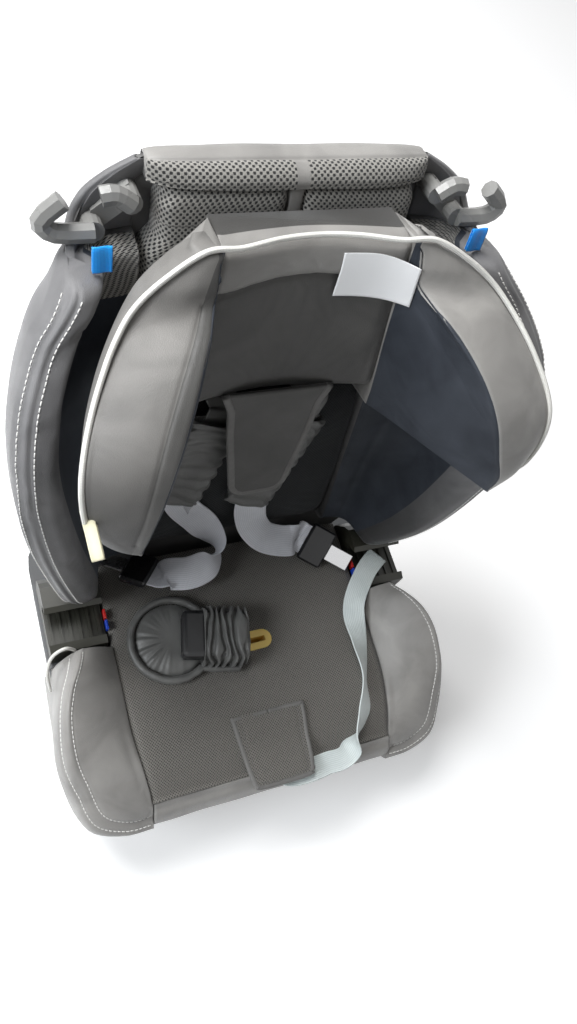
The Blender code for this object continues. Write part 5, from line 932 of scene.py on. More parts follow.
# %% Bindings
def binding(name, line, inward, width, thick, body, slot):
    """A folded tape over an edge: a flat round section whose wide axis points inward."""
    ahead = directions(line)
    inward = unit(inward - ahead * (inward * ahead).sum(axis=1, keepdims=True))
    up = np.cross(ahead, inward)
    turns = np.linspace(0, 2 * math.pi, 16, endpoint=False)
    wide = squared(np.cos(turns), 0.75)[:, None] * width / 2 + width * 0.36
    high = squared(np.sin(turns), 0.70)[:, None] * thick / 2
    number = np.arange(len(line))[:, None, None]
    wave = 1 + 0.05 * np.sin(number * 1.7) + 0.04 * np.sin(number * 0.61)
    settle(skin(name, line[:, None] + inward[:, None] * wide + up[:, None] * high * wave, BINDING), body, slot)


FLAP_CORNER = 0.93      # the share of the flap's length where its end starts to turn in


def flap_binding():
    """The flap's edge all the way round, and the direction inward at each of its points."""
    start = [flap_point(0.012, across, 0.5) for across in np.linspace(0.0, -0.97, 14)]
    left = [flap_point(share, -1.0, 0.5) for share in np.linspace(0.03, FLAP_CORNER, 60)]
    corner = flap_point(FLAP_CORNER, 0.0, 0.5)
    end = []
    for turn in np.linspace(0, 1, 34)[1:-1]:
        share = FLAP_CORNER + (1 - FLAP_CORNER) * math.sin(math.pi * turn) ** 0.45
        half = FLAP_SHARES[-2][1] if share < 0.94 else table_at(FLAP_SHARES, share)[0]
        reach = table_at(FLAP_SHARES, FLAP_CORNER)[0] / max(half, 0.05)
        end.append(flap_point(share, -math.cos(math.pi * turn) * reach, 0.5))
    down = [flap_point(0.3, 0.0, 0.5) - flap_point(0.012, 0.0, 0.5)] * len(start)
    edge = start + left + end + list(mirrored(left[::-1], -1)) + list(mirrored(start[::-1], -1))
    inward = down + [(1.0, 0, 0)] * len(left) + [corner - place for place in end] + [(-1.0, 0, 0)] * len(left) + down
    return np.array(edge), np.array(inward)


edge, inward = flap_binding()
binding("front_flap_binding", edge, inward, 0.0052, 0.0054, "front_flap", "smooth_fabric")

# %% [markdown]
# ## Adjuster strap
# A narrower, greener strap leaves the adjuster at the front, turns on its edge round the
# bolster and lies twisted on the seat towards the right hip. It is drawn through listed
# stations, each with the direction across the strap there.

# %% Adjuster strap
PULL_WIDTH, WEB_THICK = 0.025, 0.0016
PULL_START = ADJUSTER_TOP - 0.009 + 0.001 + WEB_THICK
PULL_TOP = seat_height(0.147, -SEAT_FRONT / 2)
PULL_STATIONS = (
    ((0.000, -0.899, PULL_START), (1.0, 0.0, 0.0)), ((0.000, -0.914, PULL_START), (1.0, 0.0, 0.0)),
    ((0.009, -0.944, PULL_START), (0.92, 0.40, 0.0)), ((0.038, -0.966, PULL_START), (0.62, 0.78, 0.0)),
    ((0.085, -0.976, PULL_START), (0.20, 0.98, 0.0)), ((0.150, -0.977, PULL_START), (0.02, 1.00, 0.05)),
    ((0.240, -0.968, PULL_START), (0.0, 0.95, 0.30)), ((0.360, -0.950, 0.740 * SEAT_TOP), (0.35, 0.80, 0.35)),
    ((0.470, -0.780, 0.835 * SEAT_TOP), (0.60, 0.50, -0.15)),
    ((0.530, -0.600, PULL_TOP + PULL_WIDTH * 0.44), (0.50, 0.20, -0.80)),
    ((0.570, -0.400, PULL_TOP + PULL_WIDTH / 3), (0.90, 0.00, -0.45)),
    ((0.600, -0.200, PULL_TOP + PULL_WIDTH * 0.42), (0.93, -0.25, 0.38)),
    ((0.720, -0.030, PULL_TOP + PULL_WIDTH * 0.55), (0.85, -0.45, 0.0)),
    ((0.830, 0.060, PULL_TOP + PULL_WIDTH * 0.50), (0.70, -0.70, 0.0)))
pull_stations = [((x * SEAT_HALF, y * SEAT_FRONT, z), side) for (x, y, z), side in PULL_STATIONS]
pull_strap = strap("adjuster_pull_strap", pull_stations, PULL_WIDTH, WEB_THICK, PULL_WEBBING, steps=14, curl=0.0006)
settle(pull_strap, "base", "pull_webbing", "harness_pull_strap")

# %% [markdown]
# ## Elastic cord
# The cover is held down at the left hip by a loop of white elastic. It is a thin round
# tube along a short curve.

# %% Elastic cord
ELASTIC_RADIUS = 0.0018
elastic_y = -0.125 * SEAT_FRONT + ELASTIC_RADIUS + 0.0003
GUIDE_TOP = 0.190
elastic_points = [(x * SEAT_HALF, y * elastic_y, GUIDE_TOP + z * ELASTIC_RADIUS) for x, y, z in (
    (-0.840, 1.0, -8), (-0.890, 1.0, 1), (-0.955, 1.2, -2), (-0.985, 1.7, -10), (-0.980, 2.3, -21))]
elastic = round_tube("elastic_cord", refine(elastic_points, 12), ELASTIC_RADIUS, PIPING, sides=10)
settle(elastic, "base", "piping", "cover_elastic_left")

# %% [markdown]
# ## Backrest: lower pad, top band and mesh
# Between the wings the cover is flat: a padded panel of fine mesh below the strap slots,
# two panels of coarse mesh above them with a narrow leatherette strip between, and a thick
# rolled band that hooks over the shell's top edge.

# %% Backrest sizes
PANEL_REAR, PANEL_WALL, COVER_FRONT = 0.036, 0.004, 0.069
WING_ROOT, WING_TOP, WING_HALF, WING_DEPTH, WING_BOTTOM = 0.118, 0.476, 0.230, 0.186, 0.075
MESH_TOP, MESH_BRIDGE, SLOT_HALF_WIDTH = 0.510, 0.4835, 0.040
STRAP_EXIT_BOTTOM, STRAP_EXIT_TOP = 0.296, 0.310
BAND_TOP, BAND_HALF = 0.5288, 0.112
WING_PAD_TOP, SHELL_TOP = 0.468, WING_TOP * 1.1
PAD_BACK = -PANEL_REAR - PANEL_WALL - 0.0004

# %% Lower back pad
def lower_pad_rows():
    rows = []
    half, back = WING_ROOT - 0.0008, PAD_BACK
    bottom, top = 0.074, STRAP_EXIT_BOTTOM
    for share in np.linspace(0, 1, 110):
        z = bottom + (top - bottom) * share
        soft = 1 - 0.30 * (2 * share - 1) ** 6
        end = math.sqrt(max(0.0, 1 - (max(0.0, abs(2 * share - 1) - 0.93) / 0.07) ** 2)) * 0.5 + 0.5
        depth = (-back + -COVER_FRONT * soft) * end
        ring = [(half, back, z), (-half, back, z)]
        for across in np.linspace(-1, 1, 91):
            edge = (1 - abs(across) ** 14) * 0.28 + 0.72
            ring.append((half * across, back + depth * edge, z))
        rows.append(ring)
    return rows


lower_rows = leaned(lower_pad_rows())
# The lower pad wears the fine mesh in its darker copy, which is painted shade.
lower_pad = skin("back_lower_cover", lower_rows, SHADED_FINE_MESH)
row, column = grid_places(lower_rows)
plump(lower_pad, (column < 6) | (column > 88) | (row < 3) | (row > 106), pressure=2.0, cap=0.0025)
crease(lower_pad, 0.0016, (12.0, 12.0, 20.0), 21)
settle(lower_pad, "backrest", "smooth_fabric", "back_lower_pad", fill=0.6)

# %% Coarse mesh panels
def mesh_panel_rows(side):
    """Front of a panel with soft edges, from the strap slots up to the band."""
    back, root = PAD_BACK, WING_ROOT - 0.0015
    rows = []
    for z in np.concatenate((np.linspace(STRAP_EXIT_TOP, MESH_BRIDGE - 0.0005, 80),
                             np.linspace(MESH_BRIDGE + 0.0005, MESH_TOP, 16))):
        inner = SLOT_HALF_WIDTH if z < MESH_BRIDGE else 0.0045
        outer = root * np.interp(z, (0.457, 0.4705, 0.497, 0.510), (1.0, 0.90, 0.90, 0.86))
        ring = [(side * inner, back, z)]
        for share in np.linspace(0, 1, 44):
            edge = min(share, 1 - share) * (outer - inner)
            soft = 1 - math.exp(-edge / 0.0035)
            end = 1 - math.exp(-(z - STRAP_EXIT_TOP) / 0.004 - 0.6)
            tip = 1 - math.exp(-(MESH_TOP - z) / 0.003 - 0.9)
            depth = (COVER_FRONT + back) * (0.55 + 0.45 * soft) * end * tip
            ring.append((side * (inner + (outer - inner) * share), back - depth, z))
        ring.append((side * outer, back, z))
        rows.append(ring)
    return rows


for side, word in SIDES:
    panel = skin("top_mesh_cover_" + word, leaned(mesh_panel_rows(side)), COARSE_MESH)
    crease(panel, 0.0008, (18.0, 18.0, 18.0), 31)
    settle(panel, "backrest", "spacer_mesh", "top_mesh_" + word, fill=0.4)

STRIP_HALF, STRIP_BACK = 0.0052, PAD_BACK - 0.0006
strip_section = [(STRIP_HALF * share, -COVER_FRONT * (0.985 - 0.012 * share ** 2) + 0.0022)
                 for share in np.linspace(-1, 1, 9)] + [(STRIP_HALF, STRIP_BACK), (-STRIP_HALF, STRIP_BACK)]
strip_rows = [[(x, y, z) for x, y in strip_section] for z in np.linspace(MESH_BRIDGE - 0.003, MESH_TOP + 0.001, 16)]
settle(skin("top_centre_strip", leaned(strip_rows), LEATHERETTE), "backrest", "leatherette")

# %% Top band
BAND_SECTIONS, BAND_SEAM, BAND_BRIDGE = 130, 30, 3.2


def top_band_rows():
    """Sections of the band. Its front is mesh up to column BAND_SEAM, but for a bridge at its middle."""
    top, bottom = SHELL_TOP, MESH_TOP + 0.0003
    slot_front, slot_rear = -PANEL_REAR - PANEL_WALL * 3, -PANEL_REAR + 0.0005
    wall_front = PAD_BACK - 0.0002
    under = [(slot_rear, bottom), (slot_rear, top + 0.0009), (wall_front, top + 0.0009),
             (wall_front, bottom + 0.0004)]
    rows = []
    for share in np.linspace(-1, 1, BAND_SECTIONS):
        squeeze = 0.25 + 0.75 * (1 - abs(share) ** 5) ** 0.5
        high = top + 0.0011 + (BAND_TOP - top - 0.0011) * squeeze
        front = slot_front - (COVER_FRONT + slot_front) * squeeze
        rear = slot_rear + PANEL_WALL * 1.3 * squeeze
        over = refine([(slot_front, bottom + 0.0004), (front * 0.94 + slot_front * 0.06, bottom),
                       (front - 0.0006 * squeeze, bottom + 0.003), (front - 0.0006 * squeeze, bottom + 0.007),
                       (front + 0.004 * squeeze, high - 0.0045 * squeeze),
                       (front + 0.012 * squeeze, high - 0.0012 * squeeze), (front * 0.55 + rear * 0.45, high),
                       (front * 0.25 + rear * 0.75, high), (rear, high * 0.7 + bottom * 0.3), (rear, bottom)], 6)
        rows.append([(share * BAND_HALF, y, z) for y, z in list(over) + under])
    return rows


band_rows = leaned(top_band_rows())
top_band = skin("top_band_cover", band_rows, LEATHERETTE)
row, column = grid_places(band_rows)
plump(top_band, (column < 4) | (column > 38) | (column == BAND_SEAM), pressure=2.0, cap=0.0015)
patch(top_band, band_rows, COARSE_MESH,
      lambda row, column: column < BAND_SEAM and abs(row - (BAND_SECTIONS - 1) / 2) > BAND_BRIDGE)
dent(top_band, [band_rows[2:-2, BAND_SEAM]], 0.0011, 0.0016)
crease(top_band, 0.0010, (20.0, 9.0, 9.0), 41)
settle(top_band, "backrest", "leatherette", "top_band", fill=0.8)

# %% [markdown]
# ## Backrest wings
# Each wing of the shell wears a padded sleeve: smooth dark fabric inside, a rounded nose
# over the edge, and a lip that grips the shell from outside. A section is drawn at each
# height with the shell's own curve, so the sleeve leaves the plastic room all the way.

# %% Backrest wing curves
WING_EDGE_SHARES = np.array((
    (0.150, 0.790, 0.600), (0.334, 0.865, 0.860), (0.523, 0.952, 0.984), (0.664, 0.996, 1.000),
    (0.761, 1.000, 0.973), (0.830, 0.990, 0.884), (0.874, 0.970, 0.801), (0.914, 0.945, 0.710),
    (0.947, 0.915, 0.656), (0.977, 0.875, 0.602), (1.000, 0.825, 0.571)))
SHELL_EDGE_SHARES = np.array((
    (0.150, 0.765, 0.520), (0.334, 0.840, 0.785), (0.523, 0.927, 0.910), (0.664, 0.971, 0.925),
    (0.761, 0.975, 0.898), (0.830, 0.949, 0.810), (0.874, 0.911, 0.727), (0.914, 0.859, 0.636),
    (0.947, 0.800, 0.582), (0.977, 0.750, 0.450), (1.000, 0.730, 0.290), (1.045, 0.680, 0.240),
    (1.075, 0.600, 0.225), (1.100, 0.500, 0.220)))


def wing_edge(shares, z):
    x, y = table_at(shares, z / WING_TOP)
    return np.array((x * WING_HALF, -y * WING_DEPTH))


def arc_of(start, control, end, steps):
    """A quadratic Bezier curve, as the shell's moulded walls have."""
    t = np.linspace(0, 1, steps + 1)[:, None]
    return np.array(start) * (1 - t) ** 2 + np.array(control) * 2 * t * (1 - t) + np.array(end) * t ** 2


def wing_shell_line(z, steps=24):
    end = wing_edge(SHELL_EDGE_SHARES, z)
    root = min(WING_ROOT, end[0] - 0.030)
    return arc_of((root, -PANEL_REAR), (end[0] * 0.985, -PANEL_REAR - PANEL_WALL), end, steps)


WING_PAD = 0.022


def end_of(line):
    """A flat line's direction at its end, and the direction to the right of it."""
    ahead = unit(line[-1] - line[-2])
    return ahead, np.array((ahead[1], -ahead[0]))


def wing_cover_ring(z, full):
    """Section of a wing's sleeve. full goes down to 0.34 where the sleeve ends."""
    line = wing_shell_line(z)
    last = len(line) - 1
    ahead, into = end_of(line)
    shares = np.arange(last + 1) / last
    root_depth = COVER_FRONT - PANEL_REAR
    depth = root_depth + (PANEL_WALL + WING_PAD - root_depth) * np.minimum(1.0, 1.6 * shares)
    core = offset(line, PANEL_WALL / 2)
    inner = offset(line, depth)
    inner[0] = (line[0][0], -COVER_FRONT)
    inner = core + (inner - core) * full
    edge, reach = line[-1], max((wing_edge(WING_EDGE_SHARES, z) - line[-1]) @ ahead, 0.007)
    nose = [edge + (ahead * reach * far + into * deep) * (0.35 + 0.65 * full) for far, deep in (
        (0.55, PANEL_WALL + WING_PAD * 0.82), (0.95, WING_PAD * 0.5), (1.0, PANEL_WALL * 0.5), (0.6, -0.006))]
    lip = core + (offset(line, -0.008) - core) * full
    turn = refine(np.concatenate(([inner[-3]], nose, [lip[last - 1], lip[last - 3]])), 6)
    outer = np.concatenate((inner[:-2], turn[4:], lip[last - 4:last - 9:-1]))
    clear_out, clear_in = offset(line, -0.0005), offset(line, PANEL_WALL + 0.0005)
    tip = edge + ahead * 0.0008
    tips = [tip - into * 0.0005, tip + into * (PANEL_WALL + 0.0005)]
    inside = np.concatenate((clear_out[last - 8:], tips, clear_in[::-1]))
    inside[-1, 0] = outer[0, 0]
    return np.concatenate((outer, inside))


WING_LEVELS = WING_BOTTOM + 0.0003 + (WING_PAD_TOP - WING_BOTTOM - 0.0003) * np.linspace(0, 1, 150) ** 0.96
WING_MESH_BOTTOM = 0.425


def wing_cover_rows(side):
    rows = []
    for z in WING_LEVELS:
        ends = min((z - WING_LEVELS[0]) / 0.012, (WING_LEVELS[-1] - z) / 0.009, 1.0)
        full = 0.34 + 0.66 * math.sqrt(1 - (1 - ends) ** 2)
        rows.append([(x, y, z) for x, y in wing_cover_ring(z, full)])
    return leaned(mirrored(rows, side))


wing_covers = {}
for side, word in SIDES:
    rows = wing_cover_rows(side)
    # The sleeve's leatherette is painted darker towards its bottom, as painted shade.
    cover = skin("wing_cover_" + word, rows, WING_LEATHERETTE)
    row, column = grid_places(rows)
    plump(cover, (column < 2) | (column > 44) | (row < 4) | (row > 145), pressure=2.0, cap=0.0025)
    wing_covers[word] = (cover, rows)
    patch(cover, rows, NAVY_FABRIC, lambda row, column: column < 22)
    patch(cover, rows, COARSE_MESH, lambda row, column: column < 19 and WING_LEVELS[row] > WING_MESH_BOTTOM)
    crease(cover, 0.0014, (11.0, 11.0, 16.0), 51 if side < 0 else 57)
    settle(cover, "backrest", "smooth_fabric", "back_wing_pad_" + word, fill=0.7)

# %% [markdown]
# Two seams follow each wing's outer edge, and the padding between them stands up as a
# band. Each seam is dented into the cover, and a line of pale thread runs outside it.

# %% Wing seams
WING_SEAMS, WING_THREADS = (35, 40), (33, 42)


def columns_of(rows, numbers):
    return [rows[8:-2, number] for number in numbers]


for word, (cover, rows) in wing_covers.items():
    dent(cover, columns_of(rows, WING_SEAMS), 0.0016, 0.0016)
    stitch_row("wing_stitching_" + word, columns_of(rows, WING_THREADS), tree_of(cover), "backrest")

# %% [markdown]
# The cover goes on over the shell's upper corners as thin leather, from the wing's sleeve
# to the top band, and grips the rim. The belt guides stand out through it. Each section
# is the shell's own curve, moved out by the thickness of the leather.

# %% Corner covers
def corner_ring(z, rise):
    """Thin leather round the shell's rim at one height. rise lifts its front off the plastic."""
    line = wing_shell_line(z, 30)
    last = len(line) - 1
    ahead, into = end_of(line)
    share = np.arange(last + 1) / last
    front = offset(line, PANEL_WALL + 0.0010 + rise * np.sin(math.pi * np.clip(share, 0, 0.97)) ** 0.5)
    tip = line[-1]
    nose = [tip + ahead * far + into * deep for far, deep in (
        (0.0024, PANEL_WALL + 0.0006), (0.0034, PANEL_WALL * 0.5), (0.0026, -0.0010), (0.0, -0.0020))]
    behind, under = offset(line, -0.0018), offset(line, -0.0005)
    inner = offset(line, PANEL_WALL + 0.0004)
    return np.concatenate((front, nose, behind[last - 1:last - 7:-1], under[last - 6:], [tip + ahead * 0.0006],
                           [tip + ahead * 0.0006 + into * PANEL_WALL], inner[::-1]))


def corner_rows():
    low, high = WING_PAD_TOP - 0.0010, SHELL_TOP - 0.0010
    rows = []
    for share in np.linspace(0, 1, 44):
        z = low + (high - low) * share
        rise = 0.0030 * math.sin(math.pi * min(1.0, share + 0.04)) ** 0.6 + 0.0004
        rows.append([(x, y, z) for x, y in corner_ring(z, rise)])
    return rows


for side, word in SIDES:
    corner = skin("corner_cover_" + word, leaned(mirrored(corner_rows(), side)), WING_LEATHERETTE)
    crease(corner, 0.0010, (14.0, 14.0, 14.0), 71)
    settle(corner, "backrest", "leatherette")

# %% [markdown]
# ## Blue tabs
# A small ribbon loop stands at the top of each wing. It is one strip of satin folded
# over, so it has two leaves and a round fold.

# %% Blue tabs
RIBBON_HALF_THICK = 0.0003
RIBBON_FOLD = np.array(((-1, 0), (-1, 0.45), (-1.1, 0.85), (0, 1), (1.1, 0.85), (1, 0.45), (1, 0)))


def ribbon_loop(name, foot, across, up, normal, width, height, gap, finish_of, body, slot, *nodes):
    """A folded ribbon that stands on its foot. gap is half the distance between its leaves."""
    foot, across, up, normal = (np.asarray(value, float) for value in (foot, across, up, normal))
    middle = refine(RIBBON_FOLD * (gap, height), 5)
    outline = np.concatenate((offset(middle, -RIBBON_HALF_THICK), offset(middle, RIBBON_HALF_THICK)[::-1]))
    rows = []
    for share in np.linspace(-1, 1, 14):
        bow = 0.0005 * math.sin(share * 3.0)
        rows.append([foot + across * share * width / 2 + normal * (a + bow) + up * b for a, b in outline])
    settle(skin(name, rows, finish_of), body, slot, *nodes)


TAB_X, TAB_WIDTH, TAB_HEIGHT = 0.1520, 0.014, 0.020
tab_edge = wing_edge(WING_EDGE_SHARES, WING_PAD_TOP)
for side, word in SIDES:
    foot = leaned((side * TAB_X, tab_edge[1] + TAB_WIDTH, WING_PAD_TOP + 0.001))
    ribbon_loop("blue_tab_loop_" + word, foot, (1, 0, 0), leaned_way((0, 0, 1)), leaned_way((0, 1, 0)),
                TAB_WIDTH, TAB_HEIGHT, 0.0011, BLUE_RIBBON, "backrest", "blue_fabric", "blue_tab_" + word)

# %% [markdown]
# ## Headrest
# The headrest is a shell with two deep wings. Its cover has a dark centre panel, two
# wings with an inner side and a broad front face, and an off-white piping where the face
# meets the outside. All the curves are shares of its height, half width and depth.

# %% Headrest curves
HEAD_TOP, HEAD_HALF, HEAD_DEPTH, HEAD_PANEL, HEAD_WALL = 0.506, 0.189, 0.243, 0.075, 0.0035
HEAD_BOTTOM, HEAD_SHELL_TOP, HEAD_PAD_TOP, HEAD_LIP = 0.318, 0.497, 0.500, 0.006
CENTRE_BOTTOM, CENTRE_FRONT, CENTRE_HALF, CENTRE_TOP_HALF, CENTRE_BEND = 0.340, 0.103, 0.086, 0.075, 0.013
PIPING_RADIUS = 0.0022
PIPING_SHARES = np.array((
    (0.625, 0.935, 0.880), (0.684, 0.985, 0.930), (0.781, 1.000, 0.897), (0.858, 0.915, 0.759),
    (0.925, 0.767, 0.609), (0.968, 0.603, 0.551), (0.990, 0.470, 0.525)))
PIPING_TOP_SHARES = ((0.330, 0.500), (0.160, 0.465), (0.000, 0.453))
HEAD_SEAM_SHARES = np.array((
    (0.625, 0.804, 0.965), (0.684, 0.788, 1.000), (0.725, 0.751, 0.988), (0.792, 0.693, 0.947),
    (0.844, 0.630, 0.885), (0.883, 0.561, 0.798), (0.909, 0.487, 0.683), (0.923, 0.430, 0.565),
    (0.958, 0.416, 0.543), (0.990, 0.408, 0.520)))


def head_point(shares, z):
    x, y = table_at(shares, z / HEAD_TOP)
    return np.array((x * HEAD_HALF, -y * HEAD_DEPTH))


def head_shell_line(z, steps=21):
    edge = head_point(PIPING_SHARES, z)
    end = np.array((edge[0] - HEAD_LIP * 1.2, edge[1] + HEAD_LIP * 2))
    root = min(0.068, end[0] * 0.8)
    return arc_of((root, -HEAD_PANEL), (end[0] * 0.86, -HEAD_PANEL - HEAD_WALL), end, steps)


def centre_share(z):
    return min(1.0, max(0.0, (z - CENTRE_BOTTOM) / (HEAD_PAD_TOP - CENTRE_BOTTOM)))


def centre_half(z):
    return CENTRE_HALF + (CENTRE_TOP_HALF - CENTRE_HALF) * centre_share(z)


def centre_front(x, z):
    top_front = PIPING_TOP_SHARES[-1][-1] * HEAD_DEPTH
    middle = CENTRE_FRONT + (top_front - CENTRE_FRONT) * centre_share(z) ** 2
    return -(middle + CENTRE_BEND * (x / centre_half(z)) ** 2)


# %% Headrest wing covers
def head_wing_ring(z, full):
    """Section of a wing's cover from the centre panel round the face to the outer lip, and
    back along the shell. full below one draws it in towards the shell's middle."""
    line = head_shell_line(min(max(z, HEAD_BOTTOM + HEAD_LIP), HEAD_SHELL_TOP))
    last = len(line) - 1
    half = centre_half(z) + 0.0004
    corner = np.array((half, centre_front(half, z)))
    seam, pipe = head_point(HEAD_SEAM_SHARES, z), head_point(PIPING_SHARES, z)
    length = np.linalg.norm(pipe - seam)
    swell = length * 0.10
    front = np.array((pipe[1] - seam[1], seam[0] - pipe[0])) / length
    front = front if front[1] < 0 else -front
    inner = [corner + (seam - corner) * share + np.array((0.4025, -0.1725)) * swell * math.sin(math.pi * share)
             for share in (0.0, 0.14, 0.33, 0.55, 0.78, 0.93)]
    face = [seam + (pipe - seam) * share + front * swell * math.sin(math.pi * share) ** 0.8
            for share in (0.0, 0.08, 0.25, 0.5, 0.75, 0.92, 1.0)]
    lip = offset(line, -HEAD_LIP)
    core = offset(line, HEAD_WALL / 2)
    outer = refine(np.array(inner + face + [lip[last], lip[last - 2], lip[last - 4]]), 6)
    inside_shell = HEAD_BOTTOM + HEAD_LIP - 0.0004 < z < HEAD_SHELL_TOP + 0.0004
    gap = HEAD_WALL / 2 + 0.0004 if inside_shell else 0.0001
    clear_out, clear_in = offset(line, HEAD_WALL / 2 - gap), offset(line, HEAD_WALL / 2 + gap)
    ahead = end_of(line)[0] * 0.0008
    keep = [point for point in clear_in[::-1] if point[0] > half + 0.001]
    keep.append((half, np.interp(half, clear_in[:, 0], clear_in[:, 1])))
    back = along(keep, np.linspace(0, len(keep) - 1, 22))
    ring = np.concatenate((outer, clear_out[last - 5:], [clear_out[-1] + ahead, clear_in[-1] + ahead], back))
    if full < 1.0:
        centre = np.array([core[np.argmin(np.linalg.norm(core - point, axis=1))] for point in ring])
        centre[:, 1] = np.minimum(centre[:, 1], ring[:, 1].max())
        ring = centre + (ring - centre) * full
    return ring


def head_wing_rows(side):
    """Sections from the lower lip to the top. The first and last few close the pad."""
    levels = [(HEAD_BOTTOM + HEAD_LIP * step - 0.0006 * (step > 0.9), 0.62 + 0.38 * math.sqrt(1 - (1 - step) ** 2))
              for step in (0.0, 0.35, 0.7, 0.92)]
    levels += [(z, 1.0) for z in np.linspace(HEAD_BOTTOM + HEAD_LIP, HEAD_SHELL_TOP, 100)]
    closing = HEAD_PAD_TOP - HEAD_SHELL_TOP
    levels += [(HEAD_SHELL_TOP + 0.0005 + closing * step, 0.70 + 0.30 * math.sqrt(1 - step ** 2))
               for step in (0.25, 0.6, 0.85, 1.0)]
    rows = [[(x, y, z) for x, y in head_wing_ring(z, full)] for z, full in levels]
    return leaned(mirrored(rows, side))


HEAD_SEAM, HEAD_SIDE_SEAM = 36, 47      # columns of the seams before the face and across it
for side, word in SIDES:
    rows = head_wing_rows(side)
    # The left wing wears the shaded copy of the leatherette, which is painted shade.
    cover = skin("headrest_wing_cover_" + word, rows, SHADED_LEATHERETTE if side < 0 else LEATHERETTE)
    print("headrest sections have", rows.shape[1], "points,", len(rows), "levels")
    row, column = grid_places(rows)
    seam_columns = (column < 2) | (abs(column - HEAD_SEAM) < 2) | (column > 70)
    plump(cover, seam_columns | (row < 5) | (row > 102), pressure=3.0, cap=0.003)
    patch(cover, rows, NAVY_FABRIC, lambda row, column: column < HEAD_SEAM)
    if side < 0:
        patch(cover, rows, DIM_LEATHERETTE, lambda row, column: HEAD_SEAM <= column < HEAD_SIDE_SEAM)
        dent(cover, [rows[14:-20, HEAD_SIDE_SEAM]], 0.0016, 0.0016)
    dent(cover, [rows[6:-6, HEAD_SEAM]], 0.0022, 0.0020)
    crease(cover, 0.0022, (9.0, 9.0, 14.0), 61 if side < 0 else 67)
    settle(cover, "headrest", "leatherette", "headrest_wing_pad_" + word, fill=0.75)
right_head_cover = cover

# %% [markdown]
# The centre panel is a darker pad. A sewn channel crosses it below the top and makes a
# roll there, which wears the wings' lighter leatherette.

# %% Headrest centre panel
CENTRE_LEVELS, CENTRE_SHARES = np.linspace(CENTRE_BOTTOM, HEAD_PAD_TOP, 96), np.linspace(-1, 1, 95)
ROLL_Z, ROLL_SAG, ROLL_HALF = 0.465, 0.010, 0.079


def roll_height(x):
    """Height of the sewn channel under the roll, which sags a little to both sides."""
    return ROLL_Z - ROLL_SAG * (x / ROLL_HALF) ** 2


def centre_panel_rows():
    back = -HEAD_PANEL - HEAD_WALL - 0.0004
    rows = []
    for z in CENTRE_LEVELS:
        half = centre_half(z) - 0.0004
        low_end = min(1.0, (z - CENTRE_BOTTOM) / 0.014)
        high_end = min(1.0, (HEAD_PAD_TOP - z) / 0.010)
        end = (0.70 + 0.30 * math.sqrt(1 - (1 - low_end) ** 2)) * (0.62 + 0.38 * math.sqrt(1 - (1 - high_end) ** 2))
        ring = [(half, back, z), (-half, back, z)]
        for across in CENTRE_SHARES:
            x = half * across
            front = centre_front(x, z)
            tuck = 0.0024 * math.exp(-((1 - abs(across)) * half / 0.0030) ** 2)
            rise = min(max((z - roll_height(x)) / (HEAD_PAD_TOP - roll_height(x)), 0.0), 1.0)
            tuck -= 0.0050 * math.sin(math.pi * rise) ** 0.7 * (1 - across ** 8)
            ring.append((x, back + (front + tuck - back) * end, z))
        rows.append(ring)
    return rows


centre_rows = leaned(centre_panel_rows())
centre_panel = skin("headrest_centre_cover", centre_rows, PANEL_LEATHERETTE)
row, column = grid_places(centre_rows)
plump(centre_panel, (column < 5) | (column > 93) | (row < 2) | (row > 92), pressure=3.0, cap=0.003)
roll_seam = leaned([(x, centre_front(x, roll_height(x)), roll_height(x)) for x in np.linspace(-0.078, 0.078, 50)])
patch(centre_panel, centre_rows, LEATHERETTE, lambda row, column: 2 <= column < 96 and CENTRE_LEVELS[row]
      > roll_height(CENTRE_SHARES[column - 2] * centre_half(CENTRE_LEVELS[row])))
dent(centre_panel, [roll_seam], 0.0030, 0.0030)
crease(centre_panel, 0.0016, (12.0, 12.0, 18.0), 71)
settle(centre_panel, "headrest", "leatherette", "headrest_centre_pad", fill=0.7)

# %% [markdown]
# ## Piping
# Piping is a cord wrapped in a strip of cloth and sewn into the seam. It is a tube along
# the outer edge of both wings and over the top, with a fine weave.

# %% Piping
def piping_line():
    edges = []
    for z in np.linspace(HEAD_BOTTOM + HEAD_LIP, 0.990 * HEAD_TOP, 13):
        edge = head_point(PIPING_SHARES, z)
        edges.append(np.array((edge[0], edge[1], z)))
    points = []
    for index, edge in enumerate(edges):
        ahead = edges[min(index + 1, 12)] - edges[max(index - 1, 0)]
        out = edge - np.array((0.0, edge[1] + HEAD_DEPTH * 0.3, HEAD_TOP * 0.70))
        out -= ahead * (out @ ahead) / (ahead @ ahead)
        place = edge + out / np.linalg.norm(out) * (PIPING_RADIUS + 0.0006)
        points.append((-place[0], place[1], place[2]))
    for x_share, y_share in PIPING_TOP_SHARES:
        points.append((-x_share * HEAD_HALF, -y_share * HEAD_DEPTH - PIPING_RADIUS - 0.0012,
                       HEAD_PAD_TOP + PIPING_RADIUS + 0.0003))
    points += [(-x, y, z) for x, y, z in reversed(points[:-1])]
    return leaned(refine(points, 8))


piping = round_tube("headrest_edge_piping", piping_line(), PIPING_RADIUS, PIPING, sides=14, spacing=0.0022)
settle(piping, "headrest", "piping", "headrest_piping")

# %% [markdown]
# ## Headrest flap
# A bound flap of leatherette hangs from the centre panel over the shoulder pads. Its
# outline narrows towards a rounded end, so it is drawn by its half width at each height.

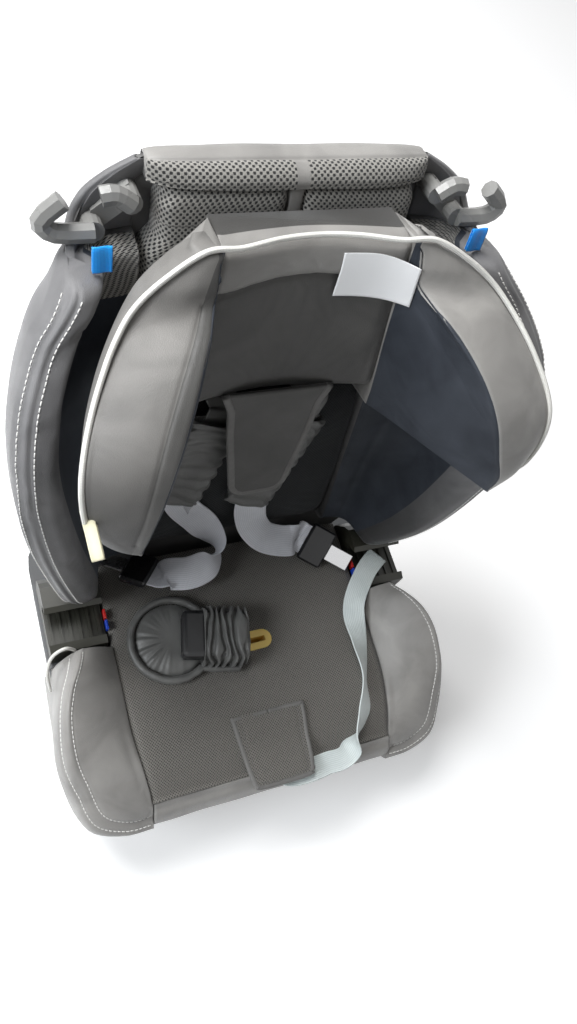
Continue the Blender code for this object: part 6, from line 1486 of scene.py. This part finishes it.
# %% Headrest flap
HEAD_FLAP_TOP, HEAD_FLAP_BOTTOM, HEAD_FLAP_HALF, HEAD_FLAP_END, HEAD_FLAP_THICK = 0.346, 0.209, 0.052, 0.030, 0.005
head_flap_back = centre_front(HEAD_FLAP_HALF * 0.84, HEAD_FLAP_TOP) + 0.0012
HEAD_FLAP_ROUND = HEAD_FLAP_END * 0.6
HEAD_FLAP_LOW = HEAD_FLAP_BOTTOM + HEAD_FLAP_ROUND      # where the rounded end begins


def head_flap_half(z):
    down = (HEAD_FLAP_LOW - z) / HEAD_FLAP_ROUND
    if down < 0:
        return np.interp(z, (HEAD_FLAP_LOW, HEAD_FLAP_TOP * 0.85, HEAD_FLAP_TOP * 0.94, HEAD_FLAP_TOP),
                         (HEAD_FLAP_END, HEAD_FLAP_HALF * 0.78, HEAD_FLAP_HALF * 0.84, HEAD_FLAP_HALF))
    return HEAD_FLAP_END - HEAD_FLAP_ROUND * (1 - math.sqrt(1 - min(down, 1.0) ** 2))


def head_flap_place(x, z, depth):
    """depth is 0 at the flap's back and 1 at its front."""
    sag = 0.0009 * math.sin(26 * x + 40 * z) * (HEAD_FLAP_TOP - z) / (HEAD_FLAP_TOP - HEAD_FLAP_BOTTOM)
    return (x, head_flap_back - 0.0002 - (HEAD_FLAP_THICK - 0.0004) * depth - abs(sag) * 0.4, z)


flap_rows = []
for share in np.linspace(0, 1, 80):
    low = HEAD_FLAP_BOTTOM + 0.0006
    z = low + (HEAD_FLAP_TOP - low) * (1 - math.cos(math.pi * share / 2))
    half = head_flap_half(z) - 0.0005
    ring = [head_flap_place(half * across, z, 1 - 0.45 * abs(across) ** 8) for across in np.linspace(-1, 1, 49)]
    ring += [head_flap_place(half * across, z, 0.12) for across in np.linspace(1, -1, 25)]
    flap_rows.append(ring)
head_flap = skin("headrest_flap_cover", leaned(flap_rows), PANEL_LEATHERETTE)
settle(head_flap, "headrest", "leatherette", "headrest_flap", fill=0.3)

outline = [(-head_flap_half(z), z) for z in np.linspace(HEAD_FLAP_TOP - 0.002, HEAD_FLAP_LOW, 50)]
outline += [(HEAD_FLAP_ROUND * (1 + math.cos(turn)) - HEAD_FLAP_END, HEAD_FLAP_LOW + HEAD_FLAP_ROUND * math.sin(turn))
            for turn in np.linspace(math.pi, 1.5 * math.pi, 16)[1:]]
outline += [(-x, z) for x, z in reversed(outline)]
flap_edge = leaned([(x, head_flap_back - HEAD_FLAP_THICK / 2, z) for x, z in outline])
flap_centre = leaned((0.0, head_flap_back - HEAD_FLAP_THICK / 2, HEAD_FLAP_BOTTOM + 0.06))
binding("headrest_flap_binding", flap_edge, flap_centre - flap_edge, 0.0072, 0.0056, "headrest", "leatherette")

# %% [markdown]
# ## Sticker and tag
# A blank white sticker is pressed on the centre panel, a little torn at its top, and a
# small folded ribbon tag hangs at the lower left end of the piping. Each point of the
# sticker is dropped onto the cover. Card is stiffer than leather, so many passes of
# smoothing then take out the cover's wrinkles, and the sheet is moved clear of it.

# %% Blank sticker
STICKER_WIDTH, STICKER_HEIGHT, STICKER_LEFT, STICKER_TOP = 0.056, 0.044, 0.021, 0.4895
SMOOTHING_PASSES = 120


def torn_edge(across):
    """How far the sticker's upper edge stands above a straight one."""
    up, down = (1 / (1 + math.exp(-60 * (across - place))) for place in (0.24, 0.72))
    return 0.0035 * (up - 1.6 * down) - 0.003 * across + 0.0006 * math.sin(across * 23)


def thicken(face, thickness):
    solid = face.modifiers.new("thickness", "SOLIDIFY")
    solid.thickness, solid.offset = thickness, -1.0


def sticker():
    tree = tree_of(centre_panel, right_head_cover)
    rows = np.empty((30, 36, 3))
    for row, down in zip(rows, np.linspace(0, 1, len(rows))):
        for column, across in enumerate(np.linspace(0, 1, len(row))):
            x = STICKER_LEFT + STICKER_WIDTH * across + 0.002 * down
            z = STICKER_TOP - STICKER_HEIGHT * down + torn_edge(across) * (1 - down) ** 3
            place, normal, _, _ = tree.find_nearest(Vector(leaned((x, centre_front(x, z) - 0.014, z))))
            row[column] = place + normal * 0.0009
    for _ in range(SMOOTHING_PASSES):
        rows[1:-1] = rows[1:-1] * 0.5 + (rows[:-2] + rows[2:]) * 0.25
        rows[:, 1:-1] = rows[:, 1:-1] * 0.5 + (rows[:, :-2] + rows[:, 2:]) * 0.25
    rows += leaned_way((0, -0.0014, 0))
    face = skin("blank_sticker", rows, CARD, facing=(-0.2, -0.8, 0.5))
    thicken(face, 0.0003)
    settle(face, "headrest", "leatherette")


sticker()

# %% Folded tag
TAG_WIDTH, TAG_LENGTH, TAG_SLANT = 0.0092, 0.036, 0.24
picture_x, picture_y, picture_out = (np.array(axis) for axis in (picture_right, picture_up, towards))
tag_foot = leaned((-0.992 * HEAD_HALF, -0.900 * HEAD_DEPTH, HEAD_BOTTOM + 0.046)) + picture_out * 0.004
tag_down, tag_across = unit(picture_x * TAG_SLANT - picture_y), unit(picture_x + picture_y * TAG_SLANT)
ribbon_loop("folded_tag", tag_foot, tag_across, tag_down, picture_out, TAG_WIDTH, TAG_LENGTH, 0.0012, CREAM,
            "headrest", "piping")

# %% [markdown]
# ## Shoulder pads
# Each shoulder strap runs through a gathered tube of shiny leatherette. The tube is a
# flattened round section that swells and pinches along its length. Its folds wander, so
# noise shifts each gather round the section, and both ends are open ruffles.

# %% Shoulder pads
PAD_WIDTH, PAD_THICK, PAD_POINTS, STRAP_WIDTH = 0.056, 0.015, 56, 0.036
SHOULDER_PAD_SHARES = {
    "left": ((-0.170, -1.145, 0.595), (-0.240, -1.174, 0.500), (-0.330, -1.217, 0.385)),
    "right": ((0.210, -1.145, 0.585), (0.120, -1.174, 0.470), (0.020, -1.217, 0.340)),
}


def shoulder_line(word, steps=5):
    rows = np.array(SHOULDER_PAD_SHARES[word]) * (WING_HALF, COVER_FRONT, WING_TOP)
    return refine(rows, steps)


def gathers(angles, share, count, size, stretch, wander, seed):
    """Waves round one section of a gathered tube. Noise makes each fold wander along it."""
    points = np.stack((np.cos(angles) * size, np.sin(angles) * size, np.full(len(angles), share * stretch)), axis=1)
    return np.sin(2 * math.pi * (share * count + ripple(points, 1.0, wander, seed)))


def shoulder_pad(word, seed):
    line = shoulder_line(word, 44)
    ahead = directions(line)
    up = unit(np.cross(ahead, (1.0, 0, 0)))
    side = np.cross(up, ahead)
    angles = np.linspace(0, 2 * math.pi, PAD_POINTS, endpoint=False)
    x, y = squared(np.cos(angles), 0.62) * PAD_WIDTH / 2, squared(np.sin(angles), 0.80) * PAD_THICK / 2
    rows = []
    for index, share in enumerate(np.linspace(0, 1, len(line))):
        waves = gathers(angles, share, 8.5, 1.3, 3.0, 0.65, seed)
        end = min(share / 0.05, (1 - share) / 0.045, 1.0)
        ruffle = 1.0 + (1 - end) * 0.05 * np.sin(angles * 9 + seed)
        size = (0.90 + 0.10 * end) * (0.965 + 0.055 * squared(waves, 0.7)) * ruffle
        rows.append(line[index] + side[index] * (x * size)[:, None] + up[index] * (y * size)[:, None])
    low, high = rows[-1] - line[-1], rows[0] - line[0]
    for share, depth in ((0.93, 0.0002), (0.84, 0.0012), (0.78, 0.0045)):
        rows.append(line[-1] + low * share - ahead[-1] * depth)
        rows.insert(0, line[0] + high * share + ahead[0] * depth)
    pad = skin("shoulder_pad_cover_" + word, leaned(rows), GATHERED)
    crease(pad, 0.0010, (60.0, 34.0, 60.0), seed)
    settle(pad, "backrest", "leatherette", "shoulder_pad_" + word, fill=0.6)


for word, seed in (("left", 81), ("right", 87)):
    shoulder_pad(word, seed)

# %% [markdown]
# ## Harness
# The silver webbing leaves the lower end of each pad, turns on its edge and ends at its
# tongue. Behind the pads it goes through the shell's slots and down to the steel yoke.
# The stations are the real route, and the strap turns as its direction across turns.

# %% Harness straps
TONGUE_LENGTH = 0.030
STRAP_SHIFT = 0.008         # the strap leaves its pad this far to the right of the pad's middle
SEAT_SIZE = np.array((SEAT_HALF, SEAT_FRONT, SEAT_TOP))
TONGUE_SHARES = {
    "left": ((-0.4683, 0.2308, 0.8951), (-0.8, 0.55, -0.2), (0.45, 0.72, -0.38)),
    "right": ((0.4819, 0.1731, 0.8976), (0.78, -0.6, -0.15), (0.6, 0.62, 0.5)),
}
STRAP_LOOPS = {
    "left": (
        ((-0.0570, 0.0730, 0.2680), (0.92, 0.05, 0.38)), ((-0.0370, 0.0690, 0.2380), (0.82, 0.15, 0.54)),
        ((-0.0225, 0.0560, 0.2170), (0.25, 0.02, 0.97)), ((-0.0205, 0.0430, 0.2050), (-0.10, 0.30, 0.95)),
        ((-0.0330, 0.0330, 0.1985), (0.02, 0.80, 0.60)), ((-0.0530, 0.0295, 0.1945), (0.12, 0.93, 0.34)),
        ((-0.0740, 0.0340, 0.1905), (0.25, 0.92, 0.12))),
    "right": (
        ((0.0140, 0.0640, 0.2560), (0.96, 0.05, 0.25)), ((0.0210, 0.0580, 0.2320), (0.75, 0.35, 0.55)),
        ((0.0350, 0.0500, 0.2130), (0.40, 0.75, 0.50)), ((0.0540, 0.0460, 0.2010), (0.24, 0.90, 0.36)),
        ((0.0740, 0.0450, 0.1940), (0.30, 0.88, 0.36))),
}


def pad_end(word, end):
    """World place, direction out and direction across at a shoulder pad's end."""
    line = shoulder_line(word, 5)
    out = unit(line[0] - line[1]) if end == 0 else unit(line[-1] - line[-2])
    across = unit(np.cross(np.cross(out, (1.0, 0, 0)), out))
    return leaned(line[end]), leaned_way(out), leaned_way(across)


def harness_strap(word):
    shares, blade, across = TONGUE_SHARES[word]
    centre, blade = np.array(shares) * SEAT_SIZE, unit(blade)
    across = unit(np.array(across) - blade * (np.array(across) @ blade))
    begin, leave, plain = pad_end(word, -1)
    begin = begin + plain * STRAP_SHIFT
    finish_at = centre - blade * (TONGUE_LENGTH / 2 + 0.0007)
    stations = [(begin + leave * STRAP_WIDTH * share, plain) for share in (-0.12, 0.0)]
    stations += [(np.array(place), unit(turned)) for place, turned in STRAP_LOOPS[word]]
    stations += [(finish_at - blade * STRAP_WIDTH * share, across) for share in (0.30, 0.15, 0.0)]
    piece = strap("harness_webbing_" + word, stations, STRAP_WIDTH, WEB_THICK, WEBBING, steps=12, curl=0.0007)
    settle(piece, "backrest", "webbing", "harness_strap_" + word)


for word in ("left", "right"):
    harness_strap(word)

# %% Straps behind the cover
YOKE_HALF, YOKE_Z, YOKE_HEIGHT, YOKE_WALL = 0.034, 0.200, 0.034, 0.003
SHEATHED_ROWS, STRAP_POINTS = 26, 24


def rear_strap(side, word):
    yoke_y = -PANEL_REAR + 0.0003 + YOKE_WALL
    level = (STRAP_EXIT_BOTTOM + STRAP_EXIT_TOP) / 2
    top, below = shoulder_line(word)[:2]
    out = unit(top - below)
    across_pad = unit(np.cross(np.cross(out, (1.0, 0, 0)), out))
    slot_x, narrow = side * STRAP_WIDTH * 1.15, YOKE_HALF * 0.52
    pad_x = top[0] + out[0] * (level - 2 * WEB_THICK - top[2]) / out[2]
    rows = [(top + out * 0.0006, across_pad), (top + out * 5 * WEB_THICK, across_pad),
            ((pad_x, -COVER_FRONT - 3 * WEB_THICK, level - 2 * WEB_THICK), (1, 0, 0)),
            (((pad_x + slot_x) / 2, -(COVER_FRONT + PANEL_REAR) / 2, level + WEB_THICK), (1, 0, 0)),
            ((slot_x, -PANEL_REAR, level), (1, 0, 0)),
            ((slot_x * 0.9, yoke_y + WEB_THICK * 2, level - STRAP_WIDTH * 0.3), (1, 0, 0)),
            ((side * narrow, yoke_y + WEB_THICK, YOKE_Z + YOKE_HEIGHT), (1, 0, 0)),
            ((side * narrow, yoke_y + WEB_THICK / 2 + 0.0003, YOKE_Z), (1, 0, 0))]
    stations = [(leaned(place), leaned_way(turned)) for place, turned in rows]
    piece = strap("harness_rear_webbing_" + word, stations, YOKE_HALF * 0.9, WEB_THICK, WEBBING, steps=9)
    piece.data.materials.append(GATHERED)
    for face in piece.data.polygons[:SHEATHED_ROWS * STRAP_POINTS]:
        face.material_index = 1
    settle(piece, "backrest", "webbing", "harness_rear_strap_" + word)


for side, word in SIDES:
    rear_strap(side, word)

# %% [markdown]
# ## Crotch pad and buckle sleeve
# The crotch pad lies on the seat, round end to the left. Tight sewing puckers its edge in
# radial folds, and a thick rolled rim runs round it. A gathered sleeve hides most of the
# buckle. The pieces are drawn lying along +X of the pad's own frame.

# %% Crotch frame
CROTCH_TURN = math.radians(167.0)
PAD_ROUND_X, PAD_ROUND_RADIUS, PAD_NECK, CROTCH_THICK, CROTCH_PIPING = 0.086, 0.040, 0.027, 0.011, 0.0042
BUCKLE_REAR, BUCKLE_LENGTH, BUCKLE_WIDTH, BUCKLE_THICK = 0.020, 0.058, 0.052, 0.021
NECK_X = BUCKLE_REAR * 0.3
crotch_reach = PAD_ROUND_X + PAD_ROUND_RADIUS
CROTCH_Z = seat_height(crotch_reach * math.cos(CROTCH_TURN), SLOT_Y + crotch_reach * math.sin(CROTCH_TURN)) - 0.0003
CROTCH_BASE = 0.0006
CROTCH_TOP = CROTCH_BASE + CROTCH_THICK
print("crotch frame at height", round(CROTCH_Z, 6))


def laid(points):
    """Points of the crotch pad's frame as points of the seat."""
    points = np.asarray(points, float)
    x, y, z = points[..., 0], points[..., 1], points[..., 2]
    c, s = math.cos(CROTCH_TURN), math.sin(CROTCH_TURN)
    return np.stack((x * c - y * s, SLOT_Y + x * s + y * c, CROTCH_Z + z), axis=-1)


# %% Crotch pad
def crotch_outline(count=220):
    turns = np.radians(np.linspace(-140, 140, 150))
    points = [(PAD_ROUND_X + PAD_ROUND_RADIUS * math.cos(a), PAD_ROUND_RADIUS * math.sin(a)) for a in turns]
    points += [(NECK_X + 0.002, PAD_NECK * 0.92), (NECK_X, PAD_NECK * 0.85), (NECK_X, 0.0),
               (NECK_X, -PAD_NECK * 0.85), (NECK_X + 0.002, -PAD_NECK * 0.92), points[0]]
    line = resampled(np.column_stack((points, np.zeros(len(points)))), 0.001)
    return along(line, np.linspace(0, len(line) - 1, count + 1))[:-1]


def crotch_pad_rows():
    edge = crotch_outline()
    spine = np.clip(edge[:, 0], 0.030, PAD_ROUND_X)
    foot = np.column_stack((spine, np.zeros(len(edge)), np.zeros(len(edge))))
    length = np.linalg.norm(edge - foot, axis=1)
    angle = np.arctan2(edge[:, 1], edge[:, 0] - PAD_ROUND_X)
    pucker = np.sin(angle * 15 + 1.6 * np.sin(angle * 3.0)) + 0.5 * np.sin(angle * 31 + 0.7)
    fade = np.clip((edge[:, 0] - 0.055) / 0.02, 0.15, 1.0) * (0.15 + 0.85 * np.exp(-((angle - 0.75) / 0.62) ** 2))
    rows = [foot + (edge - foot) * share + (0, 0, CROTCH_BASE + 0.0003 * (share < 1))
            for share in (0.0, 0.9, 0.985, 1.0)]
    for share in np.sin(np.linspace(math.pi / 2, 0.02, 34)):
        swell = 0.0013 * pucker * fade * np.clip((share - 0.35) / 0.4, 0, 1) * (share < 0.999)
        height = CROTCH_BASE + CROTCH_THICK * (1 - 0.54 * share ** 4) + swell
        ring = foot + (edge - foot) * share
        ring[:, 2] = np.minimum(height, CROTCH_TOP + 0.0016) - 0.0016 * share ** 12
        rows.append(ring)
    return rows


crotch_pad = skin("crotch_pad_cover", laid(crotch_pad_rows()), GATHERED)
crease(crotch_pad, 0.0008, (40.0, 40.0, 20.0), 91)
settle(crotch_pad, "crotch_buckle", "leatherette", "crotch_pad", fill=0.7)

turns = np.radians(np.linspace(-136, 136, 60))
rim_radius = PAD_ROUND_RADIUS + CROTCH_PIPING + 0.0006
rim_line = [(PAD_ROUND_X + rim_radius * math.cos(a), rim_radius * math.sin(a)) for a in turns]
rim_neck = PAD_NECK + CROTCH_PIPING
rim_ends = [(PAD_ROUND_X - PAD_ROUND_RADIUS * 1.05, rim_neck * 1.02), (NECK_X + CROTCH_PIPING, rim_neck)]
rim_line = [(x, -y) for x, y in reversed(rim_ends)] + rim_line + rim_ends
rim_line = laid([(x, y, (CROTCH_BASE + CROTCH_TOP) / 2) for x, y in rim_line])
crotch_rim = round_tube("crotch_pad_rim", rim_line, CROTCH_PIPING, GATHERED, sides=18, spacing=0.0018)
crease(crotch_rim, 0.0009, (90.0, 90.0, 60.0), 93)
settle(crotch_rim, "crotch_buckle", "leatherette", "crotch_pad_piping")

# %% Gathered sleeve
def sleeve_rows():
    """Arches from the strap's end to the buckle's mouth, where the last three turn inward."""
    start, end = BUCKLE_REAR * 0.25, BUCKLE_REAR + BUCKLE_LENGTH * 0.60
    angles = np.linspace(-0.42, math.pi + 0.42, 60)
    arch_y, arch_z = squared(np.cos(angles), 0.55), np.clip(np.sin(angles), 0, 1) ** 0.62
    rows = []
    for share in np.linspace(0, 1, 121):
        shrink = 0.80 + 0.20 * min(1.0, share / 0.07)
        waves = gathers(angles, share, 6.0, 1.1, 2.86, 0.95, 97)
        size = shrink * (1 + (0.075 * squared(waves, 0.65) - 0.020) * min(1.0, (1 - share) / 0.05))
        rows.append(np.stack((np.full(60, start + (end - start) * share), arch_y * (BUCKLE_WIDTH / 2 + 0.0055) * size,
                              CROTCH_TOP + 0.0009 + arch_z * (BUCKLE_THICK + 0.0050) * size), axis=1))
    middle = np.array((end, 0.0, CROTCH_TOP + 0.006))
    mouth = rows[-1] - middle
    for inset, depth in ((0.0012, 0.0006), (0.0022, 0.0002), (0.0030, -0.0040)):
        rows.append(middle + (depth, 0, 0) + mouth * (1, 1 - inset / (BUCKLE_WIDTH / 2), 1 - inset / BUCKLE_THICK))
    return rows


sleeve = skin("buckle_sleeve_cover", laid(sleeve_rows()), GATHERED, facing=(0, 0, 1))
thicken(sleeve, 0.0009)
settle(sleeve, "crotch_buckle", "leatherette", "buckle_sleeve", fill=0.3)

# %% Crotch strap
strap_z = CROTCH_TOP + 2.5 * WEB_THICK
crotch_rows = [(WEB_THICK * 0.6, -CROTCH_THICK * 0.15), (WEB_THICK * 1.2, CROTCH_BASE + CROTCH_THICK * 0.5),
               (WEB_THICK * 2.2, strap_z - WEB_THICK * 0.5), (BUCKLE_REAR * 0.6, strap_z),
               (BUCKLE_REAR - WEB_THICK, strap_z)]
crotch_across = laid((0.0, 1.0, 0.0)) - laid((0.0, 0.0, 0.0))
crotch_stations = [(laid((x, 0.0, z)), crotch_across) for x, z in crotch_rows]
crotch_strap = strap("crotch_webbing", crotch_stations, STRAP_WIDTH, WEB_THICK, WEBBING)
settle(crotch_strap, "crotch_buckle", "webbing", "crotch_strap")

# %% [markdown]
# ## Finishes for the rigid pieces
# The moulded and metal pieces keep their modelled shape. Each one gets the finish that
# its real counterpart has, set on its own material slot. The headrest's cover is drawn
# tight over the back of its shell, so that shell wears the leather.

# %% Rigid finishes
RIGID = (
    (SHELL_PLASTIC, "base_shell"),
    (LEATHERETTE, "headrest_shell"),
    (BACK_PLASTIC, "backrest_shell"),
    (GUIDE_PLASTIC, "shoulder_belt_guide_left shoulder_belt_guide_right"),
    (OLIVE_PLASTIC, "hip_belt_guide_left hip_belt_guide_right"),
    (BLACK_PLASTIC, "adjuster_housing height_rack_left height_rack_right headrest_carriage release_handle "
                    "tongue_body_left tongue_body_right buckle_housing"),
    (STEEL, "hinge_rod crotch_anchor_bar adjuster_lever latch_bar harness_yoke tongue_blade_left tongue_blade_right"),
    (YELLOW_PLASTIC, "crotch_slot_plate"),
    (RED_PLASTIC, "buckle_button belt_mark_red_left belt_mark_red_right"),
    (BLUE_PLASTIC, "belt_mark_blue_left belt_mark_blue_right"))
for finish_of, names in RIGID:
    for name in names.split():
        for slot in frame["nodes"][name].material_slots:
            slot.material = finish_of
print("rigid pieces finished:", sum(len(names.split()) for _, names in RIGID))

# %% [markdown]
# The latch spring gets shorter as the release handle draws the bar out, so its wire is
# made here and told to flatten with that joint.

# %% Latch spring
SPRING_TURNS, SPRING_RADIUS, SPRING_Z = 5, 0.0048, 0.3600
SPRING_REAR, SPRING_LENGTH = -0.0156, 0.0126
turn = np.linspace(0, 1, 241)
coil = np.stack((SPRING_RADIUS * np.cos(2 * math.pi * SPRING_TURNS * turn), SPRING_REAR + SPRING_LENGTH * turn,
                 SPRING_Z + SPRING_RADIUS * np.sin(2 * math.pi * SPRING_TURNS * turn)), axis=1)
spring = round_tube("latch_spring_wire", leaned(coil), 0.0006, STEEL, sides=8, spacing=0.0008)
settle(spring, "headrest", "steel", "latch_spring")
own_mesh(spring)

# %% [markdown]
# ## Studio
# The floor is pale and plain. One large soft light stands to the left and above, as in
# the photograph, and two weaker ones fill the shadows. The world is white only where the
# camera, a glossy surface or glass sees it directly, and it lights the object weakly.

# %% Floor, lights and world
FLOOR_REACH = 4.0


def seen_directly(owner):
    """One where a camera, glossy or transmission ray arrives, and nought for all others."""
    path = add(owner, "LightPath").outputs
    clear = maths(owner, "MAXIMUM", path["Is Glossy Ray"], path["Is Transmission Ray"])
    return maths(owner, "MAXIMUM", path["Is Camera Ray"], clear)


def make_floor():
    mesh = bpy.data.meshes.new("studio_floor")
    corners = [(FLOOR_REACH * x, FLOOR_REACH * y, 0) for x, y in ((-1, -1), (1, -1), (1, 1), (-1, 1))]
    mesh.from_pydata(corners, [], [(0, 1, 2, 3)])
    pale = finish("pale_floor", (0.90, 0.90, 0.90), 0.85)
    tree = pale.node_tree
    shade = add(pale, "TexNoise", {"Vector": coordinates(pale), "Scale": 2.0})
    into(pale, Roughness=spread(pale, shade.outputs["Fac"], 0.82, 0.90))
    glow = add(pale, "Emission", {"Strength": 0.30, "Color": (1, 1, 1, 1)}).outputs[0]
    plain = tree.nodes["Principled BSDF"].outputs[0]
    both = add(pale, "AddShader", {0: plain, 1: glow}).outputs[0]
    mix = add(pale, "MixShader", {0: seen_directly(pale), 1: plain, 2: both})
    tree.links.new(mix.outputs[0], tree.nodes["Material Output"].inputs["Surface"])
    floor = link("studio_floor", mesh, pale, smooth=False)
    floor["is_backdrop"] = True


def soft_light(name, place, size, power, colour=(1, 1, 1)):
    """A square lamp that looks at the middle of the seat."""
    lamp = bpy.data.lights.new(name, "AREA")
    lamp.shape, lamp.size, lamp.energy, lamp.color = "SQUARE", size, power, colour
    thing = bpy.data.objects.new(name, lamp)
    bpy.context.scene.collection.objects.link(thing)
    thing.location = place
    thing.rotation_euler = (Vector((0.0, 0.0, 0.3)) - Vector(place)).to_track_quat("-Z", "Y").to_euler()


make_floor()
soft_light("key", (-0.7, 0.9, 2.2), 1.1, 62.0)
soft_light("side", (-1.8, -0.2, 1.6), 0.9, 34.0, (0.92, 0.96, 1.0))
soft_light("fill", (1.2, -1.4, 1.6), 1.6, 1.5)

WORLD_LEVEL = 0.13
world = bpy.data.worlds.new("studio")
bpy.context.scene.world = world
world.use_nodes = True
level = add(world, "Math", {0: seen_directly(world), 1: 1 - WORLD_LEVEL, 2: WORLD_LEVEL}, operation="MULTIPLY_ADD")
background = world.node_tree.nodes["Background"]
world.node_tree.links.new(level.outputs[0], background.inputs["Strength"])
background.inputs["Color"].default_value = (1, 1, 1, 1)
bpy.context.scene.view_settings.view_transform = "Standard"
print("studio ready")

# %% Sizes
dressed_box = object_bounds()
for name, box in (("packed", packed_box), ("dressed", dressed_box)):
    print(name, [round((high - low) * 1000, 1) for low, high in zip(*box)], "mm")
